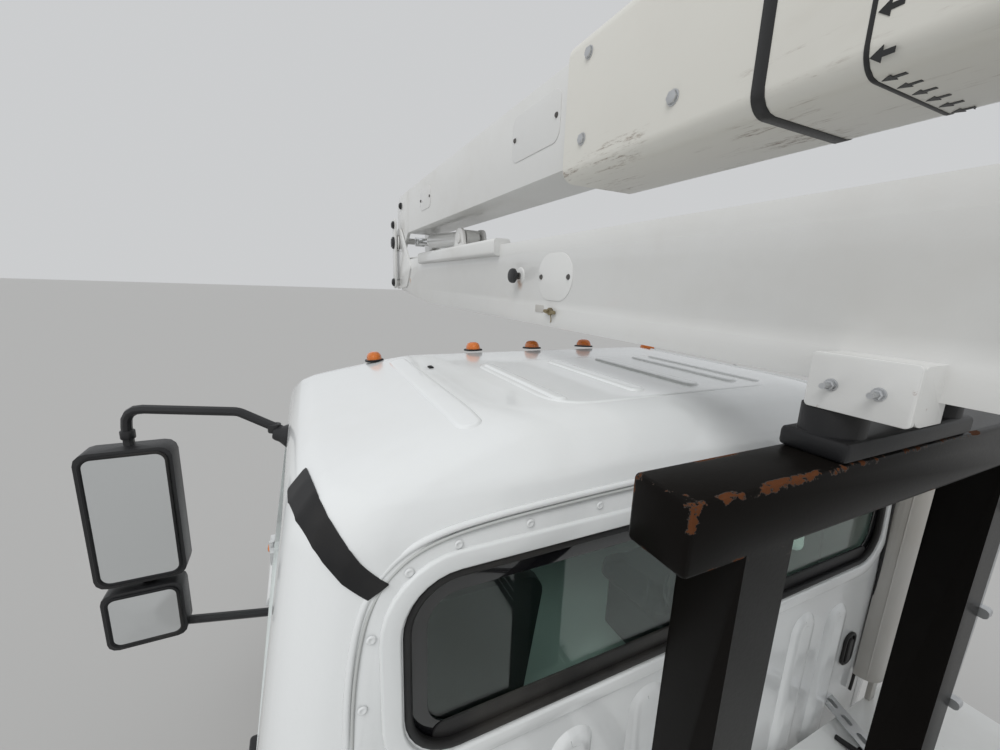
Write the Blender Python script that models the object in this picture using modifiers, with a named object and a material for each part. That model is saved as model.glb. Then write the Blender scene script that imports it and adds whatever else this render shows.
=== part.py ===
"""Aerial bucket truck: conventional cab chassis, flat service body, rear turret and a folding boom.

Metres, +Z up. The truck faces -Y, its driver's side is +X, and the ground is at Z 0.
"""

import math

import bpy
import bmesh
from mathutils import Matrix, Quaternion, Vector

# Driving dimensions of the chassis
CAB_BACK_Y = -0.740
BUMPER_TO_CAB_BACK = 2.700
BUMPER_TO_FRONT_AXLE = 1.020
CAB_BACK_TO_REAR_AXLE = 3.050
BUMPER_Y = CAB_BACK_Y - BUMPER_TO_CAB_BACK
FRONT_AXLE_Y = BUMPER_Y + BUMPER_TO_FRONT_AXLE
REAR_AXLE_Y = CAB_BACK_Y + CAB_BACK_TO_REAR_AXLE
BODY_HALF_WIDTH = 1.190

# Tyres and wheels
TYRE_RADIUS = 0.505
TYRE_WIDTH = 0.270
TYRE_SIDE = 0.205
RIM_RADIUS = 0.300
RIM_CLEARANCE = 0.0004
FRONT_WHEEL_X = 1.010
REAR_OUTER_X = 1.020
REAR_INNER_X = 0.700
HUB_RADIUS = 0.130
WHEEL_STEPS = 24

# Ladder frame
RAIL_TOP_Z = 1.000
RAIL_HEIGHT = 0.260
RAIL_WIDTH = 0.080
RAIL_WALL = 0.010
RAIL_OUTER_X = 0.432
FRAME_REAR_Y = 3.840

# Cab
CAB_FLOOR_Z = 1.180
CAB_WALL = 0.050
ROOF_Z = 2.572
ROOF_SEAM_Z = 2.430
BELT_Z = 1.640
CAB_BELT_X = 1.092
CAB_SILL_X = 1.060
CAB_ROOF_EDGE_X = 0.952
MOVING_GAP = 0.006
DOOR_REAR_Y = CAB_BACK_Y - 0.255
DOOR_FRONT_Y = CAB_BACK_Y - 1.330
GLASS_THICK = 0.006
GLASS_GAP = 0.0003

# Service body
DECK_TOP_Z = 1.415
DECK_THICK = 0.075
DECK_FRONT_Y = CAB_BACK_Y + 0.040
DECK_REAR_Y = 3.900

# Aerial device
TURRET_Y = 2.550
BOOM_PIVOT_Y = 2.750
BOOM_PIVOT_Z = 2.880
ELBOW_Y = -3.835
ELBOW_Z = 3.150
LOWER_HALF_WIDTH = 0.139
LOWER_BOTTOM_Z = 2.704
LOWER_TOP_Z = 3.008
LOWER_TIP_BOTTOM_Z = 2.770
UPPER_HALF_WIDTH = 0.124
UPPER_BOTTOM_Z = 3.212
UPPER_TOP_Z = 3.522
GLASS_HALF_WIDTH = 0.157
GLASS_BOTTOM_Z = 3.160
GLASS_TOP_Z = 3.545
GLASS_FRONT_Y = -1.355
TIP_PIVOT_Y = 3.330
TIP_PIVOT_Z = 3.340
REST_BEAM = 0.1016
REST_BEAM_TOP_Z = 2.598
REST_NEAR_Y = -0.448

SEAT_GAP = 0.0003
TUBE_ROUND = 0.008
OVERRUN = 0.050
DETAIL_STEPS = 4
SMALL_SIDES = 12
PIN_SIDES = 24

PAINT = {
    "white": ((0.83, 0.84, 0.83), 0.30, 0.0),
    "deck_white": ((0.78, 0.79, 0.78), 0.55, 0.0),
    "gelcoat": ((0.80, 0.77, 0.71), 0.35, 0.0),
    "black_steel": ((0.022, 0.022, 0.024), 0.40, 0.2),
    "chassis": ((0.030, 0.030, 0.032), 0.55, 0.3),
    "rubber": ((0.025, 0.025, 0.025), 0.80, 0.0),
    "plastic": ((0.035, 0.035, 0.037), 0.60, 0.0),
    "glass": ((0.10, 0.13, 0.12), 0.05, 0.0),
    "steel": ((0.62, 0.63, 0.65), 0.30, 1.0),
    "aluminium": ((0.74, 0.75, 0.77), 0.35, 1.0),
    "amber": ((0.90, 0.33, 0.03), 0.25, 0.0),
    "red": ((0.60, 0.02, 0.02), 0.25, 0.0),
    "grey_cloth": ((0.14, 0.14, 0.15), 0.90, 0.0),
    "iron": ((0.18, 0.17, 0.17), 0.60, 0.5),
}


def clear_scene():
    for obj in list(bpy.data.objects):
        bpy.data.objects.remove(obj, do_unlink=True)


def new_collection(name):
    collection = bpy.data.collections.new(name)
    bpy.context.scene.collection.children.link(collection)
    return collection


def make_materials():
    made = {}
    for name, (colour, roughness, metallic) in PAINT.items():
        material = bpy.data.materials.new(name)
        material.use_nodes = True
        shader = material.node_tree.nodes["Principled BSDF"]
        shader.inputs["Base Color"].default_value = (*colour, 1.0)
        shader.inputs["Roughness"].default_value = roughness
        shader.inputs["Metallic"].default_value = metallic
        made[name] = material
    return made


clear_scene()
PARTS = new_collection("bucket_truck")
CUTTERS = new_collection("bucket_truck_cutters")
MATERIALS = make_materials()


def put_in(obj, collection):
    for other in list(obj.users_collection):
        other.objects.unlink(obj)
    collection.objects.link(obj)


def helper(obj):
    """A cutter or a shape that a Boolean joins: never rendered by itself."""
    put_in(obj, CUTTERS)
    obj.hide_render = True
    obj.display_type = "WIRE"
    return obj


def finish(obj, name, material, body=None):
    """Names a finished piece, gives it its material, and hangs it on its body's axis."""
    obj.name = name
    put_in(obj, PARTS)
    obj.data.materials.clear()
    obj.data.materials.append(MATERIALS[material])
    if body is not None:
        obj.parent = body
        obj.matrix_parent_inverse = body.matrix_world.inverted()
    return obj


def axis_empty(name, location, parent=None):
    empty = bpy.data.objects.new(name, None)
    PARTS.objects.link(empty)
    empty.location = location
    bpy.context.view_layer.update()
    if parent is not None:
        empty.parent = parent
        empty.matrix_parent_inverse = parent.matrix_world.inverted()
        bpy.context.view_layer.update()
    return empty


def block(low, high, bevel=0.0, segments=2):
    """A box between two corners, its edges rounded where bevel is given."""
    low, high = Vector(low), Vector(high)
    bpy.ops.mesh.primitive_cube_add(size=1, location=(low + high) / 2)
    obj = bpy.context.object
    obj.scale = high - low
    bpy.ops.object.transform_apply(location=False, rotation=False, scale=True)
    if bevel:
        modifier = obj.modifiers.new("rounded_edges", "BEVEL")
        modifier.width = bevel
        modifier.segments = segments
    return obj


def rod(start, end, radius, sides=20, half_turn=False):
    """A round bar between two points, its facets moved on by half a facet where asked."""
    start, end = Vector(start), Vector(end)
    span = end - start
    bpy.ops.mesh.primitive_cylinder_add(
        vertices=sides, radius=radius, depth=span.length, location=(start + end) / 2
    )
    obj = bpy.context.object
    obj.rotation_mode = "QUATERNION"
    turn = math.pi / sides if half_turn else 0
    obj.rotation_quaternion = span.to_track_quat("Z", "Y") @ Quaternion((0, 0, 1), turn)
    return obj


def bore_radius(pin_radius, sides):
    """The bore in which a faceted pin of this radius turns with a seat's gap at its corners."""
    return (pin_radius + SEAT_GAP) / math.cos(math.pi / sides)


def bore(start, end, pin_radius, sides=20):
    """A cutter for a pin's hole, its flats facing the pin's corners."""
    return rod(start, end, bore_radius(pin_radius, sides), sides, half_turn=True)


def mesh_from(obj, outwards=True):
    """The evaluated curve or modified object as a plain mesh object, caps welded."""
    bpy.context.view_layer.update()
    graph = bpy.context.evaluated_depsgraph_get()
    mesh = bpy.data.meshes.new_from_object(obj.evaluated_get(graph))
    made = bpy.data.objects.new(obj.name, mesh)
    made.matrix_world = obj.matrix_world.copy()
    PARTS.objects.link(made)
    bpy.data.objects.remove(obj, do_unlink=True)
    work = bmesh.new()
    work.from_mesh(mesh)
    bmesh.ops.remove_doubles(work, verts=work.verts, dist=WELD)
    if outwards:
        bmesh.ops.recalc_face_normals(work, faces=work.faces)
    work.to_mesh(mesh)
    work.free()
    return made


WELD = 0.00002
PLANES = {
    "side": Matrix(((0, 0, 1), (1, 0, 0), (0, 1, 0))),
    "front": Matrix(((1, 0, 0), (0, 0, -1), (0, 1, 0))),
    "plan": Matrix(((1, 0, 0), (0, 1, 0), (0, 0, 1))),
}


def outline_plate(points, middle, thickness, plane, holes=()):
    """A flat outline made thick. side: (y, z) points, front: (x, z), plan: (x, y)."""
    curve = bpy.data.curves.new("outline", "CURVE")
    curve.dimensions = "2D"
    curve.fill_mode = "BOTH"
    curve.extrude = thickness / 2
    for ring in (points, *holes):
        spline = curve.splines.new("POLY")
        spline.points.add(len(ring) - 1)
        for point, (u, v) in zip(spline.points, ring):
            point.co = (u, v, 0, 1)
        spline.use_cyclic_u = True
    obj = bpy.data.objects.new("outline", curve)
    PARTS.objects.link(obj)
    turn = PLANES[plane].to_4x4()
    normal = turn.to_3x3() @ Vector((0, 0, 1))
    obj.matrix_world = Matrix.Translation(normal * (middle if plane != "front" else -middle)) @ turn
    return mesh_from(obj)


def rounded(corners, steps=DETAIL_STEPS):
    """A closed outline of (u, v, radius) corners, each round one as an arc of steps."""
    points = []
    count = len(corners)
    for i, (u, v, radius) in enumerate(corners):
        here = Vector((u, v))
        before = Vector(corners[i - 1][:2]) - here
        after = Vector(corners[(i + 1) % count][:2]) - here
        if radius <= 0:
            points.append((u, v))
            continue
        half = before.angle(after) / 2
        before.normalize()
        after.normalize()
        reach = radius / math.tan(half)
        centre = here + (before + after).normalized() * (radius / math.sin(half))
        first = here + before * reach - centre
        turn = first.angle_signed(here + after * reach - centre)
        for k in range(steps + 1):
            angle = -turn * k / steps
            cos_a, sin_a = math.cos(angle), math.sin(angle)
            spot = centre + Vector((first.x * cos_a - first.y * sin_a, first.x * sin_a + first.y * cos_a))
            points.append((spot.x, spot.y))
    return points


def tube(points, radius, sides_level=2, bend=None):
    """A round bar or pipe through points, its corners rounded to the bend radius."""
    path = bent_path([Vector(p) for p in points], bend or radius * BEND_RATIO)
    curve = bpy.data.curves.new("pipe", "CURVE")
    curve.dimensions = "3D"
    curve.bevel_depth = radius
    curve.bevel_resolution = sides_level
    curve.use_fill_caps = True
    spline = curve.splines.new("POLY")
    spline.points.add(len(path) - 1)
    for point, spot in zip(spline.points, path):
        point.co = (*spot, 1)
    obj = bpy.data.objects.new("pipe", curve)
    PARTS.objects.link(obj)
    return mesh_from(obj)


BEND_RATIO = 2.5
BEND_STEPS = 4


def bent_path(points, radius):
    """The polyline with each inner corner replaced by a short arc."""
    path = [points[0]]
    for before, here, after in zip(points, points[1:], points[2:]):
        into, out = (before - here).normalized(), (after - here).normalized()
        half = into.angle(out) / 2
        reach = min(radius / math.tan(half), (before - here).length / 2, (after - here).length / 2)
        start, end = here + into * reach, here + out * reach
        for k in range(BEND_STEPS + 1):
            t = k / BEND_STEPS
            path.append(start * (1 - t) ** 2 + here * (2 * t * (1 - t)) + end * t**2)
    path.append(points[-1])
    return path


def turned(profile, axis_point, axis, steps=WHEEL_STEPS):
    """A solid of revolution. profile: (radius, offset along the axis), outer side top to bottom."""
    mesh = bpy.data.meshes.new("profile")
    work = bmesh.new()
    spots = [work.verts.new((r, 0, h)) for r, h in profile]
    for a, b in zip(spots, spots[1:]):
        work.edges.new((a, b))
    if profile[0][0] > 0:
        work.edges.new((spots[-1], spots[0]))
    work.to_mesh(mesh)
    work.free()
    obj = bpy.data.objects.new("turned", mesh)
    PARTS.objects.link(obj)
    screw = obj.modifiers.new("turn", "SCREW")
    screw.steps = screw.render_steps = steps
    screw.use_merge_vertices = True
    screw.merge_threshold = WELD
    obj.rotation_mode = "QUATERNION"
    obj.rotation_quaternion = Vector(axis).to_track_quat("Z", "Y")
    obj.location = axis_point
    bpy.context.view_layer.update()
    return mesh_from(obj)


def boolean(target, other, operation):
    modifier = target.modifiers.new(operation.lower(), "BOOLEAN")
    modifier.operation = operation
    modifier.solver = "EXACT"
    modifier.object = helper(other)
    return target


def join(target, *others):
    for other in others:
        boolean(target, other, "UNION")
    return target


def cut(target, *others):
    for other in others:
        boolean(target, other, "DIFFERENCE")
    return target


def within(target, other):
    return boolean(target, other, "INTERSECT")


SIDES = (("left", 1), ("right", -1))


# Bodies and their axes
HOOD_HINGE_Y = BUMPER_Y + 0.150
HOOD_HINGE_Z = 0.745
HINGE_OUTSET = 0.003
KINGPIN_X = 0.800
LOWER_CYLINDER_BASE = (2.450, 2.080)
LOWER_CYLINDER_EYE = (1.350, 2.600)
ELBOW_CYLINDER_BASE = (-2.550, 3.095)
ELBOW_CYLINDER_EYE = (-3.705, 3.160)
LINK_PIN_Z = 2.830
BOX_DOOR_FRONT_Y = 0.190
BOX_OUTER_X = 1.185

base = axis_empty("base", (0, 0, 0))
hood_axis = axis_empty("hood_axis", (0, HOOD_HINGE_Y, HOOD_HINGE_Z), base)
door_axis = {}
box_door_axis = {}
knuckle_axis = {}
front_wheel_axis = {}
rear_wheel_axis = {}
for side_name, side in SIDES:
    hinge_x = side * (CAB_BELT_X + HINGE_OUTSET)
    door_axis[side] = axis_empty(f"door_axis_{side_name}", (hinge_x, DOOR_FRONT_Y, BELT_Z), base)
    spot = (side * (BOX_OUTER_X + HINGE_OUTSET), BOX_DOOR_FRONT_Y, RAIL_TOP_Z)
    box_door_axis[side] = axis_empty(f"box_door_axis_{side_name}", spot, base)
    spot = (side * KINGPIN_X, FRONT_AXLE_Y, TYRE_RADIUS)
    knuckle_axis[side] = axis_empty(f"knuckle_axis_{side_name}", spot, base)
    spot = (side * FRONT_WHEEL_X, FRONT_AXLE_Y, TYRE_RADIUS)
    front_wheel_axis[side] = axis_empty(f"front_wheel_axis_{side_name}", spot, knuckle_axis[side])
    spot = (side * REAR_OUTER_X, REAR_AXLE_Y, TYRE_RADIUS)
    rear_wheel_axis[side] = axis_empty(f"rear_wheel_axis_{side_name}", spot, base)
turret_axis = axis_empty("turret_axis", (0, TURRET_Y, DECK_TOP_Z), base)
lower_axis = axis_empty("lower_boom_axis", (0, BOOM_PIVOT_Y, BOOM_PIVOT_Z), turret_axis)
upper_axis = axis_empty("upper_boom_axis", (0, ELBOW_Y, ELBOW_Z), lower_axis)
tip_axis = axis_empty("tip_axis", (0, TIP_PIVOT_Y, TIP_PIVOT_Z), upper_axis)
bucket_axis = axis_empty("bucket_axis", (0, TIP_PIVOT_Y, TIP_PIVOT_Z), tip_axis)
lower_barrel_axis = axis_empty("lower_barrel_axis", (0, *LOWER_CYLINDER_BASE), turret_axis)
lower_rod_axis = axis_empty("lower_rod_axis", (0, *LOWER_CYLINDER_EYE), lower_barrel_axis)
elbow_barrel_axis = axis_empty("elbow_barrel_axis", (0, *ELBOW_CYLINDER_BASE), lower_axis)
elbow_rod_axis = axis_empty("elbow_rod_axis", (0, *ELBOW_CYLINDER_EYE), elbow_barrel_axis)
link_axis = axis_empty("link_axis", (0, ELBOW_Y, LINK_PIN_Z), lower_axis)

# Tyres and rims: radius and offset outwards from the tyre's middle
TYRE_TABLE = (
    (RIM_RADIUS + RIM_CLEARANCE, TYRE_SIDE / 2),
    (RIM_RADIUS + 0.025, TYRE_SIDE / 2 + 0.018),
    (0.400, TYRE_WIDTH / 2),
    (0.470, TYRE_WIDTH / 2 - 0.010),
    (TYRE_RADIUS - 0.008, TYRE_WIDTH / 2 - 0.030),
    (TYRE_RADIUS, TYRE_WIDTH / 2 - 0.055),
)
RIM_WALL = 0.014
RIM_HALF = 0.118
DISC_THICK = 0.014
HUB_NOSE = 0.060
FRONT_DISC_OFFSET = 0.060
SPINDLE_RADIUS = 0.034
AXLE_TUBE_RADIUS = 0.060
DRUM_RADIUS = 0.205


def tyre(name, centre_x, axle_y, body):
    loop = list(TYRE_TABLE) + [(radius, -offset) for radius, offset in reversed(TYRE_TABLE)]
    obj = turned(loop, (centre_x, axle_y, TYRE_RADIUS), (1, 0, 0))
    return finish(obj, name, "rubber", body)


def front_rim(name, side):
    """The rim's barrel, its disc and its hub, turned from one profile. Offsets run outwards."""
    outer = RIM_RADIUS
    inner = outer - RIM_WALL
    hub_bore = bore_radius(SPINDLE_RADIUS, WHEEL_STEPS)
    disc_in = FRONT_DISC_OFFSET
    disc_out = disc_in + DISC_THICK
    loop = [
        (outer, RIM_HALF),
        (outer, -RIM_HALF),
        (inner, -RIM_HALF),
        (inner, disc_in),
        (HUB_RADIUS, disc_in),
        (HUB_RADIUS, -HUB_NOSE),
        (hub_bore, -HUB_NOSE),
        (hub_bore, disc_out + HUB_NOSE),
        (HUB_RADIUS, disc_out + HUB_NOSE),
        (HUB_RADIUS, disc_out),
        (inner, disc_out),
        (inner, RIM_HALF),
    ]
    loop = [(radius, side * offset) for radius, offset in loop]
    obj = turned(loop, (side * FRONT_WHEEL_X, FRONT_AXLE_Y, TYRE_RADIUS), (1, 0, 0))
    return finish(obj, name, "aluminium", front_wheel_axis[side])


def rear_rim(name, side):
    """Both barrels of a twin wheel with the discs between them, the drum and the hub."""
    outer = RIM_RADIUS
    inner = outer - RIM_WALL
    middle = (REAR_OUTER_X + REAR_INNER_X) / 2
    near = REAR_INNER_X - RIM_HALF
    far = REAR_OUTER_X + RIM_HALF
    rear_bore = bore_radius(AXLE_TUBE_RADIUS, WHEEL_STEPS)
    loop = [
        (outer, far),
        (outer, near),
        (inner, near),
        (inner, middle - DISC_THICK),
        (DRUM_RADIUS, middle - DISC_THICK),
        (DRUM_RADIUS, near),
        (rear_bore, near),
        (rear_bore, REAR_OUTER_X + HUB_NOSE),
        (HUB_RADIUS, REAR_OUTER_X + HUB_NOSE),
        (HUB_RADIUS, middle + DISC_THICK),
        (inner, middle + DISC_THICK),
        (inner, far),
    ]
    loop = [(radius, side * offset) for radius, offset in loop]
    obj = turned(loop, (0, REAR_AXLE_Y, TYRE_RADIUS), (1, 0, 0))
    return finish(obj, name, "aluminium", rear_wheel_axis[side])


for side_name, side in SIDES:
    tyre(f"front_tyre_{side_name}", side * FRONT_WHEEL_X, FRONT_AXLE_Y, front_wheel_axis[side])
    tyre(f"rear_outer_tyre_{side_name}", side * REAR_OUTER_X, REAR_AXLE_Y, rear_wheel_axis[side])
    tyre(f"rear_inner_tyre_{side_name}", side * REAR_INNER_X, REAR_AXLE_Y, rear_wheel_axis[side])
    front_rim(f"front_rim_{side_name}", side)
    rear_rim(f"rear_rim_{side_name}", side)

# Running gear
SPRING_X = RAIL_OUTER_X - RAIL_WIDTH / 2
SPRING_WIDTH = 0.076
SPRING_DROP = 0.090
SPRING_THICK = 0.060
FRONT_SPRING_HALF = 0.620
REAR_SPRING_HALF = 0.640
FRONT_BEAM_DROP = 0.085
FRONT_BEAM_Z = TYRE_RADIUS - FRONT_BEAM_DROP
FRONT_BEAM_HALF_HEIGHT = 0.045
FRONT_BEAM_HALF_DEPTH = 0.050
BEAM_SHORT = 0.080
NECK_HALF = 0.036
NECK_INSET = 0.012
BOSS_RADIUS = 0.048
BOSS_HALF_HEIGHT = 0.075
KINGPIN_RADIUS = 0.020
KNUCKLE_INSET = 0.022
KINGPIN_REACH = 0.112
KNUCKLE_ARM = 0.030
KNUCKLE_GAP = 0.006
SPINDLE_END = 0.150
KNUCKLE_PLATE_X = 0.066
KNUCKLE_PLATE_THICK = 0.022
KNUCKLE_HALF = 0.055
DIFF_RADIUS = 0.200
DIFF_HALF = 0.150
AXLE_TUBE_END = 0.055
DRIVESHAFT_RADIUS = 0.050
DRIVESHAFT_FRONT_Y = -1.700
DRIVESHAFT_FRONT_Z = 0.760
RAIL_BOTTOM_Z = RAIL_TOP_Z - RAIL_HEIGHT


def leaf_spring(side, axle_y, half):
    """A leaf pack seen from the side: arched down to the axle, its eyes at the rail."""
    eye = RAIL_BOTTOM_Z - SEAT_GAP
    low = eye - SPRING_DROP
    points = [
        (axle_y - half, eye - SPRING_THICK / 2),
        (axle_y - half / 2, low - SPRING_THICK / 4),
        (axle_y, low - SPRING_THICK),
        (axle_y + half / 2, low - SPRING_THICK / 4),
        (axle_y + half, eye - SPRING_THICK / 2),
        (axle_y + half, eye),
        (axle_y + half * EYE_SHARE, eye),
        (axle_y + half / 2, low + SPRING_THICK / 2),
        (axle_y, low),
        (axle_y - half / 2, low + SPRING_THICK / 2),
        (axle_y - half * EYE_SHARE, eye),
        (axle_y - half, eye),
    ]
    return outline_plate(points, side * SPRING_X, SPRING_WIDTH, "side")


EYE_SHARE = 0.900


def front_axle():
    end = KINGPIN_X - BEAM_SHORT
    beam = block(
        (-end, FRONT_AXLE_Y - FRONT_BEAM_HALF_DEPTH, FRONT_BEAM_Z - FRONT_BEAM_HALF_HEIGHT),
        (end, FRONT_AXLE_Y + FRONT_BEAM_HALF_DEPTH, FRONT_BEAM_Z + FRONT_BEAM_HALF_HEIGHT),
    )
    for side_name, side in SIDES:
        top = RAIL_BOTTOM_Z - SPRING_DROP - SPRING_THICK / 2
        seat = block(
            (side * SPRING_X - SPRING_WIDTH / 2, FRONT_AXLE_Y - BOSS_RADIUS, FRONT_BEAM_Z),
            (side * SPRING_X + SPRING_WIDTH / 2, FRONT_AXLE_Y + BOSS_RADIUS, top),
        )
        foot = Vector((side * KINGPIN_X, FRONT_AXLE_Y, TYRE_RADIUS))
        rise = Vector((0, 0, BOSS_HALF_HEIGHT))
        boss = rod(foot - rise, foot + rise, BOSS_RADIUS)
        xs = sorted((side * KINGPIN_X, side * (end - FRONT_BEAM_HALF_DEPTH)))
        neck_low = TYRE_RADIUS - BOSS_HALF_HEIGHT + NECK_INSET
        neck = block(
            (xs[0], FRONT_AXLE_Y - NECK_HALF, neck_low),
            (xs[1], FRONT_AXLE_Y + NECK_HALF, TYRE_RADIUS + BOSS_HALF_HEIGHT - NECK_INSET),
        )
        join(beam, neck, seat, leaf_spring(side, FRONT_AXLE_Y, FRONT_SPRING_HALF), boss)
        reach = Vector((0, 0, KINGPIN_REACH + OVERRUN))
        cut(beam, bore(foot - reach, foot + reach, KINGPIN_RADIUS))
    return finish(beam, "front_axle", "chassis", base)


def knuckle(side_name, side):
    """The steering knuckle: kingpin, its two arms, the plate and the spindle."""
    foot = Vector((side * KINGPIN_X, FRONT_AXLE_Y, TYRE_RADIUS))
    reach = Vector((0, 0, KINGPIN_REACH))
    pin = rod(foot - reach, foot + reach, KINGPIN_RADIUS)
    low_arm = BOSS_HALF_HEIGHT + KNUCKLE_GAP
    plate_x = side * (KINGPIN_X + KNUCKLE_PLATE_X)
    far_x = plate_x + side * KNUCKLE_PLATE_THICK
    inner_x = side * (KINGPIN_X - KNUCKLE_INSET)
    for z in (-low_arm - KNUCKLE_ARM, low_arm):
        xs = sorted((inner_x, far_x))
        arm = block(
            (xs[0], FRONT_AXLE_Y - KNUCKLE_HALF, TYRE_RADIUS + z),
            (xs[1], FRONT_AXLE_Y + KNUCKLE_HALF, TYRE_RADIUS + z + KNUCKLE_ARM),
        )
        join(pin, arm)
    xs = sorted((plate_x, far_x))
    reach_z = low_arm + KNUCKLE_ARM / 2
    plate = block(
        (xs[0], FRONT_AXLE_Y - KNUCKLE_HALF, TYRE_RADIUS - reach_z),
        (xs[1], FRONT_AXLE_Y + KNUCKLE_HALF, TYRE_RADIUS + reach_z),
    )
    tip = Vector((side * (FRONT_WHEEL_X + SPINDLE_END), FRONT_AXLE_Y, TYRE_RADIUS))
    root = Vector((plate_x + side * KNUCKLE_PLATE_THICK / 2, FRONT_AXLE_Y, TYRE_RADIUS))
    join(pin, plate, rod(root, tip, SPINDLE_RADIUS, WHEEL_STEPS))
    return finish(pin, f"steering_knuckle_{side_name}", "chassis", knuckle_axis[side])


def rear_axle():
    centre = Vector((0, REAR_AXLE_Y, TYRE_RADIUS))
    end = Vector((REAR_OUTER_X + AXLE_TUBE_END, 0, 0))
    tube_solid = rod(centre - end, centre + end, AXLE_TUBE_RADIUS, WHEEL_STEPS)
    half = Vector((0, DIFF_HALF, 0))
    join(tube_solid, rod(centre - half, centre + half, DIFF_RADIUS))
    front = Vector((0, DRIVESHAFT_FRONT_Y, DRIVESHAFT_FRONT_Z))
    join(tube_solid, rod(centre, front, DRIVESHAFT_RADIUS, SMALL_SIDES))
    for side_name, side in SIDES:
        top = RAIL_BOTTOM_Z - SPRING_DROP - SPRING_THICK / 2
        seat = block(
            (side * SPRING_X - SPRING_WIDTH / 2, REAR_AXLE_Y - BOSS_RADIUS, TYRE_RADIUS),
            (side * SPRING_X + SPRING_WIDTH / 2, REAR_AXLE_Y + BOSS_RADIUS, top),
        )
        join(tube_solid, seat, leaf_spring(side, REAR_AXLE_Y, REAR_SPRING_HALF))
    return finish(tube_solid, "rear_axle", "chassis", base)


front_axle()
rear_axle()
for side_name, side in SIDES:
    knuckle(side_name, side)

# Frame with its cross members, steps and hangers
CROSS_TABLE = {
    "front": (-3.120, 0.100, 0.200),
    "engine_rear": (-1.950, 0.100, 0.100),
    "middle": (-0.500, 0.100, 0.200),
    "rear_spring": (1.500, 0.100, 0.160),
    "pedestal": (2.980, 0.160, 0.220),
    "tail": (3.790, 0.100, 0.260),
}
FRAME_FRONT_Y = BUMPER_Y + 0.240
STEP_REAR_Y = CAB_BACK_Y - 0.320
STEP_FRONT_Y = CAB_BACK_Y - 1.030
STEP_OUTER_X = 1.080
STEP_BOTTOM_Z = 0.430
STEP_TOP_Z = 1.020
TANK_RADIUS = 0.255
TANK_CENTRE_X = 0.790
TANK_CENTRE_Z = 0.720
TANK_FRONT_Y = -1.780
TANK_REAR_Y = -0.950
TANK_FLAT = 0.030


def ladder_frame():
    wall = RAIL_WALL
    solid = None
    for side_name, side in SIDES:
        outer = RAIL_OUTER_X
        inner = outer - RAIL_WIDTH
        points = [
            (inner, RAIL_BOTTOM_Z),
            (outer, RAIL_BOTTOM_Z),
            (outer, RAIL_TOP_Z),
            (inner, RAIL_TOP_Z),
            (inner, RAIL_TOP_Z - wall),
            (outer - wall, RAIL_TOP_Z - wall),
            (outer - wall, RAIL_BOTTOM_Z + wall),
            (inner, RAIL_BOTTOM_Z + wall),
        ]
        points = [(side * x, z) for x, z in points]
        middle = (FRAME_FRONT_Y + FRAME_REAR_Y) / 2
        rail = outline_plate(points, middle, FRAME_REAR_Y - FRAME_FRONT_Y, "front")
        solid = rail if solid is None else join(solid, rail)
    web = RAIL_OUTER_X - RAIL_WALL / 2
    for y, depth, height in CROSS_TABLE.values():
        top = (RAIL_TOP_Z + RAIL_BOTTOM_Z + height) / 2 - RAIL_WALL / 2
        top = min(top, RAIL_TOP_Z - RAIL_WALL / 2)
        low = top - height + RAIL_WALL
        join(solid, block((-web, y - depth / 2, low), (web, y + depth / 2, top)))
    return finish(solid, "ladder_frame", "chassis", base)


def step_box():
    """The battery box under the passenger's door, with the two cab steps in its face."""
    low = (-STEP_OUTER_X, STEP_FRONT_Y, STEP_BOTTOM_Z)
    high = (-(RAIL_OUTER_X + SEAT_GAP), STEP_REAR_Y, STEP_TOP_Z - RAIL_WIDTH)
    solid = block(low, high, bevel=EDGE_ROUND)
    tread = RAIL_WIDTH
    for share in STEP_SHARES:
        z = STEP_BOTTOM_Z + share * (STEP_TOP_Z - STEP_BOTTOM_Z)
        notch = block(
            (-(STEP_OUTER_X + OVERRUN), STEP_FRONT_Y + tread, z),
            (-(STEP_OUTER_X - STEP_NOTCH), STEP_REAR_Y - tread, z + STEP_NOTCH),
        )
        cut(solid, notch)
    return finish(solid, "battery_box", "black_steel", base)


EDGE_ROUND = 0.020
STEP_SHARES = (0.14, 0.52)
STEP_NOTCH = 0.140


def fuel_tank():
    """A round tank with a flattened back on the rail, and two cab steps across its front."""
    start = Vector((TANK_CENTRE_X, TANK_FRONT_Y, TANK_CENTRE_Z))
    end = Vector((TANK_CENTRE_X, TANK_REAR_Y, TANK_CENTRE_Z))
    solid = rod(start, end, TANK_RADIUS, PIN_SIDES)
    saddle = block(
        (RAIL_OUTER_X + SEAT_GAP, TANK_FRONT_Y + TANK_RADIUS, RAIL_BOTTOM_Z),
        (TANK_CENTRE_X, TANK_REAR_Y - TANK_RADIUS, RAIL_TOP_Z - TANK_FLAT),
    )
    join(solid, saddle)
    for share in TANK_STEP_SHARES:
        z = TANK_CENTRE_Z + share * TANK_RADIUS
        step = block(
            (TANK_CENTRE_X + TANK_FLAT, STEP_FRONT_Y, z),
            (STEP_OUTER_X, STEP_REAR_Y, z + TANK_FLAT),
        )
        join(solid, step)
    return finish(solid, "fuel_tank", "aluminium", base)


TANK_STEP_SHARES = (-0.80, 0.62)
ladder_frame()
step_box()
fuel_tank()

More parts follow.
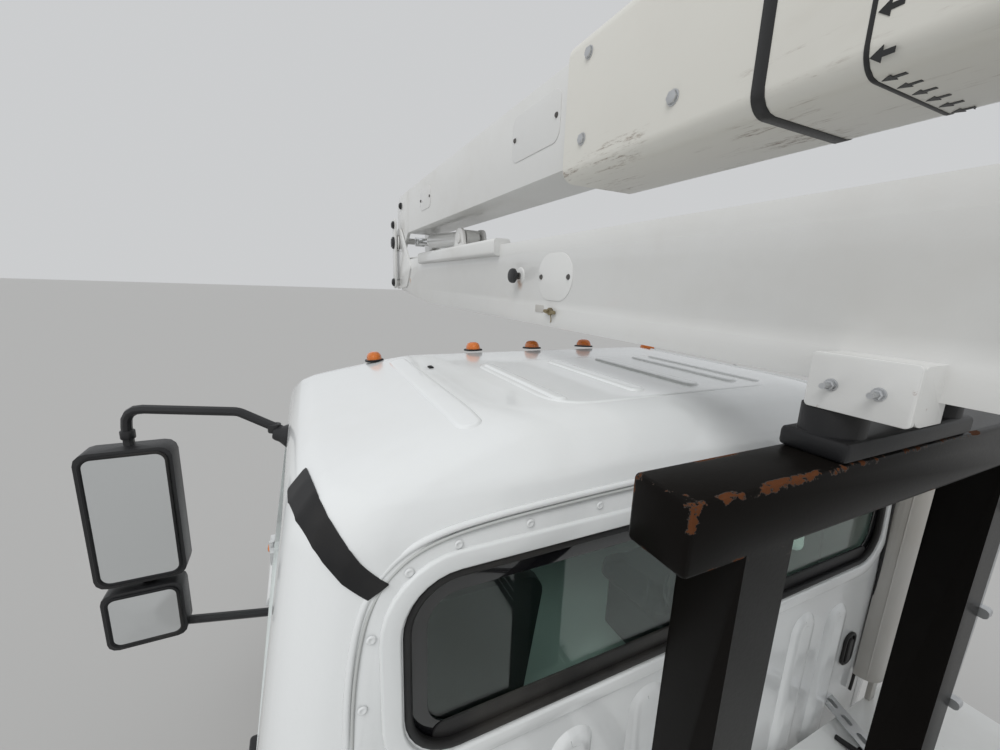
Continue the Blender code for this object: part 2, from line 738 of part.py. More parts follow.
# Front bumper
BUMPER_HALF = 1.160
BUMPER_BOTTOM_Z = 0.420
BUMPER_TOP_Z = 0.650
BUMPER_RETURN = 0.260
BUMPER_BEND = 0.140
BUMPER_SHEET = 0.012
HORN_HALF = 0.060
HORN_DROP = 0.010
POST_ROUND = 0.035
HINGE_ARM_X = 0.290
HINGE_PIN_RADIUS = 0.014
HINGE_PIN_INNER_X = 0.255
bumper_outer = [
    (-BUMPER_HALF, BUMPER_Y + BUMPER_RETURN, 0),
    (-BUMPER_HALF, BUMPER_Y, BUMPER_BEND),
    (BUMPER_HALF, BUMPER_Y, BUMPER_BEND),
    (BUMPER_HALF, BUMPER_Y + BUMPER_RETURN, 0),
    (BUMPER_HALF - BUMPER_SHEET, BUMPER_Y + BUMPER_RETURN, 0),
    (BUMPER_HALF - BUMPER_SHEET, BUMPER_Y + BUMPER_SHEET, BUMPER_BEND - BUMPER_SHEET),
    (-BUMPER_HALF + BUMPER_SHEET, BUMPER_Y + BUMPER_SHEET, BUMPER_BEND - BUMPER_SHEET),
    (-BUMPER_HALF + BUMPER_SHEET, BUMPER_Y + BUMPER_RETURN, 0),
]
bumper = outline_plate(
    rounded(bumper_outer), (BUMPER_BOTTOM_Z + BUMPER_TOP_Z) / 2, BUMPER_TOP_Z - BUMPER_BOTTOM_Z, "plan"
)
for side_name, side in SIDES:
    middle = side * (RAIL_OUTER_X - RAIL_WIDTH / 2)
    horn = block(
        (middle - HORN_HALF, BUMPER_Y + BUMPER_SHEET / 2, BUMPER_BOTTOM_Z + HORN_HALF),
        (middle + HORN_HALF, FRAME_FRONT_Y - SEAT_GAP, BUMPER_TOP_Z + HORN_DROP),
    )
    post = block(
        (middle - HORN_HALF, HOOD_HINGE_Y - POST_ROUND, BUMPER_TOP_Z - HORN_HALF),
        (middle + HORN_HALF, FRAME_FRONT_Y - SEAT_GAP, HOOD_HINGE_Z + POST_ROUND),
    )
    pin_in = Vector((side * HINGE_PIN_INNER_X, HOOD_HINGE_Y, HOOD_HINGE_Z))
    pin_out = Vector((middle, HOOD_HINGE_Y, HOOD_HINGE_Z))
    join(bumper, horn, post, rod(pin_in, pin_out, HINGE_PIN_RADIUS))
finish(bumper, "front_bumper", "white", base)

# Cab shell: a side outline and a front outline, crossed, then hollowed the same way
COWL_FRONT_Y = -2.300
COWL_TOP_Z = 1.770
WINDSCREEN_FOOT = (-2.245, 1.800)
WINDSCREEN_HEAD = (-1.860, 2.450)
ROOF_NOSE_Y = -1.760
ROOF_CROWN_X = 0.560
SHOULDER_LEAN = 0.020
CAB_SIDE = (
    (COWL_FRONT_Y, CAB_FLOOR_Z, 0),
    (COWL_FRONT_Y, COWL_TOP_Z, 0.030),
    (*WINDSCREEN_FOOT, 0.020),
    (*WINDSCREEN_HEAD, 0.080),
    (ROOF_NOSE_Y, ROOF_Z, 0.150),
    (CAB_BACK_Y - SHOULDER_LEAN, ROOF_Z, 0.170),
    (CAB_BACK_Y, 1.900, 0.080),
    (CAB_BACK_Y, CAB_FLOOR_Z, 0),
)
CAB_FRONT_HALF = (
    (CAB_SILL_X, CAB_FLOOR_Z, 0),
    (CAB_BELT_X, BELT_Z, 0.300),
    (CAB_ROOF_EDGE_X + 0.010, ROOF_SEAM_Z + 0.050, 0.100),
    (ROOF_CROWN_X, ROOF_Z, 0.300),
)
CAB_FRONT_CORNER = 0.060
CAB_REAR_CORNER = 0.150
CAB_CORNER_LEAST = 0.010
LEVEL_LEAST = 0.012
LEVEL_CLEAR = 0.003


def both_sides(half):
    """A closed front outline from its +X half, listed from the bottom up."""
    return [*half, *[(-x, z, radius) for x, z, radius in reversed(half)]]


def inset(corners, distance):
    """The corners (u, v, radius) moved inwards by a distance, for the inner face of a sheet."""
    points = [Vector(corner[:2]) for corner in corners]
    area = sum(a.x * b.y - b.x * a.y for a, b in zip(points, points[1:] + points[:1]))
    turn = 1 if area > 0 else -1
    moved = []
    count = len(points)
    for i, (u, v, radius) in enumerate(corners):
        here = points[i]
        into = (here - points[i - 1]).normalized()
        out = (points[(i + 1) % count] - here).normalized()
        normal_in = Vector((-into.y, into.x)) * turn
        normal_out = Vector((-out.y, out.x)) * turn
        middle = (normal_in + normal_out).normalized()
        spot = here + middle * (distance / max(middle.dot(normal_in), MITRE_LEAST))
        hollow = (into.x * out.y - into.y * out.x) * turn < 0
        grown = radius + distance if hollow else radius - distance
        moved.append((spot.x, spot.y, max(grown, 0) if radius else 0))
    return moved


MITRE_LEAST = 0.3
CAB_STEPS = 3
CORNER_STEPS = 4


def span_at(outline, height):
    """The least and the most first coordinate of a closed outline at one height."""
    heights = [v for _, v in outline]
    height = min(max(height, min(heights)), max(heights))
    found = []
    for (u1, v1), (u2, v2) in zip(outline, outline[1:] + outline[:1]):
        if min(v1, v2) <= height <= max(v1, v2):
            share = (height - v1) / (v2 - v1) if v2 != v1 else 0
            found += [u1 + share * (u2 - u1)] if v2 != v1 else [u1, u2]
    return min(found), max(found)


def levels_of(*outlines):
    """The heights where any of the outlines turns, those that nearly meet left out."""
    heights = sorted({v for outline in outlines for _, v in outline})
    kept = [heights[0]]
    for height in heights[1:-1]:
        if height - kept[-1] > LEVEL_LEAST and heights[-1] - height > LEVEL_CLEAR:
            kept.append(height)
    return [*kept, heights[-1]]


def cab_ring(front_y, rear_y, half, height, depth):
    """One level of the cab as a rectangle with round corners, anticlockwise from above."""
    ring = []
    corners = (
        (half, rear_y, CAB_REAR_CORNER - depth, 0),
        (-half, rear_y, CAB_REAR_CORNER - depth, 1),
        (-half, front_y, CAB_FRONT_CORNER - depth, 2),
        (half, front_y, CAB_FRONT_CORNER - depth, 3),
    )
    for x, y, corner, quarter in corners:
        radius = max(corner, CAB_CORNER_LEAST)
        way = math.copysign(radius, y - (front_y + rear_y) / 2)
        centre = Vector((x - math.copysign(radius, x), y - way))
        for step in range(CORNER_STEPS + 1):
            angle = (quarter + step / CORNER_STEPS) * math.pi / 2
            ring.append((centre.x + radius * math.cos(angle), centre.y + radius * math.sin(angle), height))
    return ring


def lofted(rings):
    """One closed solid through rings that hold the same number of points."""
    count = len(rings[0])
    shape = bmesh.new()
    levels = [[shape.verts.new(point) for point in ring] for ring in rings]
    for low, high in zip(levels, levels[1:]):
        for i in range(count):
            j = (i + 1) % count
            shape.faces.new((low[i], low[j], high[j], high[i]))
    shape.faces.new(list(reversed(levels[0])))
    shape.faces.new(levels[-1])
    bmesh.ops.triangulate(shape, faces=shape.faces[:])
    mesh = bpy.data.meshes.new("loft")
    shape.to_mesh(mesh)
    shape.free()
    made = bpy.data.objects.new("loft", mesh)
    PARTS.objects.link(made)
    return made


def cab_volume(depth):
    """The cab's whole volume, its faces moved inwards by depth."""
    side = [tuple(point) for point in rounded(inset(CAB_SIDE, depth), CAB_STEPS)]
    front = [tuple(point) for point in rounded(inset(both_sides(CAB_FRONT_HALF), depth), CAB_STEPS)]
    rings = []
    for height in levels_of(side, front):
        front_y, rear_y = span_at(side, height)
        rings.append(cab_ring(front_y, rear_y, span_at(front, height)[1], height, depth))
    return lofted(rings)


DOOR_BOTTOM_Z = 1.246
DOOR_TOP_Z = 2.395
DOOR_OUTLINE = (
    (DOOR_FRONT_Y, DOOR_BOTTOM_Z, 0.050),
    (DOOR_FRONT_Y, 1.790, 0.040),
    (WINDSCREEN_HEAD[0] + 0.020, DOOR_TOP_Z, 0.050),
    (DOOR_REAR_Y, DOOR_TOP_Z, 0.090),
    (DOOR_REAR_Y, DOOR_BOTTOM_Z, 0.050),
)
WINDOW_OUTLINE = (
    (DOOR_FRONT_Y + 0.085, 1.720, 0.040),
    (DOOR_FRONT_Y + 0.105, 1.840, 0.020),
    (WINDSCREEN_HEAD[0] + 0.060, DOOR_TOP_Z - 0.065, 0.040),
    (DOOR_REAR_Y - 0.070, DOOR_TOP_Z - 0.065, 0.050),
    (DOOR_REAR_Y - 0.070, 1.720, 0.050),
)
SCREEN_HALF = (
    (0.930, WINDSCREEN_FOOT[1] + 0.045, 0.050),
    (0.815, WINDSCREEN_HEAD[1] - 0.050, 0.070),
)
REAR_WINDOW_HALF = (
    (0.800, 1.985, 0.100),
    (0.785, 2.350, 0.100),
)
GLASS_DEPTH = 0.020
SIDE_STEPS = 3
SWEEP_SLACK = 0.001
SWEEP_SIDES = 96


def door_prism(side, gap):
    """The door's outline as a prism on one side of the cab, moved inwards by gap."""
    points = rounded(inset(DOOR_OUTLINE, gap), SIDE_STEPS)
    prism = outline_plate(points, side * CAB_BELT_X, CAB_BELT_X, "side")
    return prism


def door_sweep(side):
    """The cylinder that the door's rear edge sweeps, so that no part of it meets the pillar."""
    foot = Vector((side * (CAB_BELT_X + HINGE_OUTSET), DOOR_FRONT_Y, DOOR_BOTTOM_Z - OVERRUN))
    head = Vector((foot.x, foot.y, DOOR_TOP_Z + OVERRUN))
    reach = DOOR_REAR_Y - DOOR_FRONT_Y - MOVING_GAP + SWEEP_SLACK
    return rod(foot, head, reach, SWEEP_SIDES)


def window_prism(side, gap):
    points = rounded(inset(WINDOW_OUTLINE, gap), SIDE_STEPS)
    return outline_plate(points, side * CAB_BELT_X, CAB_BELT_X, "side")


def screen_prism(gap):
    points = rounded(inset(both_sides(SCREEN_HALF), gap), SIDE_STEPS)
    front_y = WINDSCREEN_FOOT[0] - OVERRUN
    rear_y = WINDSCREEN_HEAD[0] + CAB_WALL + OVERRUN
    return outline_plate(points, (front_y + rear_y) / 2, rear_y - front_y, "front")


def rear_prism(gap, depth):
    points = rounded(inset(both_sides(REAR_WINDOW_HALF), gap), SIDE_STEPS)
    return outline_plate(points, CAB_BACK_Y - CAB_WALL / 2, depth, "front")


HINGE_KNUCKLE_RADIUS = 0.012
HINGE_LEAF_IN = 0.060
HINGE_LEAF_REACH = 0.055
HINGE_KNUCKLE_HALF = 0.030
HINGE_END_HEIGHT = 0.024
CAB_HINGE_HEIGHTS = (1.340, 1.640)
CAB_MOUNT_PLACES = (-2.180, -0.860)
CAB_MOUNT_HALF = 0.038


def hinge(moving, fixed, side, x, y, z, leaf_in):
    """One hinge: the moving knuckle between two fixed ones, each on its own leaf."""
    levels = (
        (moving, z - HINGE_KNUCKLE_HALF, z + HINGE_KNUCKLE_HALF, 1),
        (fixed, z + HINGE_KNUCKLE_HALF + SEAT_GAP, z + HINGE_KNUCKLE_HALF + HINGE_END_HEIGHT, -1),
        (fixed, z - HINGE_KNUCKLE_HALF - HINGE_END_HEIGHT, z - HINGE_KNUCKLE_HALF - SEAT_GAP, -1),
    )
    half_height = HINGE_KNUCKLE_HALF + HINGE_END_HEIGHT + MOVING_GAP
    for target in (moving, fixed):
        low_end = Vector((side * x, y, z - half_height))
        high_end = Vector((side * x, y, z + half_height))
        cut(target, rod(low_end, high_end, HINGE_KNUCKLE_RADIUS + MOVING_GAP, SMALL_SIDES))
    for target, low, high, way in levels:
        low_end, high_end = Vector((side * x, y, low)), Vector((side * x, y, high))
        knuckle_solid = rod(low_end, high_end, HINGE_KNUCKLE_RADIUS, SMALL_SIDES)
        xs = sorted((side * (x - leaf_in), side * (x + HINGE_KNUCKLE_RADIUS / 2)))
        ys = sorted((y + way * SEAT_GAP, y + way * HINGE_LEAF_REACH))
        leaf = block((xs[0], ys[0], low + LEAF_TRIM), (xs[1], ys[1], high - LEAF_TRIM))
        join(target, knuckle_solid, leaf)


LEAF_TRIM = 0.001


MIRROR_ARM_RADIUS = 0.015
MIRROR_POST = (1.445, -1.800)
MIRROR_ARM_TOP_Z = 2.415
MIRROR_ARM_FOOT = (0.960, -1.600, 2.335)
MIRROR_ARM_KNEE = (1.120, -1.660)
MIRROR_LOW_FOOT = (1.060, -1.730, 1.600)
MIRROR_LOW_Z = 1.625
MIRROR_BEND = 0.060
MIRROR_FOOT_HALF = 0.030
MIRROR_GLASS_Y = -1.745
MIRROR_HEADS = {
    "main": (1.325, 1.570, 1.830, 2.295, 0.082, 0.034),
    "convex": (1.345, 1.565, 1.595, 1.805, 0.075, 0.030),
}


def mirror(side_name, side):
    """A mirror's tube frame on the door, with its main and its convex head in one solid."""
    post_x, post_y = MIRROR_POST
    knee_x, knee_y = MIRROR_ARM_KNEE
    path = (
        MIRROR_ARM_FOOT,
        (knee_x, knee_y, MIRROR_ARM_TOP_Z),
        (post_x, post_y, MIRROR_ARM_TOP_Z),
        (post_x, post_y, MIRROR_LOW_Z),
        MIRROR_LOW_FOOT,
    )
    solid = tube([(side * x, y, z) for x, y, z in path], MIRROR_ARM_RADIUS, bend=MIRROR_BEND)
    for x, y, z in (MIRROR_ARM_FOOT, MIRROR_LOW_FOOT):
        low = (side * x - MIRROR_FOOT_HALF, y - MIRROR_FOOT_HALF, z - MIRROR_FOOT_HALF)
        high = (side * x + MIRROR_FOOT_HALF, y + MIRROR_FOOT_HALF, z + MIRROR_FOOT_HALF)
        join(solid, block(low, high, bevel=TUBE_ROUND))
    for inner, outer, low_z, high_z, deep, corner in MIRROR_HEADS.values():
        xs = sorted((side * inner, side * outer))
        corners = [
            (xs[0], low_z, corner),
            (xs[1], low_z, corner),
            (xs[1], high_z, corner),
            (xs[0], high_z, corner),
        ]
        middle = MIRROR_GLASS_Y - deep / 2
        join(solid, outline_plate(rounded(corners, SIDE_STEPS), middle, deep, "front"))
    cut(solid, cab_volume(-SEAT_GAP))
    return finish(solid, f"mirror_{side_name}", "plastic", door_axis[side])


def cab_parts():
    outer = cab_volume(0)
    inner = cab_volume(CAB_WALL)
    cut(outer, inner)
    whole = mesh_from(outer, outwards=False)
    shell = copy_of(whole)
    cut(shell, screen_prism(0), rear_prism(0, CAB_WALL + 2 * OVERRUN))
    for side_name, side in SIDES:
        cut(shell, door_prism(side, 0))
        door = copy_of(whole)
        within(door, door_prism(side, MOVING_GAP))
        within(door, door_sweep(side))
        cut(door, window_prism(side, 0))
        for z in CAB_HINGE_HEIGHTS:
            hinge(door, shell, side, CAB_BELT_X + HINGE_OUTSET, DOOR_FRONT_Y, z, HINGE_LEAF_IN)
        finish(door, f"cab_door_{side_name}", "white", door_axis[side])
        glass = cab_volume(GLASS_DEPTH)
        cut(glass, cab_volume(GLASS_DEPTH + GLASS_THICK))
        within(glass, window_prism(side, GLASS_GAP))
        finish(glass, f"door_glass_{side_name}", "glass", door_axis[side])
    for y in CAB_MOUNT_PLACES:
        for side_name, side in SIDES:
            middle = side * (RAIL_OUTER_X - RAIL_WIDTH / 2)
            mount = block(
                (middle - CAB_MOUNT_HALF, y - CAB_MOUNT_HALF, RAIL_TOP_Z + SEAT_GAP),
                (middle + CAB_MOUNT_HALF, y + CAB_MOUNT_HALF, CAB_FLOOR_Z + CAB_WALL / 2),
            )
            join(shell, mount)
    finish(shell, "cab_shell", "white", base)
    for side_name, side in SIDES:
        mirror(side_name, side)
    screen = cab_volume(GLASS_DEPTH)
    cut(screen, cab_volume(GLASS_DEPTH + GLASS_THICK))
    within(screen, screen_prism(GLASS_GAP))
    finish(screen, "windscreen", "glass", base)
    finish(rear_prism(GLASS_GAP, GLASS_THICK), "rear_window", "glass", base)
    bpy.data.objects.remove(whole, do_unlink=True)


def copy_of(obj):
    made = bpy.data.objects.new(obj.name, obj.data.copy())
    made.matrix_world = obj.matrix_world.copy()
    PARTS.objects.link(made)
    return made


cab_parts()

# Cab interior
SEAT_X = 0.560
SEAT_HALF = 0.250
CAB_INNER_FLOOR_Z = CAB_FLOOR_Z + CAB_WALL
SEAT_OUTLINE = (
    (-1.560, CAB_INNER_FLOOR_Z + SEAT_GAP, 0),
    (-1.560, 1.420, 0.030),
    (-1.640, 1.440, 0.030),
    (-1.640, 1.590, 0.060),
    (-1.210, 1.570, 0.020),
    (-1.080, 2.160, 0.060),
    (-0.960, 2.160, 0.060),
    (-1.060, 1.420, 0.060),
    (-1.120, 1.400, 0.020),
    (-1.120, CAB_INNER_FLOOR_Z + SEAT_GAP, 0),
)
DASH_CLEAR = 0.003
DASH_OUTLINE = (
    (COWL_FRONT_Y + CAB_WALL + SEAT_GAP, CAB_INNER_FLOOR_Z + 0.250, 0),
    (COWL_FRONT_Y + CAB_WALL + SEAT_GAP, COWL_TOP_Z - CAB_WALL - DASH_CLEAR, 0.010),
    (-2.000, 1.690, 0.040),
    (-1.920, 1.600, 0.040),
    (-1.970, 1.480, 0.030),
)
DASH_HALF = 0.960
COLUMN_FOOT = (SEAT_X, -1.970, 1.600)
COLUMN_HEAD = (SEAT_X, -1.760, 1.860)
COLUMN_RADIUS = 0.032
WHEEL_RING_RADIUS = 0.215
WHEEL_RIM_RADIUS = 0.014
WHEEL_RING_STEPS = 24
WHEEL_RIM_STEPS = 6
SPOKE_SIDES = 8
SPOKE_HALF = 0.016


def seat(side_name, side):
    solid = outline_plate(rounded(SEAT_OUTLINE, SIDE_STEPS), side * SEAT_X, 2 * SEAT_HALF, "side")
    return finish(solid, f"seat_{side_name}", "grey_cloth", base)


def dashboard():
    """The dash across the cab, with the steering column and the wheel joined to it."""
    solid = outline_plate(rounded(DASH_OUTLINE, SIDE_STEPS), 0, 2 * DASH_HALF, "side")
    foot, head = Vector(COLUMN_FOOT), Vector(COLUMN_HEAD)
    join(solid, rod(foot, head, COLUMN_RADIUS, SMALL_SIDES))
    bpy.ops.mesh.primitive_torus_add(
        major_segments=WHEEL_RING_STEPS,
        minor_segments=WHEEL_RIM_STEPS,
        major_radius=WHEEL_RING_RADIUS,
        minor_radius=WHEEL_RIM_RADIUS,
        location=head,
    )
    ring = bpy.context.object
    axis = (head - foot).normalized()
    ring.rotation_mode = "QUATERNION"
    ring.rotation_quaternion = axis.to_track_quat("Z", "Y")
    join(solid, ring)
    across = axis.cross(Vector((1, 0, 0))).normalized()
    arm = Vector((WHEEL_RING_RADIUS, 0, 0))
    join(solid, rod(head - arm, head + arm, SPOKE_HALF, SPOKE_SIDES))
    join(solid, rod(head, head + across * WHEEL_RING_RADIUS, SPOKE_HALF, SPOKE_SIDES))
    return finish(solid, "dashboard", "plastic", base)


dashboard()
for side_name, side in SIDES:
    seat(side_name, side)

# Hood with its front wings, hollow below, and the engine under it
HOOD_REAR_Y = COWL_FRONT_Y - 0.010
HOOD_FRONT_Y = BUMPER_Y + 0.060
HOOD_SHEET = 0.028
WING_X = 1.185
WING_BOTTOM_Z = 0.780
WING_TOP_Z = 1.290
ARCH_RADIUS = 0.640
HOOD_SIDE = (
    (HOOD_REAR_Y, WING_BOTTOM_Z, 0),
    (HOOD_REAR_Y, COWL_TOP_Z - 0.005, 0),
    (HOOD_FRONT_Y + 0.060, 1.560, 0.140),
    (HOOD_FRONT_Y, 1.300, 0.100),
    (HOOD_FRONT_Y, WING_BOTTOM_Z, 0),
)
HOOD_FRONT_HALF = (
    (WING_X, WING_BOTTOM_Z, 0),
    (WING_X - 0.010, WING_TOP_Z, 0.180),
    (0.800, WING_TOP_Z + 0.080, 0.120),
    (0.700, COWL_TOP_Z - 0.005, 0.200),
)
HOOD_PLAN_HALF = (
    (WING_X + OVERRUN, HOOD_REAR_Y + OVERRUN, 0),
    (WING_X + OVERRUN, FRONT_AXLE_Y - 0.300, 0.200),
    (0.960, HOOD_FRONT_Y + 0.020, 0.250),
    (0.000, HOOD_FRONT_Y - 0.030, 0.0),
)
HOOD_SPAN = 3.600
HINGE_ARM_HALF = 0.020
HINGE_EYE_RADIUS = 0.035
ENGINE_HALF = RAIL_OUTER_X - RAIL_WIDTH - SEAT_GAP
ENGINE_LOW = (-ENGINE_HALF, -3.000, 0.800)
ENGINE_HIGH = (ENGINE_HALF, -2.360, 1.420)


def hood_volume(depth):
    """The hood's volume with its faces moved inwards by depth."""
    side_points = rounded(inset(HOOD_SIDE, depth), SIDE_STEPS)
    front_points = rounded(inset(both_sides(HOOD_FRONT_HALF), depth), SIDE_STEPS)
    plan = [*HOOD_PLAN_HALF, *[(-x, y, r) for x, y, r in reversed(HOOD_PLAN_HALF[:-1])]]
    plan_points = rounded(inset(plan, depth), SIDE_STEPS)
    solid = outline_plate(side_points, 0, HOOD_SPAN, "side")
    middle = (HOOD_REAR_Y + HOOD_FRONT_Y) / 2
    within(solid, outline_plate(front_points, middle, HOOD_SPAN, "front"))
    within(solid, outline_plate(plan_points, COWL_TOP_Z / 2, HOOD_SPAN, "plan"))
    return mesh_from(solid)


def lamp_prism(side, gap):
    points = rounded(inset([(side * x, z, radius) for x, z, radius in LAMP_OUTLINE], gap), SIDE_STEPS)
    return outline_plate(points, HOOD_FRONT_Y, FRONT_CUT_DEPTH, "front")


def grille():
    """The grille in its opening in the hood's front: one sheet with a row of slots through it."""
    middle = HOOD_FRONT_Y + GRILLE_DEPTH + GRILLE_THICK / 2
    points = rounded(inset(both_sides(GRILLE_HALF), SEAT_GAP), SIDE_STEPS)
    solid = outline_plate(points, middle, GRILLE_THICK, "front")
    pitch = (GRILLE_SLOT_TOP_Z - GRILLE_SLOT_LOW_Z) / GRILLE_SLOTS
    for number in range(GRILLE_SLOTS):
        low = GRILLE_SLOT_LOW_Z + pitch * number
        cut(solid, block(
            (-GRILLE_SLOT_HALF, middle - GRILLE_THICK, low),
            (GRILLE_SLOT_HALF, middle + GRILLE_THICK, low + pitch * GRILLE_SLOT_SHARE),
        ))
    return finish(solid, "grille", "plastic", hood_axis)


def headlamps():
    for side_name, side in SIDES:
        lens = hood_volume(LAMP_DEPTH)
        cut(lens, hood_volume(LAMP_DEPTH + LAMP_THICK))
        within(lens, lamp_prism(side, SEAT_GAP))
        finish(lens, f"headlamp_{side_name}", "glass", hood_axis)


def hood():
    solid = hood_volume(0)
    hollow = hood_volume(HOOD_SHEET)
    cut(solid, hollow)
    open_below = block(
        (-WELL_HALF, HOOD_FRONT_Y + WELL_INSET, WING_BOTTOM_Z - OVERRUN),
        (WELL_HALF, HOOD_REAR_Y + OVERRUN, WING_BOTTOM_Z + HOOD_SHEET + OVERRUN),
    )
    rear_hole = hood_volume(HOOD_SHEET)
    rear_hole.location.y += 2 * HOOD_SHEET
    cut(solid, open_below, rear_hole)
    axle = Vector((0, FRONT_AXLE_Y, TYRE_RADIUS + ARCH_LIFT))
    reach = Vector((WING_X + OVERRUN, 0, 0))
    cut(solid, rod(axle - reach, axle + reach, ARCH_RADIUS, ARCH_SIDES))
    grille_points = rounded(both_sides(GRILLE_HALF), SIDE_STEPS)
    cut(solid, outline_plate(grille_points, HOOD_FRONT_Y, FRONT_CUT_DEPTH, "front"))
    cut(solid, *[lamp_prism(side, 0) for _, side in SIDES])
    for side_name, side in SIDES:
        x = side * HINGE_ARM_X
        arm = outline_plate(
            [
                (HOOD_HINGE_Y - HINGE_EYE_RADIUS, HOOD_HINGE_Z),
                (HOOD_HINGE_Y + HINGE_EYE_RADIUS, HOOD_HINGE_Z),
                (HOOD_HINGE_Y + HINGE_EYE_RADIUS, WING_BOTTOM_Z + 2 * HINGE_EYE_RADIUS),
                (HOOD_FRONT_Y + HOOD_SHEET / 2, WING_BOTTOM_Z + 2 * HINGE_EYE_RADIUS),
                (HOOD_FRONT_Y + HOOD_SHEET / 2, WING_BOTTOM_Z + HOOD_SHEET / 2),
            ],
            x,
            2 * HINGE_ARM_HALF,
            "side",
        )
        pin = Vector((x, HOOD_HINGE_Y, HOOD_HINGE_Z))
        half = Vector((HINGE_ARM_HALF, 0, 0))
        join(solid, arm, rod(pin - half, pin + half, HINGE_EYE_RADIUS))
        cut(solid, bore(pin - 2 * half, pin + 2 * half, HINGE_PIN_RADIUS))
    return finish(solid, "hood", "white", hood_axis)


WELL_INSET = 0.036
WELL_HALF = 1.147
FRONT_CUT_DEPTH = 0.240
ARCH_LIFT = 0.060
ARCH_SIDES = 32
GRILLE_HALF = (
    (0.440, 0.920, 0.050),
    (0.520, 1.240, 0.050),
)
GRILLE_DEPTH = 0.004
GRILLE_THICK = 0.020
GRILLE_SLOTS = 5
GRILLE_SLOT_LOW_Z = 0.965
GRILLE_SLOT_TOP_Z = 1.215
GRILLE_SLOT_HALF = 0.410
GRILLE_SLOT_SHARE = 0.560
LAMP_OUTLINE = (
    (0.600, 0.960, 0.040),
    (0.900, 0.960, 0.060),
    (0.900, 1.210, 0.060),
    (0.620, 1.210, 0.040),
)
LAMP_DEPTH = 0.004
LAMP_THICK = 0.012
hood()
grille()
headlamps()
finish(block(ENGINE_LOW, ENGINE_HIGH, bevel=EDGE_ROUND), "engine", "iron", base)

# Service body: deck, sills, under-deck boxes and skirts in one weldment
SILL_X = 0.395
SILL_WIDTH = 0.074
BOX_INNER_X = 0.620
BOX_BOTTOM_Z = 0.640
BOX_REAR_Y = 1.600
BOX_WALL = 0.030
BOX_FRAME = 0.060
TAIL_BOX_FRONT_Y = 2.960
TAIL_STEP_DEPTH = 0.100
TAIL_STEP_HEIGHT = 0.120
DECK_BOTTOM_Z = DECK_TOP_Z - DECK_THICK
BOX_DOOR_THICK = 0.028
BOX_LEAF_IN = 0.020
BOX_HINGE_HEIGHTS = (0.820, 1.140)
CROSS_SILLS = (-0.500, 0.100, 1.700, 2.980)
CROSS_SILL_HALF = 0.040


def service_body():
    solid = block(
        (-BODY_HALF_WIDTH, DECK_FRONT_Y, DECK_BOTTOM_Z),
        (BODY_HALF_WIDTH, DECK_REAR_Y, DECK_TOP_Z),
    )
    for y in CROSS_SILLS:
        low = DECK_BOTTOM_Z - 2 * CROSS_SILL_HALF
        sill = block(
            (-BOX_INNER_X, y - CROSS_SILL_HALF, low),
            (BOX_INNER_X, y + CROSS_SILL_HALF, DECK_BOTTOM_Z + DECK_THICK / 2),
        )
        join(solid, sill)
    for side_name, side in SIDES:
        sill = block(
            (side * SILL_X - SILL_WIDTH / 2, DECK_FRONT_Y, RAIL_TOP_Z + SEAT_GAP),
            (side * SILL_X + SILL_WIDTH / 2, DECK_REAR_Y, DECK_TOP_Z - DECK_THICK / 2),
        )
        xs = sorted((side * BOX_INNER_X, side * BOX_OUTER_X))
        front_box = block(
            (xs[0], BOX_DOOR_FRONT_Y - BOX_FRAME, BOX_BOTTOM_Z),
            (xs[1], BOX_REAR_Y, DECK_TOP_Z - DECK_THICK / 2),
        )
        tail_box = block(
            (xs[0], TAIL_BOX_FRONT_Y, BOX_BOTTOM_Z),
            (xs[1], DECK_REAR_Y, DECK_TOP_Z - DECK_THICK / 2),
        )
        join(solid, sill, front_box, tail_box)
        xs = sorted((side * (BOX_INNER_X + BOX_WALL), side * (BOX_OUTER_X + OVERRUN)))
        hollow = block(
            (xs[0], BOX_DOOR_FRONT_Y, BOX_BOTTOM_Z + BOX_FRAME),
            (xs[1], BOX_REAR_Y - BOX_FRAME, DECK_BOTTOM_Z - BOX_FRAME),
        )
        cut(solid, hollow)
        door_rear = BOX_REAR_Y - BOX_FRAME - MOVING_GAP
        xs = sorted((side * (BOX_OUTER_X - BOX_DOOR_THICK), side * BOX_OUTER_X))
        lid = block(
            (xs[0], BOX_DOOR_FRONT_Y + MOVING_GAP, BOX_BOTTOM_Z + BOX_FRAME + MOVING_GAP),
            (xs[1], door_rear, DECK_BOTTOM_Z - BOX_FRAME - MOVING_GAP),
        )
        for z in BOX_HINGE_HEIGHTS:
            hinge(lid, solid, side, BOX_OUTER_X + HINGE_OUTSET, BOX_DOOR_FRONT_Y, z, BOX_LEAF_IN)
        finish(lid, f"toolbox_door_{side_name}", "white", box_door_axis[side])
    step = block(
        (-BODY_HALF_WIDTH, DECK_REAR_Y - OVERRUN, BOX_BOTTOM_Z),
        (BODY_HALF_WIDTH, DECK_REAR_Y + TAIL_STEP_DEPTH, BOX_BOTTOM_Z + TAIL_STEP_HEIGHT),
    )
    join(solid, step)
    return finish(solid, "service_body", "deck_white", base)


service_body()

# Boom rest: two posts and a beam of square tube, and the rubber pad on it
POST_LEFT_X = 0.360
POST_RIGHT_X = -0.520
BEAM_LEFT_X = 0.525
BEAM_RIGHT_X = -0.575
PAD_HALF = (0.150, 0.050)
PAD_RADIUS = 0.045
PAD_X = 0.215
PAD_PLACE_X = 0.165
SADDLE_OUTER_X = 0.200
SADDLE_BOTTOM_Z = 2.672
SADDLE_TOP_Z = 2.757
SADDLE_FRONT_Y = -0.520
SADDLE_REAR_Y = -0.392
SADDLE_ROUND = 0.022
FOOT_PLATE_HALF = 0.110
FOOT_PLATE_THICK = 0.012
REST_Y = REST_NEAR_Y - REST_BEAM / 2


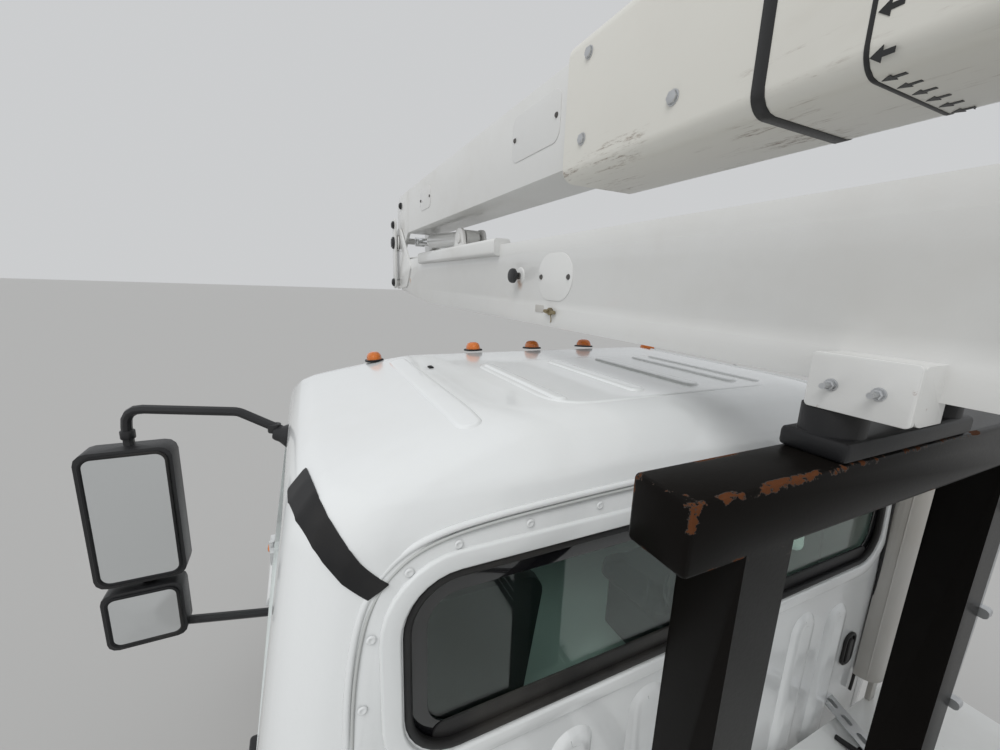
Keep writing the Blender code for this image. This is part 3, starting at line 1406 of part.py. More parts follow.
def boom_rest():
    beam_bottom = REST_BEAM_TOP_Z - REST_BEAM
    solid = block(
        (BEAM_RIGHT_X, REST_Y - REST_BEAM / 2, beam_bottom),
        (BEAM_LEFT_X, REST_Y + REST_BEAM / 2, REST_BEAM_TOP_Z),
        bevel=TUBE_ROUND,
    )
    for x in (POST_LEFT_X, POST_RIGHT_X):
        post = block(
            (x - REST_BEAM / 2, REST_Y - REST_BEAM / 2, DECK_TOP_Z + SEAT_GAP),
            (x + REST_BEAM / 2, REST_Y + REST_BEAM / 2, REST_BEAM_TOP_Z - REST_BEAM / 2),
        )
        foot = block(
            (x - FOOT_PLATE_HALF, REST_Y - FOOT_PLATE_HALF, DECK_TOP_Z + SEAT_GAP),
            (x + FOOT_PLATE_HALF, REST_Y + FOOT_PLATE_HALF, DECK_TOP_Z + SEAT_GAP + FOOT_PLATE_THICK),
        )
        join(solid, post, foot)
    return finish(solid, "boom_rest", "black_steel", base)


def rest_pad():
    foot_z = REST_BEAM_TOP_Z + SEAT_GAP
    top = SADDLE_BOTTOM_Z - SEAT_GAP
    solid = block(
        (-PAD_X, REST_Y - PAD_HALF[1], foot_z),
        (PAD_X, REST_Y + PAD_HALF[1], top - PAD_SINK),
        bevel=TUBE_ROUND,
    )
    for side_name, side in SIDES:
        foot = Vector((side * PAD_PLACE_X, REST_Y, foot_z))
        head = Vector((side * PAD_PLACE_X, REST_Y, top))
        join(solid, rod(foot, head, PAD_RADIUS))
    return finish(solid, "rest_pad", "rubber", base)


PAD_SINK = 0.040
boom_rest()
rest_pad()

# Exhaust stack behind the cab's right corner, in its heat shield
STACK_INSET = 0.112
STACK_X = -(CAB_BELT_X - STACK_INSET)
STACK_HALF = 0.150
STACK_FRONT_Y = CAB_BACK_Y + 0.004
STACK_REAR_Y = -0.672
STACK_BOTTOM_Z = 1.500
STACK_TOP_Z = 2.400
STACK_ROUND = 0.055
STACK_FOOT_HALF = 0.016
STACK_PIPE_RADIUS = 0.030
STACK_PIPE_TOP_Z = 2.560
STACK_PIPE_TIP = 0.090


def exhaust_stack():
    corners = [
        (STACK_X - STACK_HALF, STACK_FRONT_Y, 0),
        (STACK_X + STACK_HALF, STACK_FRONT_Y, 0),
        (STACK_X + STACK_HALF, STACK_REAR_Y, STACK_ROUND),
        (STACK_X - STACK_HALF, STACK_REAR_Y, STACK_ROUND),
    ]
    middle = (STACK_BOTTOM_Z + STACK_TOP_Z) / 2
    solid = outline_plate(rounded(corners), middle, STACK_TOP_Z - STACK_BOTTOM_Z, "plan")
    pipe_y = (STACK_FRONT_Y + STACK_REAR_Y) / 2
    pipe = tube(
        [
            (STACK_X, pipe_y, STACK_TOP_Z - STACK_PIPE_TIP),
            (STACK_X, pipe_y, STACK_PIPE_TOP_Z),
            (STACK_X, pipe_y + STACK_PIPE_TIP, STACK_PIPE_TOP_Z + STACK_PIPE_RADIUS),
        ],
        STACK_PIPE_RADIUS,
    )
    join(solid, pipe)
    foot_y = DECK_FRONT_Y + STACK_FOOT_HALF
    for side_name, side in SIDES:
        x = STACK_X + side * (STACK_HALF - 3 * STACK_FOOT_HALF)
        foot = block(
            (x - STACK_FOOT_HALF, DECK_FRONT_Y, DECK_TOP_Z + SEAT_GAP),
            (x + STACK_FOOT_HALF, foot_y, STACK_BOTTOM_Z + STACK_FOOT_HALF),
        )
        join(solid, foot)
    return finish(solid, "exhaust_stack", "aluminium", base)


exhaust_stack()

# Pedestal and turret
PEDESTAL_TABLE = (
    (0.290, 1.800),
    (0.290, 1.765),
    (0.240, 1.750),
    (0.250, 1.520),
    (0.330, 1.440),
    (0.400, 1.440),
    (0.400, DECK_TOP_Z + SEAT_GAP),
)
TURRET_DISC_TABLE = (
    (0.285, 1.850),
    (0.285, 1.806),
)
TURRET_PIN_RADIUS = 0.120
TURRET_SIDES = 32
TURRET_PIN_DEPTH = 0.060
WING_INNER_X = 0.152
WING_OUTER_X = 0.174
TURRET_SIDE = (
    (TURRET_Y - 0.270, 1.845, 0),
    (TURRET_Y - 0.290, 2.060, 0.060),
    (TURRET_Y - 0.150, 2.300, 0.200),
    (BOOM_PIVOT_Y - 0.150, 2.860, 0.100),
    (BOOM_PIVOT_Y - 0.120, 3.000, 0.100),
    (BOOM_PIVOT_Y + 0.120, 3.000, 0.100),
    (BOOM_PIVOT_Y + 0.150, 2.700, 0.100),
    (TURRET_Y + 0.270, 2.200, 0.200),
    (TURRET_Y + 0.270, 1.845, 0),
)
TURRET_BACK = (
    (TURRET_Y + 0.060, 1.845, 0),
    (TURRET_Y + 0.060, 2.250, 0.100),
    (BOOM_PIVOT_Y - 0.020, 2.560, 0.050),
    (BOOM_PIVOT_Y + 0.130, 2.560, 0.020),
    (TURRET_Y + 0.250, 2.200, 0.100),
    (TURRET_Y + 0.250, 1.845, 0),
)
BOOM_PIN_RADIUS = 0.052
CYLINDER_PIN_RADIUS = 0.028


def cross_bore(pivot, pin_radius, half):
    """A cutter across the truck at a (y, z) pivot, for a pin of this radius."""
    reach = Vector((half, 0, 0))
    centre = Vector((0, *pivot))
    return bore(centre - reach, centre + reach, pin_radius, PIN_SIDES)


def pedestal():
    table = [(0.0, PEDESTAL_TABLE[0][1]), *PEDESTAL_TABLE, (0.0, PEDESTAL_TABLE[-1][1])]
    solid = turned(table, (0, TURRET_Y, 0), (0, 0, 1), TURRET_SIDES)
    top = PEDESTAL_TABLE[0][1]
    bottom = TURRET_DISC_TABLE[1][1] - TURRET_PIN_DEPTH - MOVING_GAP
    foot, head = Vector((0, TURRET_Y, bottom)), Vector((0, TURRET_Y, top + OVERRUN))
    cut(solid, bore(foot, head, TURRET_PIN_RADIUS, TURRET_SIDES))
    return finish(solid, "pedestal", "white", base)


def turret():
    table = [(0.0, TURRET_DISC_TABLE[0][1]), *TURRET_DISC_TABLE, (0.0, TURRET_DISC_TABLE[-1][1])]
    solid = turned(table, (0, TURRET_Y, 0), (0, 0, 1), TURRET_SIDES)
    low = TURRET_DISC_TABLE[1][1]
    pin_foot = Vector((0, TURRET_Y, low - TURRET_PIN_DEPTH))
    pin_head = Vector((0, TURRET_Y, low + MOVING_GAP))
    join(solid, rod(pin_foot, pin_head, TURRET_PIN_RADIUS, TURRET_SIDES))
    thick = WING_OUTER_X - WING_INNER_X
    for side_name, side in SIDES:
        wing = outline_plate(rounded(TURRET_SIDE), side * (WING_INNER_X + thick / 2), thick, "side")
        join(solid, wing)
    join(solid, outline_plate(rounded(TURRET_BACK), 0, 2 * WING_INNER_X + thick, "side"))
    cut(solid, cross_bore((BOOM_PIVOT_Y, BOOM_PIVOT_Z), BOOM_PIN_RADIUS, WING_OUTER_X + OVERRUN))
    cut(solid, cross_bore(LOWER_CYLINDER_BASE, CYLINDER_PIN_RADIUS, WING_OUTER_X + OVERRUN))
    return finish(solid, "turret", "white", turret_axis)


pedestal()
turret()

# Lower boom: a box beam with elbow cheeks, its root between the turret's wings
LOWER_ROOT_REAR_Y = BOOM_PIVOT_Y + 0.130
LOWER_BOX_END = 0.080
LOWER_SIDE = (
    (LOWER_ROOT_REAR_Y, LOWER_BOTTOM_Z + 0.040, 0.060),
    (LOWER_ROOT_REAR_Y, LOWER_TOP_Z, 0.060),
    (ELBOW_Y + LOWER_BOX_END, LOWER_TOP_Z, 0),
    (ELBOW_Y + LOWER_BOX_END, LOWER_TIP_BOTTOM_Z, 0),
    (ELBOW_Y + 0.900, LOWER_BOTTOM_Z, 0.400),
    (BOOM_PIVOT_Y - 0.300, LOWER_BOTTOM_Z, 0.200),
)
CHEEK_INNER_X = 0.132
CHEEK_OUTER_X = 0.148
CHEEK_SIDE = (
    (ELBOW_Y + 0.420, LOWER_TOP_Z - 0.060, 0.030),
    (ELBOW_Y + 0.130, ELBOW_Z + 0.050, 0.110),
    (ELBOW_Y + 0.050, ELBOW_Z + 0.115, 0.080),
    (ELBOW_Y - 0.115, ELBOW_Z + 0.115, 0.110),
    (ELBOW_Y - 0.115, LINK_PIN_Z - 0.060, 0.080),
    (ELBOW_Y + 0.300, LINK_PIN_Z - 0.030, 0.100),
)
ELBOW_PIN_RADIUS = 0.045
LINK_PIN_RADIUS = 0.028
ELBOW_CAP_RADIUS = 0.068
ELBOW_CAP_THICK = 0.012
LUG_INNER_X = 0.056
LUG_THICK = 0.016
LUG_ROUND = 0.055
LUG_PIN_RADIUS = 0.026
ROOT_BOSS_X = 0.146
ROOT_BOSS_RADIUS = 0.088


def lug_pair(target, pivot, foot, size, bore):
    """Two lugs on a boom for a cylinder: each a plate with a round end at the pivot."""
    pivot_v = Vector(pivot)
    foot_v = Vector(foot)
    along = (foot_v - pivot_v).normalized()
    across = Vector((-along.y, along.x))
    points = [
        tuple(pivot_v - along * size + across * size),
        tuple(foot_v + across * size * LUG_SPREAD),
        tuple(foot_v - across * size * LUG_SPREAD),
        tuple(pivot_v - along * size - across * size),
    ]
    corners = [
        (*points[0], size * NEARLY),
        (*points[1], 0),
        (*points[2], 0),
        (*points[3], size * NEARLY),
    ]
    for side_name, side in SIDES:
        middle = side * (LUG_INNER_X + LUG_THICK / 2)
        plate = outline_plate(rounded(corners), middle, LUG_THICK, "side")
        join(target, plate)
    if bore:
        cut(target, cross_bore(pivot, bore, LUG_INNER_X + 2 * LUG_THICK))


LUG_SPREAD = 1.8
NEARLY = 0.96


def saddle(side):
    """The angle bolted to the boom's side, whose foot lies on the rest's rubber pad."""
    middle = (SADDLE_FRONT_Y + SADDLE_REAR_Y) / 2
    corners = [
        (side * (LOWER_HALF_WIDTH - SADDLE_ROUND), SADDLE_BOTTOM_Z, 0),
        (side * SADDLE_OUTER_X, SADDLE_BOTTOM_Z, SADDLE_ROUND),
        (side * SADDLE_OUTER_X, SADDLE_TOP_Z, SADDLE_ROUND / 2),
        (side * (LOWER_HALF_WIDTH - SADDLE_ROUND), SADDLE_TOP_Z, 0),
    ]
    return outline_plate(rounded(corners), middle, SADDLE_REAR_Y - SADDLE_FRONT_Y, "front")


HOUSING_FRONT_Y = -3.105
HOUSING_REAR_Y = -1.835
HOUSING_OUTER_X = 0.170
HOUSING_BOTTOM_Z = 2.962
HOUSING_TOP_Z = 3.034
HOUSING_ROUND = 0.016
HOUSING_SINK = 0.048


def rod_housing():
    """The closed channel along the boom's upper left edge, where the levelling rods run."""
    middle = (HOUSING_FRONT_Y + HOUSING_REAR_Y) / 2
    corners = [
        (LOWER_HALF_WIDTH - HOUSING_SINK, HOUSING_BOTTOM_Z, 0),
        (HOUSING_OUTER_X, HOUSING_BOTTOM_Z, HOUSING_ROUND),
        (HOUSING_OUTER_X, HOUSING_TOP_Z, HOUSING_ROUND),
        (LOWER_HALF_WIDTH - HOUSING_SINK, HOUSING_TOP_Z, HOUSING_ROUND),
    ]
    return outline_plate(rounded(corners), middle, HOUSING_REAR_Y - HOUSING_FRONT_Y, "front")


def lower_boom():
    solid = outline_plate(rounded(LOWER_SIDE), 0, 2 * LOWER_HALF_WIDTH, "side")
    thick = CHEEK_OUTER_X - CHEEK_INNER_X
    for side_name, side in SIDES:
        middle = side * (CHEEK_INNER_X + thick / 2)
        join(solid, outline_plate(rounded(CHEEK_SIDE), middle, thick, "side"), saddle(side))
    join(solid, rod_housing())
    root = Vector((ROOT_BOSS_X, 0, 0))
    pivot = Vector((0, BOOM_PIVOT_Y, BOOM_PIVOT_Z))
    join(solid, rod(pivot - root, pivot + root, ROOT_BOSS_RADIUS, PIN_SIDES))
    pin = Vector((WING_OUTER_X + ELBOW_CAP_THICK, 0, 0))
    join(solid, rod(pivot - pin, pivot + pin, BOOM_PIN_RADIUS, PIN_SIDES))
    for side_name, side in SIDES:
        cap_start = pivot + Vector((side * (WING_OUTER_X + CAP_GAP), 0, 0))
        cap_end = pivot + Vector((side * (WING_OUTER_X + CAP_GAP + ELBOW_CAP_THICK), 0, 0))
        join(solid, rod(cap_start, cap_end, BOOM_PIN_RADIUS + ELBOW_CAP_THICK, PIN_SIDES))
    cut(solid, cross_bore((ELBOW_Y, ELBOW_Z), ELBOW_PIN_RADIUS, CHEEK_OUTER_X + OVERRUN))
    cut(solid, cross_bore((ELBOW_Y, LINK_PIN_Z), LINK_PIN_RADIUS, CHEEK_OUTER_X + OVERRUN))
    lug_pair(solid, LOWER_CYLINDER_EYE, (LOWER_CYLINDER_EYE[0], LOWER_BOTTOM_Z + RAIL_WALL), LUG_ROUND, 0)
    lug_foot = (ELBOW_CYLINDER_BASE[0], LOWER_TOP_Z - RAIL_WALL)
    lug_pair(solid, ELBOW_CYLINDER_BASE, lug_foot, LUG_ROUND, CYLINDER_PIN_RADIUS)
    for side_name, side in SIDES:
        stub_in = Vector((side * (EYE_HALF + STUB_GAP), *LOWER_CYLINDER_EYE))
        stub_out = Vector((side * (LUG_INNER_X + LUG_THICK + CAP_GAP), *LOWER_CYLINDER_EYE))
        join(solid, rod(stub_in, stub_out, LUG_PIN_RADIUS, PIN_SIDES))
    return finish(solid, "lower_boom", "white", lower_axis)


CAP_GAP = 0.004
EYE_HALF = 0.036
STUB_GAP = 0.004
lower_boom()

# Upper boom: steel section from the elbow, then the glass-fibre section and its tip
UPPER_STEEL_REAR_Y = GLASS_FRONT_Y - SEAT_GAP
UPPER_BOX_FRONT = 0.200
UPPER_SIDE = (
    (ELBOW_Y + UPPER_BOX_FRONT, UPPER_BOTTOM_Z, 0),
    (UPPER_STEEL_REAR_Y, UPPER_BOTTOM_Z, 0),
    (UPPER_STEEL_REAR_Y, UPPER_TOP_Z, 0),
    (ELBOW_Y + UPPER_BOX_FRONT, UPPER_TOP_Z, 0),
)
UPPER_PLATE_INNER_X = 0.104
UPPER_CHEEK_SIDE = (
    (ELBOW_Y + UPPER_BOX_FRONT + 0.060, UPPER_BOTTOM_Z + 0.004, 0),
    (ELBOW_Y + 0.100, ELBOW_Z - 0.060, 0.060),
    (ELBOW_Y + 0.040, ELBOW_Z - 0.095, 0.060),
    (ELBOW_Y - 0.095, ELBOW_Z - 0.095, 0.090),
    (ELBOW_Y - 0.110, UPPER_TOP_Z - 0.004, 0.120),
    (ELBOW_Y + UPPER_BOX_FRONT + 0.060, UPPER_TOP_Z - 0.004, 0),
)
UPPER_STUB_INNER_X = UPPER_PLATE_INNER_X + 0.004
PLATE_PROUD = 0.003
CRANK_STUB_INNER_X = 0.042
CRANK_RADIUS = 0.024
GLASS_ROUND = 0.040
GLASS_REAR_Y = 3.180


def upper_boom_steel():
    solid = outline_plate(rounded(UPPER_SIDE), 0, 2 * UPPER_HALF_WIDTH, "side")
    thick = UPPER_HALF_WIDTH + PLATE_PROUD - UPPER_PLATE_INNER_X
    for side_name, side in SIDES:
        middle = side * (UPPER_PLATE_INNER_X + thick / 2)
        join(solid, outline_plate(rounded(UPPER_CHEEK_SIDE), middle, thick, "side"))
        pin_in = Vector((side * UPPER_STUB_INNER_X, ELBOW_Y, ELBOW_Z))
        pin_out = Vector((side * (CHEEK_OUTER_X + CAP_GAP + ELBOW_CAP_THICK), ELBOW_Y, ELBOW_Z))
        join(solid, rod(pin_in, pin_out, ELBOW_PIN_RADIUS, PIN_SIDES))
        cap_in = Vector((side * (CHEEK_OUTER_X + CAP_GAP), ELBOW_Y, ELBOW_Z))
        join(solid, rod(cap_in, pin_out, ELBOW_CAP_RADIUS, PIN_SIDES))
        crank_in = Vector((side * CRANK_STUB_INNER_X, *ELBOW_CYLINDER_EYE))
        crank_out = Vector((side * (UPPER_HALF_WIDTH - PLATE_PROUD), *ELBOW_CYLINDER_EYE))
        join(solid, rod(crank_in, crank_out, CRANK_RADIUS, PIN_SIDES))
    return finish(solid, "upper_boom_steel", "white", upper_axis)


def upper_boom_glass():
    """The fibreglass box that carries the tip, its long edges rounded."""
    half = GLASS_HALF_WIDTH
    corners = [
        (-half, GLASS_BOTTOM_Z, GLASS_ROUND),
        (half, GLASS_BOTTOM_Z, GLASS_ROUND),
        (half, GLASS_TOP_Z, GLASS_ROUND),
        (-half, GLASS_TOP_Z, GLASS_ROUND),
    ]
    middle = (GLASS_FRONT_Y + GLASS_REAR_Y) / 2
    solid = outline_plate(rounded(corners), middle, GLASS_REAR_Y - GLASS_FRONT_Y, "front")
    return finish(solid, "upper_boom_fibreglass", "gelcoat", upper_axis)


upper_boom_steel()
upper_boom_glass()

# Boom tip, levelling sprocket and bucket
TIP_REAR_Y = TIP_PIVOT_Y + 0.110
TIP_SHEET = 0.012
TIP_SHAFT_RADIUS = 0.030
TIP_FRONT_Y = GLASS_REAR_Y - 0.300
TIP_SIDE = (
    (TIP_FRONT_Y, GLASS_BOTTOM_Z + 0.040, 0.040),
    (TIP_FRONT_Y, GLASS_TOP_Z - 0.040, 0.040),
    (TIP_PIVOT_Y, TIP_PIVOT_Z + 0.110, 0.100),
    (TIP_REAR_Y, TIP_PIVOT_Z + 0.100, 0.100),
    (TIP_REAR_Y, TIP_PIVOT_Z - 0.100, 0.100),
    (TIP_PIVOT_Y, TIP_PIVOT_Z - 0.110, 0.100),
)
SPROCKET_RADIUS = 0.118
SPROCKET_HALF = 0.105
COLLAR_RADIUS = 0.085
BUCKET_SHAFT_RADIUS = 0.020
BUCKET_INNER_X = -0.330
BUCKET_OUTER_X = -0.940
BUCKET_FRONT_Y = TIP_PIVOT_Y - 0.380
BUCKET_REAR_Y = TIP_PIVOT_Y + 0.380
BUCKET_BOTTOM_Z = 2.420
BUCKET_TOP_Z = 3.487
BUCKET_WALL = 0.010
BUCKET_ROUND = 0.070
BUCKET_TAPER = 0.030
BUCKET_LIP = 0.022
BUCKET_LIP_HEIGHT = 0.040
BRACKET_THICK = 0.012
BRACKET_PLATE_X = BUCKET_INNER_X + SEAT_GAP + BRACKET_THICK
BRACKET_HALF_Y = 0.150
BRACKET_TOP_Z = 3.470
BRACKET_BOTTOM_Z = 2.900


def boom_tip():
    """Two plates on the boom's sides with a cross plate, carrying the sprocket between them."""
    inner = GLASS_HALF_WIDTH + SEAT_GAP
    solid = None
    for side_name, side in SIDES:
        plate = outline_plate(rounded(TIP_SIDE), side * (inner + TIP_SHEET / 2), TIP_SHEET, "side")
        solid = plate if solid is None else join(solid, plate)
    bridge = block(
        (-inner - TIP_SHEET / 2, GLASS_REAR_Y + SEAT_GAP, GLASS_BOTTOM_Z + 2 * EDGE_ROUND),
        (inner + TIP_SHEET / 2, GLASS_REAR_Y + SEAT_GAP + TIP_SHEET, GLASS_TOP_Z - 2 * EDGE_ROUND),
    )
    join(solid, bridge)
    cut(solid, cross_bore((TIP_PIVOT_Y, TIP_PIVOT_Z), TIP_SHAFT_RADIUS, inner + OVERRUN))
    return finish(solid, "boom_tip", "white", upper_axis)


def tip_sprocket():
    """The levelling sprocket on its hollow shaft, through which the bucket's own shaft runs."""
    centre = Vector((0, TIP_PIVOT_Y, TIP_PIVOT_Z))
    half = Vector((SPROCKET_HALF, 0, 0))
    reach = Vector((GLASS_HALF_WIDTH + 2 * TIP_SHEET, 0, 0))
    solid = rod(centre - half, centre + half, SPROCKET_RADIUS, PIN_SIDES)
    join(solid, rod(centre - reach, centre + reach, TIP_SHAFT_RADIUS, PIN_SIDES))
    cut(solid, bore(centre - 2 * reach, centre + 2 * reach, BUCKET_SHAFT_RADIUS, PIN_SIDES))
    return finish(solid, "levelling_sprocket", "steel", tip_axis)


def bucket_layer(depth, floor_z, top_z):
    """A tapered tub with round corners: a rounded rectangle lofted from the floor to the lip."""
    mesh = bpy.data.meshes.new("bucket")
    work = bmesh.new()
    rings = []
    for z, narrowing in ((floor_z, BUCKET_TAPER), (top_z, 0)):
        inset_by = depth + narrowing
        corners = [
            (BUCKET_OUTER_X + inset_by, BUCKET_FRONT_Y + inset_by, BUCKET_ROUND),
            (BUCKET_INNER_X - inset_by, BUCKET_FRONT_Y + inset_by, BUCKET_ROUND),
            (BUCKET_INNER_X - inset_by, BUCKET_REAR_Y - inset_by, BUCKET_ROUND),
            (BUCKET_OUTER_X + inset_by, BUCKET_REAR_Y - inset_by, BUCKET_ROUND),
        ]
        rings.append([work.verts.new((x, y, z)) for x, y in rounded(corners)])
    count = len(rings[0])
    for i in range(count):
        j = (i + 1) % count
        work.faces.new((rings[0][i], rings[0][j], rings[1][j], rings[1][i]))
    work.faces.new(list(reversed(rings[0])))
    work.faces.new(rings[1])
    bmesh.ops.recalc_face_normals(work, faces=work.faces)
    work.to_mesh(mesh)
    work.free()
    obj = bpy.data.objects.new("bucket", mesh)
    PARTS.objects.link(obj)
    return obj


def bucket():
    solid = bucket_layer(0, BUCKET_BOTTOM_Z, BUCKET_TOP_Z)
    lip_corners = [
        (BUCKET_OUTER_X - BUCKET_LIP, BUCKET_FRONT_Y - BUCKET_LIP, BUCKET_ROUND),
        (BUCKET_INNER_X, BUCKET_FRONT_Y - BUCKET_LIP, BUCKET_ROUND),
        (BUCKET_INNER_X, BUCKET_REAR_Y + BUCKET_LIP, BUCKET_ROUND),
        (BUCKET_OUTER_X - BUCKET_LIP, BUCKET_REAR_Y + BUCKET_LIP, BUCKET_ROUND),
    ]
    middle = BUCKET_TOP_Z - BUCKET_LIP_HEIGHT / 2
    join(solid, outline_plate(rounded(lip_corners), middle, BUCKET_LIP_HEIGHT, "plan"))
    cut(solid, bucket_layer(BUCKET_WALL, BUCKET_BOTTOM_Z + BUCKET_WALL, BUCKET_TOP_Z + OVERRUN))
    return finish(solid, "bucket", "white", bucket_axis)


def bucket_bracket():
    """The plate on the bucket's inner side and the shaft that turns with it."""
    plate = block(
        (BRACKET_PLATE_X - BRACKET_THICK, TIP_PIVOT_Y - BRACKET_HALF_Y, BRACKET_BOTTOM_Z),
        (BRACKET_PLATE_X, TIP_PIVOT_Y + BRACKET_HALF_Y, BRACKET_TOP_Z),
    )
    far = Vector((GLASS_HALF_WIDTH + 4 * TIP_SHEET, TIP_PIVOT_Y, TIP_PIVOT_Z))
    near = Vector((BRACKET_PLATE_X - BRACKET_THICK / 2, TIP_PIVOT_Y, TIP_PIVOT_Z))
    join(plate, rod(near, far, BUCKET_SHAFT_RADIUS, PIN_SIDES))
    collar_out = Vector((-(GLASS_HALF_WIDTH + 3 * TIP_SHEET), TIP_PIVOT_Y, TIP_PIVOT_Z))
    join(plate, rod(near, collar_out, COLLAR_RADIUS, PIN_SIDES))
    nut_in = Vector((GLASS_HALF_WIDTH + 3 * TIP_SHEET, TIP_PIVOT_Y, TIP_PIVOT_Z))
    join(plate, rod(nut_in, far, TIP_SHAFT_RADIUS, PIN_SIDES))
    return finish(plate, "bucket_bracket", "white", bucket_axis)


boom_tip()
tip_sprocket()
bucket()
bucket_bracket()

# Hydraulic cylinders and the elbow link
LOWER_BARREL_RADIUS = 0.070
LOWER_ROD_RADIUS = 0.034
ELBOW_BARREL_RADIUS = 0.050
ELBOW_ROD_RADIUS = 0.024
LOWER_BARREL_LENGTH = 1.060
ELBOW_BARREL_LENGTH = 0.760
ROD_TAIL = 0.080
EYE_RADIUS = 0.046
LINK_TOP = (ELBOW_Y + 0.010, 3.290)
LINK_INNER_X = 0.172
LINK_THICK = 0.014
LINK_ROUND = 0.050


def cylinder(name, base_yz, eye_yz, barrel_radius, rod_radius, length,
             eye_half, pin_half, body, rod_body, eye_size):
    """A hydraulic cylinder: a bored barrel with its pinned base eye, and the rod with its own eye."""
    start, end = Vector((0, *base_yz)), Vector((0, *eye_yz))
    along = (end - start).normalized()
    barrel_end = start + along * length
    barrel = rod(start + along * barrel_radius * BARREL_START, barrel_end, barrel_radius)
    eye = Vector((eye_half, 0, 0))
    join(barrel, rod(start - eye, start + eye, barrel_radius))
    pin = Vector((pin_half, 0, 0))
    join(barrel, rod(start - pin, start + pin, CYLINDER_PIN_RADIUS, PIN_SIDES))
    bore_start = start + along * barrel_radius * BORE_START
    cut(barrel, rod(bore_start, barrel_end + along * OVERRUN, bore_radius(rod_radius, ROD_SIDES), ROD_SIDES))
    finish(barrel, f"{name}_barrel", "white", body)
    ram = rod(bore_start + along * ROD_TAIL, end, rod_radius, ROD_SIDES)
    half = Vector((EYE_HALF, 0, 0))
    join(ram, rod(end - half, end + half, eye_size))
    finish(ram, f"{name}_rod", "steel", rod_body)


LOWER_BASE_HALF = 0.100
ELBOW_BASE_HALF = 0.040
ELBOW_EYE_RADIUS = 0.036
ROD_SIDES = 16
BARREL_START = 0.4
BORE_START = 1.35
cylinder("lower_cylinder", LOWER_CYLINDER_BASE, LOWER_CYLINDER_EYE, LOWER_BARREL_RADIUS,
         LOWER_ROD_RADIUS, LOWER_BARREL_LENGTH, LOWER_BASE_HALF, WING_OUTER_X + CAP_GAP,
         lower_barrel_axis, lower_rod_axis, EYE_RADIUS)
cylinder("elbow_cylinder", ELBOW_CYLINDER_BASE, ELBOW_CYLINDER_EYE, ELBOW_BARREL_RADIUS,
         ELBOW_ROD_RADIUS, ELBOW_BARREL_LENGTH, ELBOW_BASE_HALF, LUG_INNER_X + LUG_THICK + CAP_GAP,
         elbow_barrel_axis, elbow_rod_axis, ELBOW_EYE_RADIUS)


def elbow_link():
    """A pair of link bars outside the elbow, on one pin through the cheeks."""
    solid = None
    pivot = Vector((ELBOW_Y, LINK_PIN_Z))
    head = Vector(LINK_TOP)
    along = (head - pivot).normalized()
    across = Vector((-along.y, along.x))
    r = LINK_ROUND
    corners = []
    for spot, sign in ((pivot, -1), (head, 1)):
        far = spot + along * r * sign
        corners.append((*(far + across * r * -sign), r * NEARLY))
        corners.append((*(far + across * r * sign), r * NEARLY))
    pin = Vector((LINK_INNER_X + LINK_THICK, ELBOW_Y, LINK_PIN_Z))
    solid = rod(Vector((-pin.x, pin.y, pin.z)), pin, LINK_PIN_RADIUS, PIN_SIDES)
    for side_name, side in SIDES:
        bar = outline_plate(rounded(corners), side * (LINK_INNER_X + LINK_THICK / 2), LINK_THICK, "side")
        join(solid, bar)
    return finish(solid, "elbow_link", "white", link_axis)


elbow_link()
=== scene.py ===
# %% [markdown]
# # A cherry picker truck, seen from just behind its cab
#
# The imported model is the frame: every solid, joint and size comes from it. This lesson gives
# those solids their paint, glass, rubber and wear, and adds the small pieces that a workshop
# would bolt on afterwards. It starts by loading the frame and noting its box.

import math

import bpy
from mathutils import Matrix, Vector


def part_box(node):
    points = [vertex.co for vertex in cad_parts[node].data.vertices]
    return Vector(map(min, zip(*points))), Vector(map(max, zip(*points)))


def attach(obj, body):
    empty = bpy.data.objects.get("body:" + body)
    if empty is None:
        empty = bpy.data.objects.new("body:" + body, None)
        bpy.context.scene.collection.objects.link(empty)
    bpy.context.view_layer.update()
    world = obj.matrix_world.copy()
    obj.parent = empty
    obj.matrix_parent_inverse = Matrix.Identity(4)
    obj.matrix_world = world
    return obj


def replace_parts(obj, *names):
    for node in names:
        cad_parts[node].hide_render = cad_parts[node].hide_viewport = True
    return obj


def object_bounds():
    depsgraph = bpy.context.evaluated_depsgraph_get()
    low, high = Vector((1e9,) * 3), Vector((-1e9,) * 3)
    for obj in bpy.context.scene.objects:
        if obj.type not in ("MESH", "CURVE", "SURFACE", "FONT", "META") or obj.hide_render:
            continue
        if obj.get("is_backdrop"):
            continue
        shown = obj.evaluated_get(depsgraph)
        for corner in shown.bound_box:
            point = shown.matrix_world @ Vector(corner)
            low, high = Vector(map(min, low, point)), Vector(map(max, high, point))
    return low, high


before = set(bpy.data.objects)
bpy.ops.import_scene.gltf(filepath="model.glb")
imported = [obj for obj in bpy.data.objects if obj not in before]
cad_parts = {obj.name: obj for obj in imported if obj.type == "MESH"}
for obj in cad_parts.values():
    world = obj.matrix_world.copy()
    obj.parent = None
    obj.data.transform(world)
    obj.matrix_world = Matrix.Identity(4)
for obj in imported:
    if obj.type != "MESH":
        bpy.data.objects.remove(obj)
cad_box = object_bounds()
print("box:", [round(c, 3) for c in cad_box[0]], [round(c, 3) for c in cad_box[1]])

# %% [markdown]
# ## The camera
#
# The camera stands over the deck, left of the booms and just above the cab's roof, with a very
# wide lens. Lines of the roof, the booms and the rest post meet in three vanishing points, and
# these give the lens and the three directions below: to the right, up, and back from the view.

# %% Set the camera
EYE = Vector((0.925, -0.145, 2.840))
TO_RIGHT = Vector((-0.90506, 0.42371, 0.03653))
TO_TOP = Vector((-0.05622, -0.20434, 0.97728))
TO_BACK = Vector((0.42155, 0.88245, 0.20876))
LENS_MM = 15.17

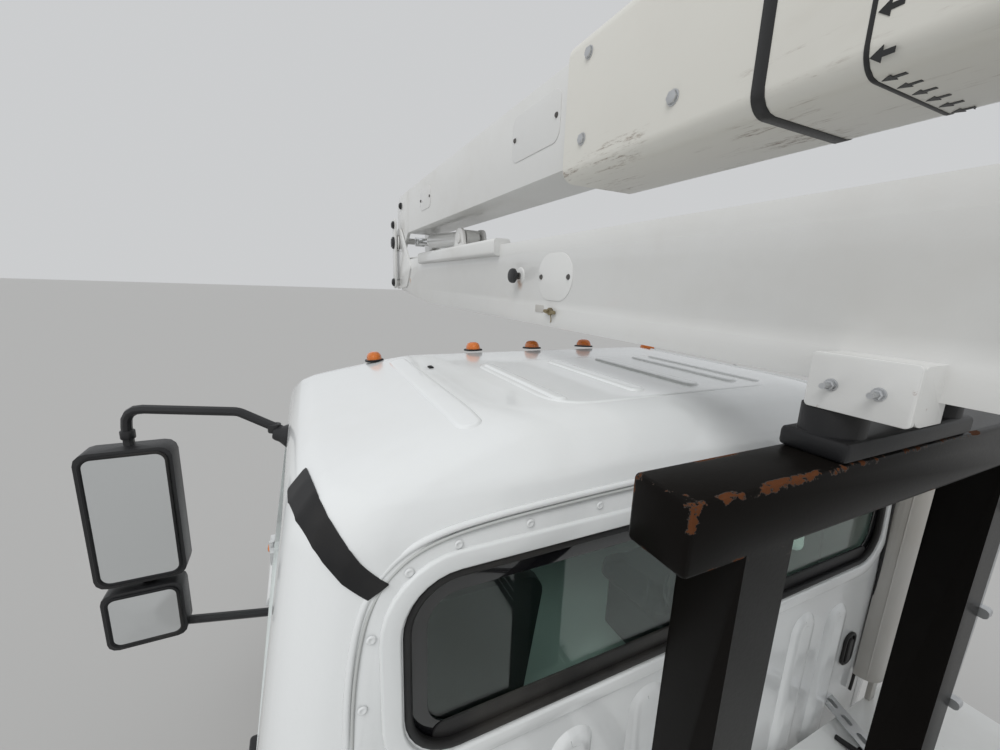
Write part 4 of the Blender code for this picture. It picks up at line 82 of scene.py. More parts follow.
eye_data = bpy.data.cameras.new("deck_camera")
eye_data.lens = LENS_MM
eye_data.sensor_width = 36
eye_data.clip_start = 0.02
eye_data.clip_end = 400
eye = bpy.data.objects.new("deck_camera", eye_data)
bpy.context.scene.collection.objects.link(eye)
turn = Matrix((TO_RIGHT, TO_TOP, TO_BACK)).transposed()
eye.matrix_world = Matrix.Translation(EYE) @ turn.to_4x4()
bpy.context.scene.camera = eye
print("lens", LENS_MM, "mm, field", round(math.degrees(eye_data.angle)), "degrees")

# %% [markdown]
# ## Floor and light
#
# The day of the picture was overcast, so light comes from everywhere and shadows are faint. A
# wide sky does nearly all of it, and one broad soft lamp from the left adds a little shape.
# The sky that the camera, the gloss and the glass see is a plain pale tone, and the floor is a
# large square whose edge is far out.

# %% Make the floor and the light
FLOOR_HALF = 150
SKY_LIGHT = 0.66
SKY_SEEN = 0.62
LAMP_STRENGTH = 1.5
FLOOR_TONE = (0.44, 0.435, 0.425, 1)

bpy.ops.object.select_all(action="DESELECT")
bpy.ops.mesh.primitive_plane_add(size=2 * FLOOR_HALF, location=(0, 0, 0))
floor = bpy.context.object
floor.name = "floor"
ground = bpy.data.materials.new("pale_ground")
ground.use_nodes = True
ground_nodes = ground.node_tree.nodes
ground_grain = ground_nodes.new("ShaderNodeTexNoise")
ground_grain.inputs["Scale"].default_value = 0.9
ground_tone = ground_nodes.new("ShaderNodeMix")
ground_tone.data_type = "RGBA"
ground_tone.inputs[6].default_value = tuple(c * 0.94 for c in FLOOR_TONE)
ground_tone.inputs[7].default_value = tuple(c * 1.06 for c in FLOOR_TONE)
ground.node_tree.links.new(ground_grain.outputs[0], ground_tone.inputs[0])
ground.node_tree.links.new(ground_tone.outputs[2], ground_nodes["Principled BSDF"].inputs["Base Color"])
ground_nodes["Principled BSDF"].inputs["Roughness"].default_value = 0.85
floor.data.materials.append(ground)
floor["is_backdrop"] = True

world = bpy.data.worlds.new("overcast")
bpy.context.scene.world = world
world.use_nodes = True
sky_nodes = world.node_tree.nodes
sky_links = world.node_tree.links
rays = sky_nodes.new("ShaderNodeLightPath")
seen = sky_nodes.new("ShaderNodeMath")
seen.operation = "MAXIMUM"
sky_links.new(rays.outputs["Is Camera Ray"], seen.inputs[0])
sky_links.new(rays.outputs["Is Transmission Ray"], seen.inputs[1])
pale = sky_nodes.new("ShaderNodeBackground")
pale.inputs["Color"].default_value = (0.97, 0.985, 1.0, 1)
pale.inputs["Strength"].default_value = SKY_SEEN
lit = sky_nodes["Background"]
lit.inputs["Color"].default_value = (0.96, 0.98, 1.0, 1)
lit.inputs["Strength"].default_value = SKY_LIGHT
either = sky_nodes.new("ShaderNodeMixShader")
sky_links.new(seen.outputs[0], either.inputs[0])
sky_links.new(lit.outputs[0], either.inputs[1])
sky_links.new(pale.outputs[0], either.inputs[2])
sky_links.new(either.outputs[0], sky_nodes["World Output"].inputs["Surface"])

lamp_data = bpy.data.lights.new("soft_sun", "SUN")
lamp_data.energy = LAMP_STRENGTH
lamp_data.angle = math.radians(35)
lamp = bpy.data.objects.new("soft_sun", lamp_data)
lamp.visible_glossy = False
lamp.rotation_euler = (math.radians(-24), math.radians(34), 0)
bpy.context.scene.collection.objects.link(lamp)
bpy.context.scene.view_settings.view_transform = "Standard"
print("floor", 2 * FLOOR_HALF, "m wide, sky light", SKY_LIGHT)

# %% [markdown]
# ## Finishes from nodes
#
# Every finish is a small network of nodes. Wired one by one they are hard to read, so a
# `Signal` wraps one socket and lets Python's operators add the Math nodes, and a `Finish` is
# one material that makes any other node from its type, its settings and its inputs. Patterns
# read object coordinates: every piece sits at the origin, so they are metres on the truck.

# %% Signals and finishes
class Signal:
    def __init__(self, finish, socket):
        self.finish = finish
        self.socket = socket

    def __add__(self, other):
        return self.finish.maths("ADD", self, other)

    def __radd__(self, other):
        return self.finish.maths("ADD", other, self)

    def __sub__(self, other):
        return self.finish.maths("SUBTRACT", self, other)

    def __rsub__(self, other):
        return self.finish.maths("SUBTRACT", other, self)

    def __mul__(self, other):
        return self.finish.maths("MULTIPLY", self, other)

    def __rmul__(self, other):
        return self.finish.maths("MULTIPLY", other, self)

    def __abs__(self):
        return self.finish.maths("ABSOLUTE", self)

    def least(self, other):
        return self.finish.maths("MINIMUM", self, other)

    def most(self, other):
        return self.finish.maths("MAXIMUM", self, other)

    def ramp(self, low, high):
        """0 below low and 1 above high, with a soft step between. It falls where low is the larger."""
        settings = {"interpolation_type": "SMOOTHSTEP"}
        return self.finish.node("ShaderNodeMapRange", settings, {0: self, 1: low, 2: high})


class Finish:
    """One material, whose Principled shader is set by name."""

    def __init__(self, name, **sockets):
        self.material = bpy.data.materials.new(name)
        self.material.use_nodes = True
        self.tree = self.material.node_tree
        self.shader = self.tree.nodes["Principled BSDF"]
        self.place = self.node("ShaderNodeTexCoord", output="Object")
        self.set(**sockets)

    def node(self, kind, settings=None, inputs=None, output=0):
        made = self.tree.nodes.new(kind)
        for name, value in (settings or {}).items():
            setattr(made, name, value)
        for name, value in (inputs or {}).items():
            self.feed(made.inputs[name], value)
        return Signal(self, made.outputs[output])

    def feed(self, socket, value):
        if isinstance(value, Signal):
            self.tree.links.new(value.socket, socket)
        elif socket.type == "RGBA" and len(value) == 3:
            socket.default_value = (*value, 1)
        else:
            socket.default_value = value

    def set(self, **sockets):
        for name, value in sockets.items():
            self.feed(self.shader.inputs[name.replace("_", " ")], value)

    def maths(self, operation, *values):
        return self.node("ShaderNodeMath", {"operation": operation}, dict(enumerate(values)))

    def mix(self, share, low, high):
        """Between two colours, by a share from 0 to 1."""
        settings = {"data_type": "RGBA"}
        return self.node("ShaderNodeMix", settings, {0: share, 6: low, 7: high}, 2)

    def across(self, axis):
        """One coordinate, 0 to 2 for x to z, in metres."""
        return self.node("ShaderNodeSeparateXYZ", None, {0: self.place}, axis)

    def stretched(self, x=1, y=1, z=1):
        """The coordinates with each axis scaled, so that a pattern gets long or short along it."""
        return self.node("ShaderNodeMapping", None, {"Vector": self.place, "Scale": (x, y, z)})

    def noise(self, scale, detail=3, roughness=0.55, at=None):
        inputs = {"Vector": at or self.place, "Scale": scale, "Detail": detail, "Roughness": roughness}
        return self.node("ShaderNodeTexNoise", None, inputs)

    def cells(self, scale, at=None):
        """How far each place is from the middle of the nearest cell."""
        inputs = {"Vector": at or self.place, "Scale": scale}
        return self.node("ShaderNodeTexVoronoi", None, inputs, "Distance")

    def bump(self, height, depth, strength=1.0):
        """Relief of this depth in metres, where height is from 0 to 1."""
        inputs = {"Height": height, "Distance": depth, "Strength": strength}
        self.set(Normal=self.node("ShaderNodeBump", None, inputs))


print("operators ready")

# %% [markdown]
# ## Paint
#
# White fleet paint is a colour under a clear coat. Three things keep it from looking like
# plastic: a faint orange-peel ripple from the spray gun, road dust that gathers low down and
# in broad cloudy patches, and tiny chips with rust in them. All three are noise at different
# scales. The same recipe, with other numbers, does the chassis black and the boom's gelcoat.

# %% Mix the paints
DUST = (0.40, 0.36, 0.30)
RUST = (0.19, 0.065, 0.022)


def dusty(finish, colour, amount, top_z=1.1):
    """The colour with road dust on it: much of it below top_z, and a thin cloudy veil above."""
    cloud = finish.noise(1.7, 5, 0.62)
    low = finish.across(2).ramp(top_z, 0.25)
    veil = (cloud.ramp(0.42, 0.80) * 0.35 + low * cloud.ramp(0.30, 0.62)) * amount
    return finish.mix(veil.least(1), colour, DUST), veil


def chipped(finish, colour, amount):
    """The colour with small rusty chips. The amount is the share of places that have any."""
    where = finish.noise(0.9, 3, 0.6).ramp(0.68 - amount, 0.74 - amount * 0.6)
    spots = finish.cells(26, finish.stretched(1, 1, 0.6)).ramp(0.085, 0.035)
    ragged = finish.noise(90, 4, 0.7).ramp(0.46, 0.56)
    mask = where * spots * ragged
    return finish.mix(mask, colour, RUST), mask


def white_paint(name, colour, dust=0.5, chips=0.10, rough=0.26, top_z=1.1, weeps=()):
    finish = Finish(name, Coat_Weight=0.65, Coat_Roughness=0.06, Specular_IOR_Level=0.5)
    dirty, veil = dusty(finish, colour, dust, top_z)
    worn, mask = chipped(finish, dirty, chips)
    for y, z, long in weeps:
        # A rusty run below a fitting: narrow along Y, and fading on its way down.
        wander = (finish.noise(30, 3, 0.6) - 0.5) * 0.012
        run = abs(finish.across(1) - y + wander).ramp(0.026, 0.002)
        fall = finish.across(2).ramp(z + 0.012, z - 0.004) * finish.across(2).ramp(z - long, z - 0.01)
        worn = finish.mix((run * fall * 0.75).least(1), worn, (0.42, 0.22, 0.11))
    finish.set(Base_Color=worn, Roughness=(veil * 0.4 + mask * 0.5 + rough).least(0.9))
    ripple = finish.noise(190, 2, 0.4) * 0.5 + finish.noise(22, 2, 0.5) * 0.5
    finish.bump(ripple - mask * 0.8, 0.0006, 0.35)
    return finish.material


WHITE = white_paint("cab_white", (0.76, 0.775, 0.775), 0.30, 0.06, 0.22)
# Column: y, z, length of each rusty run on the boom.
WEEPS = ((-1.640, 2.858, 0.042), (-3.46, 2.86, 0.05))
BOOM_WHITE = white_paint("boom_white", (0.68, 0.68, 0.665), 0.55, 0.14, 0.34, 1.1, WEEPS)
BODY_WHITE = white_paint("body_white", (0.72, 0.73, 0.72), 0.75, 0.12, 0.30)
print("white paints:", WHITE.name, BOOM_WHITE.name, BODY_WHITE.name)

# %% [markdown]
# ## Black steel, and bare metal
#
# The boom rest is thick black enamel on square tube. It has worn through along one edge and
# at the end cap, where rust shows with a pale dusty rim. Rust is rougher and a little higher
# than the paint. The chassis is the same steel in a duller black, under more dust.

# %% Mix the blacks and the metals
BEAM_Y, BEAM_Z = -0.4988, 2.5472


def beam_wear(finish, patch):
    """Rust along the boom rest's beam: on its long edges and on the rim of its left end."""
    across_y, across_z = abs(finish.across(1) - BEAM_Y), abs(finish.across(2) - BEAM_Z)
    long_edge = across_y.least(across_z).ramp(0.032, 0.050)
    end_rim = across_y.most(across_z).ramp(0.034, 0.050) * finish.across(0).ramp(0.490, 0.524)
    ragged = finish.noise(11, 6, 0.75).ramp(0.44, 0.62)
    beam_only = finish.across(2).ramp(2.470, 2.500) * 0.85 + 0.15
    # Most of it lies along the left half of the beam, where things have rubbed the edge.
    rubbed = finish.across(0).ramp(0.10, 0.24) * 0.16 + 0.36
    return patch * 0.42 + long_edge.most(end_rim) * ragged * rubbed * beam_only


def black_steel(name, colour, rust=0.5, dust=0.4, rough=0.32, beam=False):
    finish = Finish(name, Specular_IOR_Level=0.05 if beam else 0.5)
    dirty, veil = dusty(finish, colour, dust)
    patch = finish.noise(5.5, 6, 0.68)
    if beam:
        patch = beam_wear(finish, patch)
    grain = finish.noise(160, 3, 0.7)
    mask = patch.ramp(0.70 - rust * 0.12, 0.76 - rust * 0.12)
    rim = patch.ramp(0.66 - rust * 0.12, 0.70 - rust * 0.12) - mask
    rusty = finish.mix(grain, tuple(c * 0.45 for c in RUST), (0.100, 0.040, 0.020))
    paint = finish.mix(rim * 0.5, dirty, (0.10, 0.085, 0.075))
    finish.set(
        Base_Color=finish.mix(mask, paint, rusty),
        Roughness=(mask * 0.5 + veil * 0.3 + rough + grain * 0.08).least(0.95),
    )
    finish.bump(mask * 0.6 + grain * 0.25, 0.0009, 0.5)
    return finish.material


def bare_metal(name, colour, rough=0.35, spots=0.3):
    finish = Finish(name, Metallic=1.0)
    stain = finish.noise(14, 4, 0.6)
    grain = finish.noise(240, 2, 0.6)
    dull = finish.mix(stain.ramp(0.50, 0.78) * spots, colour, (0.20, 0.18, 0.16))
    finish.set(Base_Color=dull, Roughness=stain * 0.18 + grain * 0.12 + rough)
    finish.bump(grain, 0.0003, 0.3)
    return finish.material


REST_BLACK = black_steel("rest_black", (0.0060, 0.0052, 0.0046), 1.9, 0.0, 0.26, True)
FRAME_BLACK = black_steel("frame_black", (0.020, 0.020, 0.021), 0.45, 1.0, 0.45)
ZINC = bare_metal("zinc_plated", (0.62, 0.63, 0.64), 0.30, 0.25)
ALUMINIUM = bare_metal("mill_aluminium", (0.70, 0.71, 0.72), 0.30, 0.35)
CHROME = bare_metal("chromed_rod", (0.80, 0.81, 0.82), 0.04, 0.0)
CAST = bare_metal("oily_cast_steel", (0.16, 0.155, 0.15), 0.42, 0.6)
print("metals:", ZINC.name, ALUMINIUM.name, CHROME.name, CAST.name)

# %% [markdown]
# ## Rubber, plastic, glass and lenses
#
# Tyre rubber is dark grey and picks up dust in its low places. Moulded plastic has a fine
# leathery grain. Window glass is a thin green-tinted solid, and since light has to reach the
# seats, a shadow ray passes it as through tinted film. Lamps are deep-coloured clear lenses.

# %% Mix the soft and the clear finishes
def rubber(name, colour, dust=0.5, rough=0.62):
    finish = Finish(name, Specular_IOR_Level=0.35)
    dirty, veil = dusty(finish, colour, dust, 0.9)
    finish.set(Base_Color=dirty, Roughness=(veil * 0.3 + rough).least(0.95))
    finish.bump(finish.noise(260, 3, 0.6), 0.0006, 0.4)
    return finish.material


def plastic(name, colour, rough=0.42, grain=0.5, scale=420):
    finish = Finish(name, Specular_IOR_Level=0.45)
    faded = finish.mix(finish.noise(3.1, 4, 0.6) * 0.5, colour, tuple(c * 1.7 + 0.01 for c in colour))
    leather = finish.cells(scale)
    finish.set(Base_Color=faded, Roughness=leather * 0.15 + rough)
    finish.bump(leather, 0.0005, grain)
    return finish.material


def window_glass(name, tint, seen_through=0.82):
    finish = Finish(name, Base_Color=tint, Transmission_Weight=1.0, IOR=1.45)
    film = tuple(c * seen_through for c in tint)
    passing = finish.node("ShaderNodeBsdfTransparent", None, {"Color": film})
    shadow = finish.node("ShaderNodeLightPath", output="Is Shadow Ray")
    finish.set(Roughness=finish.noise(2.6, 4, 0.6).ramp(0.50, 0.80) * 0.05)
    solid = Signal(finish, finish.shader.outputs[0])
    both = finish.node("ShaderNodeMixShader", None, {0: shadow, 1: solid, 2: passing})
    finish.feed(finish.tree.nodes["Material Output"].inputs["Surface"], both)
    return finish.material


def lens(name, colour, clear=0.35, rough=0.12):
    finish = Finish(name, Transmission_Weight=clear, IOR=1.49, Coat_Weight=0.6, Coat_Roughness=0.05)
    dull = finish.noise(40, 3, 0.5)
    finish.set(Base_Color=finish.mix(dull * 0.25, colour, tuple(c * 0.6 for c in colour)))
    finish.set(Roughness=dull * 0.1 + rough)
    return finish.material


SEAL_RUBBER = rubber("seal_rubber", (0.010, 0.010, 0.011), 0.25, 0.48)
HOSE_RUBBER = rubber("hose_rubber", (0.014, 0.014, 0.015), 0.45, 0.52)
TRIM_BLACK = plastic("trim_black", (0.014, 0.014, 0.015), 0.34, 0.35)
DASH_GREY = plastic("dash_grey", (0.085, 0.087, 0.090), 0.55, 0.8, 300)
GLASS = window_glass("tinted_glass", (0.66, 0.80, 0.74))
AMBER = lens("amber_lens", (0.90, 0.22, 0.01))
RED = lens("red_lens", (0.55, 0.01, 0.008))
CLEAR = lens("clear_lens", (0.92, 0.93, 0.93), 0.95, 0.02)
print("soft and clear finishes ready")

# %% [markdown]
# ## Gelcoat, cloth, wheels and mirrors
#
# The insulating boom section and the bucket are glass fibre under a creamy gelcoat. Branches
# and tie-downs have rubbed brown streaks along its lower corners, so the streaks are noise
# drawn out along the boom, kept to a band just above its lower face. The mirrors' glass is a
# metal with almost no roughness, and seat cloth is a small weave of two crossed waves.

# %% Mix the gelcoat, the cloth, the wheel paint and the mirror
SCUFF = (0.17, 0.105, 0.065)


def gelcoat(name, colour, scuff_low, scuff_high, scuffed=1.0):
    finish = Finish(name, Coat_Weight=0.35, Coat_Roughness=0.18, Specular_IOR_Level=0.5)
    dirty, veil = dusty(finish, colour, 0.35, 0.5)
    height = finish.across(2)
    streaks = finish.noise(34, 5, 0.72, finish.stretched(1.0, 0.10, 1.5)).ramp(0.50, 0.64)
    fine = finish.noise(150, 4, 0.7, finish.stretched(1.0, 0.22, 1.0)).ramp(0.42, 0.66)
    band = height.ramp(scuff_high, (scuff_low + scuff_high) / 2) * height.ramp(scuff_low - 0.02, scuff_low)
    broken = finish.noise(3.4, 3, 0.6).ramp(0.38, 0.56)
    worn = (streaks * fine * band * broken * scuffed).least(1)
    stain = finish.noise(5.0, 5, 0.66, finish.stretched(1.0, 0.35, 1.0)).ramp(0.56, 0.82) * 0.22
    tone = finish.mix(stain, dirty, (0.50, 0.45, 0.37))
    finish.set(Base_Color=finish.mix(worn, tone, SCUFF))
    finish.set(Roughness=(worn * 0.4 + veil * 0.2 + 0.36).least(0.9))
    finish.bump(finish.noise(70, 3, 0.5) * 0.6 - worn * 0.6, 0.0007, 0.3)
    return finish.material


def cloth(name, colour, pitch=900):
    finish = Finish(name, Roughness=0.9, Specular_IOR_Level=0.2, Sheen_Weight=0.25, Sheen_Roughness=0.5)
    warp = finish.maths("SINE", finish.across(0) * pitch + finish.across(1) * (pitch * 0.4))
    weft = finish.maths("SINE", finish.across(2) * pitch + finish.across(1) * (pitch * 0.7))
    weave = warp * weft * 0.5 + 0.5
    worn = finish.noise(4, 4, 0.6)
    pale = finish.mix(worn * 0.6, colour, tuple(c * 1.8 + 0.01 for c in colour))
    finish.set(Base_Color=finish.mix(weave * 0.20, pale, tuple(c * 0.6 for c in colour)))
    finish.bump(weave, 0.0002, 0.35)
    return finish.material


GELCOAT = gelcoat("boom_gelcoat", (0.70, 0.685, 0.63), 3.150, 3.262)
BUCKET_GEL = gelcoat("bucket_gelcoat", (0.69, 0.68, 0.64), 2.44, 2.60, 0.6)
SEAT_CLOTH = cloth("seat_cloth", (0.045, 0.047, 0.052))
SEAT_VINYL = plastic("seat_vinyl", (0.030, 0.031, 0.034), 0.48, 0.6, 520)
SILVER_PAINT = white_paint("wheel_silver", (0.42, 0.43, 0.44), 0.9, 0.30, 0.34, 1.2)
STACK_GREY = white_paint("heat_shield", (0.47, 0.455, 0.43), 1.2, 0.06, 0.50)
BRASS = bare_metal("old_brass", (0.36, 0.30, 0.19), 0.40, 0.9)
MIRROR = Finish("mirror_glass", Metallic=1.0, Base_Color=(0.80, 0.82, 0.83), Roughness=0.02).material
GLOSS_TONE = (0.006, 0.006, 0.007)
GLOSS_BLACK = Finish("gloss_black", Base_Color=GLOSS_TONE, Roughness=0.08, Coat_Weight=0.5).material
MARK_BLACK = plastic("mark_black", (0.012, 0.012, 0.012), 0.38, 0.2, 300)
SEALANT = plastic("seam_sealant", (0.42, 0.43, 0.42), 0.55, 0.3, 260)
# Painted shade: a near-black finish for plates that stand in for the shade in a gap or a slot. It is also the
# black of the headlamp backings.
SHADE_AND_BLACK = Finish("painted_shade_and_black", Base_Color=(0.010, 0.010, 0.010), Roughness=0.8).material
print("gelcoat, cloth, wheel paint and mirror ready")

# %% [markdown]
# ## Dress the solids
#
# A solid arrives as loose triangles with flat shading. A copy of it, with its points merged,
# can be shaded smooth up to an angle and gets a fine bevel, so that its edges catch light as
# pressed or welded steel does. The copy stands for the solid, and the solid stays in place
# for the simulation. Solids that need neither keep their mesh and only take a finish.

# %% Helpers that dress a solid
def alone(piece=None):
    """Nothing is selected but this piece, so that an operator touches it only."""
    if bpy.context.object and bpy.context.object.mode != "OBJECT":
        bpy.ops.object.mode_set(mode="OBJECT")
    bpy.ops.object.select_all(action="DESELECT")
    if piece:
        piece.select_set(True)
        bpy.context.view_layer.objects.active = piece


def apply_modifier(piece, kind, **settings):
    alone(piece)
    modifier = piece.modifiers.new(kind.lower(), kind)
    for name, value in settings.items():
        setattr(modifier, name, value)
    bpy.ops.object.modifier_apply(modifier=modifier.name)


def soften(piece, width, segments=3, sharper=50):
    """Bevels the edges that turn by more than this many degrees."""
    limit = math.radians(sharper)
    apply_modifier(piece, "BEVEL", width=width, segments=segments, limit_method="ANGLE", angle_limit=limit)


def shade(piece, angle=32):
    alone(piece)
    bpy.ops.object.shade_smooth_by_angle(angle=math.radians(angle))


def dress(node, material, bevel):
    """A merged, bevelled and smoothly shaded copy that stands for the solid."""
    alone(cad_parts[node])
    bpy.ops.object.duplicate(linked=False)
    piece = bpy.context.object
    piece.name = f"{node}_dressed"
    piece.data.materials.clear()
    piece.data.materials.append(material)
    bpy.ops.object.mode_set(mode="EDIT")
    bpy.ops.mesh.select_all(action="SELECT")
    bpy.ops.mesh.remove_doubles(threshold=0.0002)
    bpy.ops.mesh.customdata_custom_splitnormals_clear()
    bpy.ops.mesh.dissolve_limited(angle_limit=math.radians(0.6))
    bpy.ops.object.mode_set(mode="OBJECT")
    if bevel:
        soften(piece, bevel, 2, 38)
    shade(piece)
    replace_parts(piece, node)


def dressed(node):
    return bpy.data.objects[f"{node}_dressed"]


print("helpers ready")

# %% Smooth copies with a fine bevel
# Column: finish, bevel in metres, solids.
DRESSED = (
    (WHITE, 0.004, ("cab_shell",)),
    (WHITE, 0.003, ("cab_door_left", "cab_door_right")),
    (WHITE, 0.006, ("hood",)),
    (BODY_WHITE, 0.003, ("service_body",)),
    (BODY_WHITE, 0.004, ("toolbox_door_left", "toolbox_door_right", "pedestal")),
    (BOOM_WHITE, 0.004, ("turret", "lower_boom", "upper_boom_steel")),
    (BOOM_WHITE, 0.003, ("boom_tip", "elbow_link", "bucket_bracket")),
    (BOOM_WHITE, 0.002, ("lower_cylinder_barrel", "elbow_cylinder_barrel")),
    (REST_BLACK, 0.004, ("boom_rest",)),
    (TRIM_BLACK, 0.006, ("front_bumper",)),
    (TRIM_BLACK, 0.003, ("mirror_left", "mirror_right", "grille")),
    (FRAME_BLACK, 0.003, ("ladder_frame", "front_axle", "rear_axle")),
    (FRAME_BLACK, 0.004, ("battery_box",)),
    (CAST, 0.010, ("engine",)),
    (CAST, 0.002, ("levelling_sprocket", "steering_knuckle_left", "steering_knuckle_right")),
    (ALUMINIUM, 0.006, ("fuel_tank",)),
    (DASH_GREY, 0.004, ("dashboard",)),
    (SEAL_RUBBER, 0.003, ("rest_pad",)),
    (CHROME, 0.001, ("lower_cylinder_rod", "elbow_cylinder_rod")),
    (GELCOAT, 0.0, ("upper_boom_fibreglass",)),
    (BUCKET_GEL, 0.003, ("bucket",)),
    (STACK_GREY, 0.004, ("exhaust_stack",)),
    (SILVER_PAINT, 0.003, ("front_rim_left", "front_rim_right", "rear_rim_left", "rear_rim_right")),
)
for material, bevel, nodes in DRESSED:
    for node in nodes:
        dress(node, material, bevel)
for node in ("windscreen", "rear_window", "door_glass_left", "door_glass_right"):
    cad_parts[node].data.materials[0] = GLASS
for node in ("headlamp_left", "headlamp_right"):
    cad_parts[node].data.materials[0] = CLEAR
print("dressed", sum(len(row[2]) for row in DRESSED), "solids")

# %% [markdown]
# ## A small tool chest
#
# Nearly every added piece starts in one of four ways: a plate with rounded corners, a bar
# between two points, an outline spun round an axis, or a tube along a path. Each helper is a
# few operators, as by hand. `put` stands a piece on a surface, `fit` gives it its finish, its
# shading and the body that it rides on, and `twin` copies it with a mesh of its own.

# %% Helpers that pick and tidy
SIDES = (("left", 1), ("right", -1))
UP = (0, 0, 1)
BACK = (0, 1, 0)


def settle(piece):
    """Place, turn and scale go into the mesh, so that the object sits at the origin."""
    alone(piece)
    bpy.ops.object.transform_apply(location=True, rotation=True, scale=True)


def done():
    bpy.ops.object.mode_set(mode="OBJECT")


def edit_all(piece):
    """Edit mode, with everything selected."""
    alone(piece)
    bpy.ops.object.mode_set(mode="EDIT")
    bpy.ops.mesh.select_all(action="SELECT")


def outward(piece):
    edit_all(piece)
    bpy.ops.mesh.remove_doubles(threshold=0.00005)
    bpy.ops.mesh.normals_make_consistent(inside=False)
    done()


def pick(piece, test):
    """Edit mode, with the faces selected for which test(centre, normal) holds."""
    alone(piece)
    bpy.ops.object.mode_set(mode="EDIT")
    bpy.ops.mesh.select_mode(type="FACE")
    bpy.ops.mesh.select_all(action="DESELECT")
    done()
    for face in piece.data.polygons:
        face.select = bool(test(face.center, face.normal))
    bpy.ops.object.mode_set(mode="EDIT")


def flat(name, width, height):
    """A square of this size on XY, round the origin."""
    alone()
    bpy.ops.mesh.primitive_plane_add(size=1)
    piece = bpy.context.object
    piece.name = name
    piece.scale = (width, height, 1)
    settle(piece)
    return piece


def chain(name, path):
    """Edges through these places, drawn by extruding one point. It stays in edit mode."""
    piece = flat(name, 0.001, 0.001)
    edit_all(piece)
    bpy.ops.mesh.select_mode(type="VERT")
    bpy.ops.mesh.select_all(action="SELECT")
    bpy.ops.mesh.merge(type="CENTER")
    here = Vector((0, 0, 0))
    for number, place in enumerate(path):
        step = Vector(place) - here
        here = Vector(place)
        if number:
            bpy.ops.mesh.extrude_region_move(TRANSFORM_OT_translate={"value": step})
        else:
            bpy.ops.transform.translate(value=step)
    return piece


def put(piece, at, facing=UP, up=BACK):
    """Stands the piece at a place, with its Z towards facing and its Y near up."""
    z = Vector(facing).normalized()
    x = Vector(up).cross(z).normalized()
    piece.matrix_world = Matrix.Translation(at) @ Matrix((x, z.cross(x), z)).transposed().to_4x4()
    settle(piece)
    return piece


def together(name, parts):
    """Several small parts of one finish become one piece."""
    alone(parts[0])
    for part in parts:
        part.select_set(True)
    bpy.ops.object.join()
    bpy.context.object.name = name
    return bpy.context.object


def fit(piece, material, body, angle=35):
    piece.data.materials.clear()
    piece.data.materials.append(material)
    shade(piece, angle)
    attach(piece, body)
    return piece


print("sides:", [name for name, _ in SIDES])

# %% Helpers that make a piece
def plate(name, width, height, thick, corner=0.0, edge=0.0, steps=5):
    """Flat on XY round the origin, rising to thick, with round corners and a soft upper edge."""
    piece = flat(name, width, height)
    edit_all(piece)
    if corner:
        bpy.ops.mesh.bevel(offset=corner, segments=steps, affect="VERTICES")
    bpy.ops.mesh.select_all(action="SELECT")
    bpy.ops.mesh.extrude_region_move(TRANSFORM_OT_translate={"value": (0, 0, thick)})
    done()
    outward(piece)
    if edge:
        pick(piece, lambda centre, normal: normal.z > 0.9)
        bpy.ops.mesh.bevel(offset=edge, segments=3)
        done()
    return piece


def bar(name, start, end, radius, sides=20, edge=0.0, squash=1.0):
    start, end = Vector(start), Vector(end)
    alone()
    bpy.ops.mesh.primitive_cylinder_add(vertices=sides, radius=radius, depth=(end - start).length)
    piece = bpy.context.object
    piece.name = name
    piece.scale = (1, squash, 1)
    settle(piece)
    if edge:
        pick(piece, lambda centre, normal: abs(normal.z) > 0.9)
        bpy.ops.mesh.bevel(offset=edge, segments=2)
        done()
    aim = (end - start).normalized()
    return put(piece, (start + end) / 2, aim, BACK if abs(aim.y) < 0.9 else UP)


def turned(name, outline, steps=24):
    """Spun round Z, from an outline of (radius, height) points."""
    piece = chain(name, [(radius, 0, height) for radius, height in outline])
    bpy.ops.mesh.select_all(action="SELECT")
    bpy.ops.mesh.spin(steps=steps, angle=2 * math.pi, center=(0, 0, 0), axis=UP)
    done()
    outward(piece)
    return piece


def hose(name, points, radius, smooth=True):
    """A tube along a path. The curve becomes a mesh, with closed ends."""
    curve = bpy.data.curves.new(name, "CURVE")
    curve.dimensions = "3D"
    curve.bevel_depth = radius
    curve.bevel_resolution = 4
    curve.use_fill_caps = True
    curve.resolution_u = 8
    line = curve.splines.new("NURBS" if smooth else "POLY")
    line.points.add(len(points) - 1)
    for point, where in zip(line.points, points):
        point.co = (*where, 1)
    if smooth:
        line.order_u = min(4, len(points))
        line.use_endpoint_u = True
    piece = bpy.data.objects.new(name, curve)
    bpy.context.scene.collection.objects.link(piece)
    alone(piece)
    bpy.ops.object.convert(target="MESH")
    piece = bpy.context.object
    outward(piece)
    return piece


def ring(name, width, height, corner, lip, thick, soft=0.35, steps=8):
    """A round-cornered frame: both faces of a plate are inset, and the middles are bridged."""
    piece = plate(name, width, height, thick, corner=corner, steps=steps)
    pick(piece, lambda centre, normal: abs(normal.z) > 0.9)
    bpy.ops.mesh.inset(thickness=lip, use_individual=True)
    bpy.ops.mesh.bridge_edge_loops()
    done()
    outward(piece)
    if soft:
        soften(piece, thick * soft)
    return piece


def twin(piece, name):
    """A copy with its own mesh."""
    alone(piece)
    bpy.ops.object.duplicate(linked=False)
    bpy.context.object.name = name
    return bpy.context.object


print("tool chest ready")

# %% Helpers that measure the truck
def box_of(node):
    """The middle and the size of a solid's box."""
    low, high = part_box(node)
    return (low + high) / 2, high - low


def on_skin(node, start, towards):
    """Where a ray meets a dressed solid, and the way that its surface faces there."""
    found, where, normal, _ = dressed(node).ray_cast(start, towards)
    if not found:
        raise ValueError(f"nothing of {node} lies that way from {start}")
    return where, normal


print("cab box", [round(c, 3) for c in box_of("cab_shell")[1]])

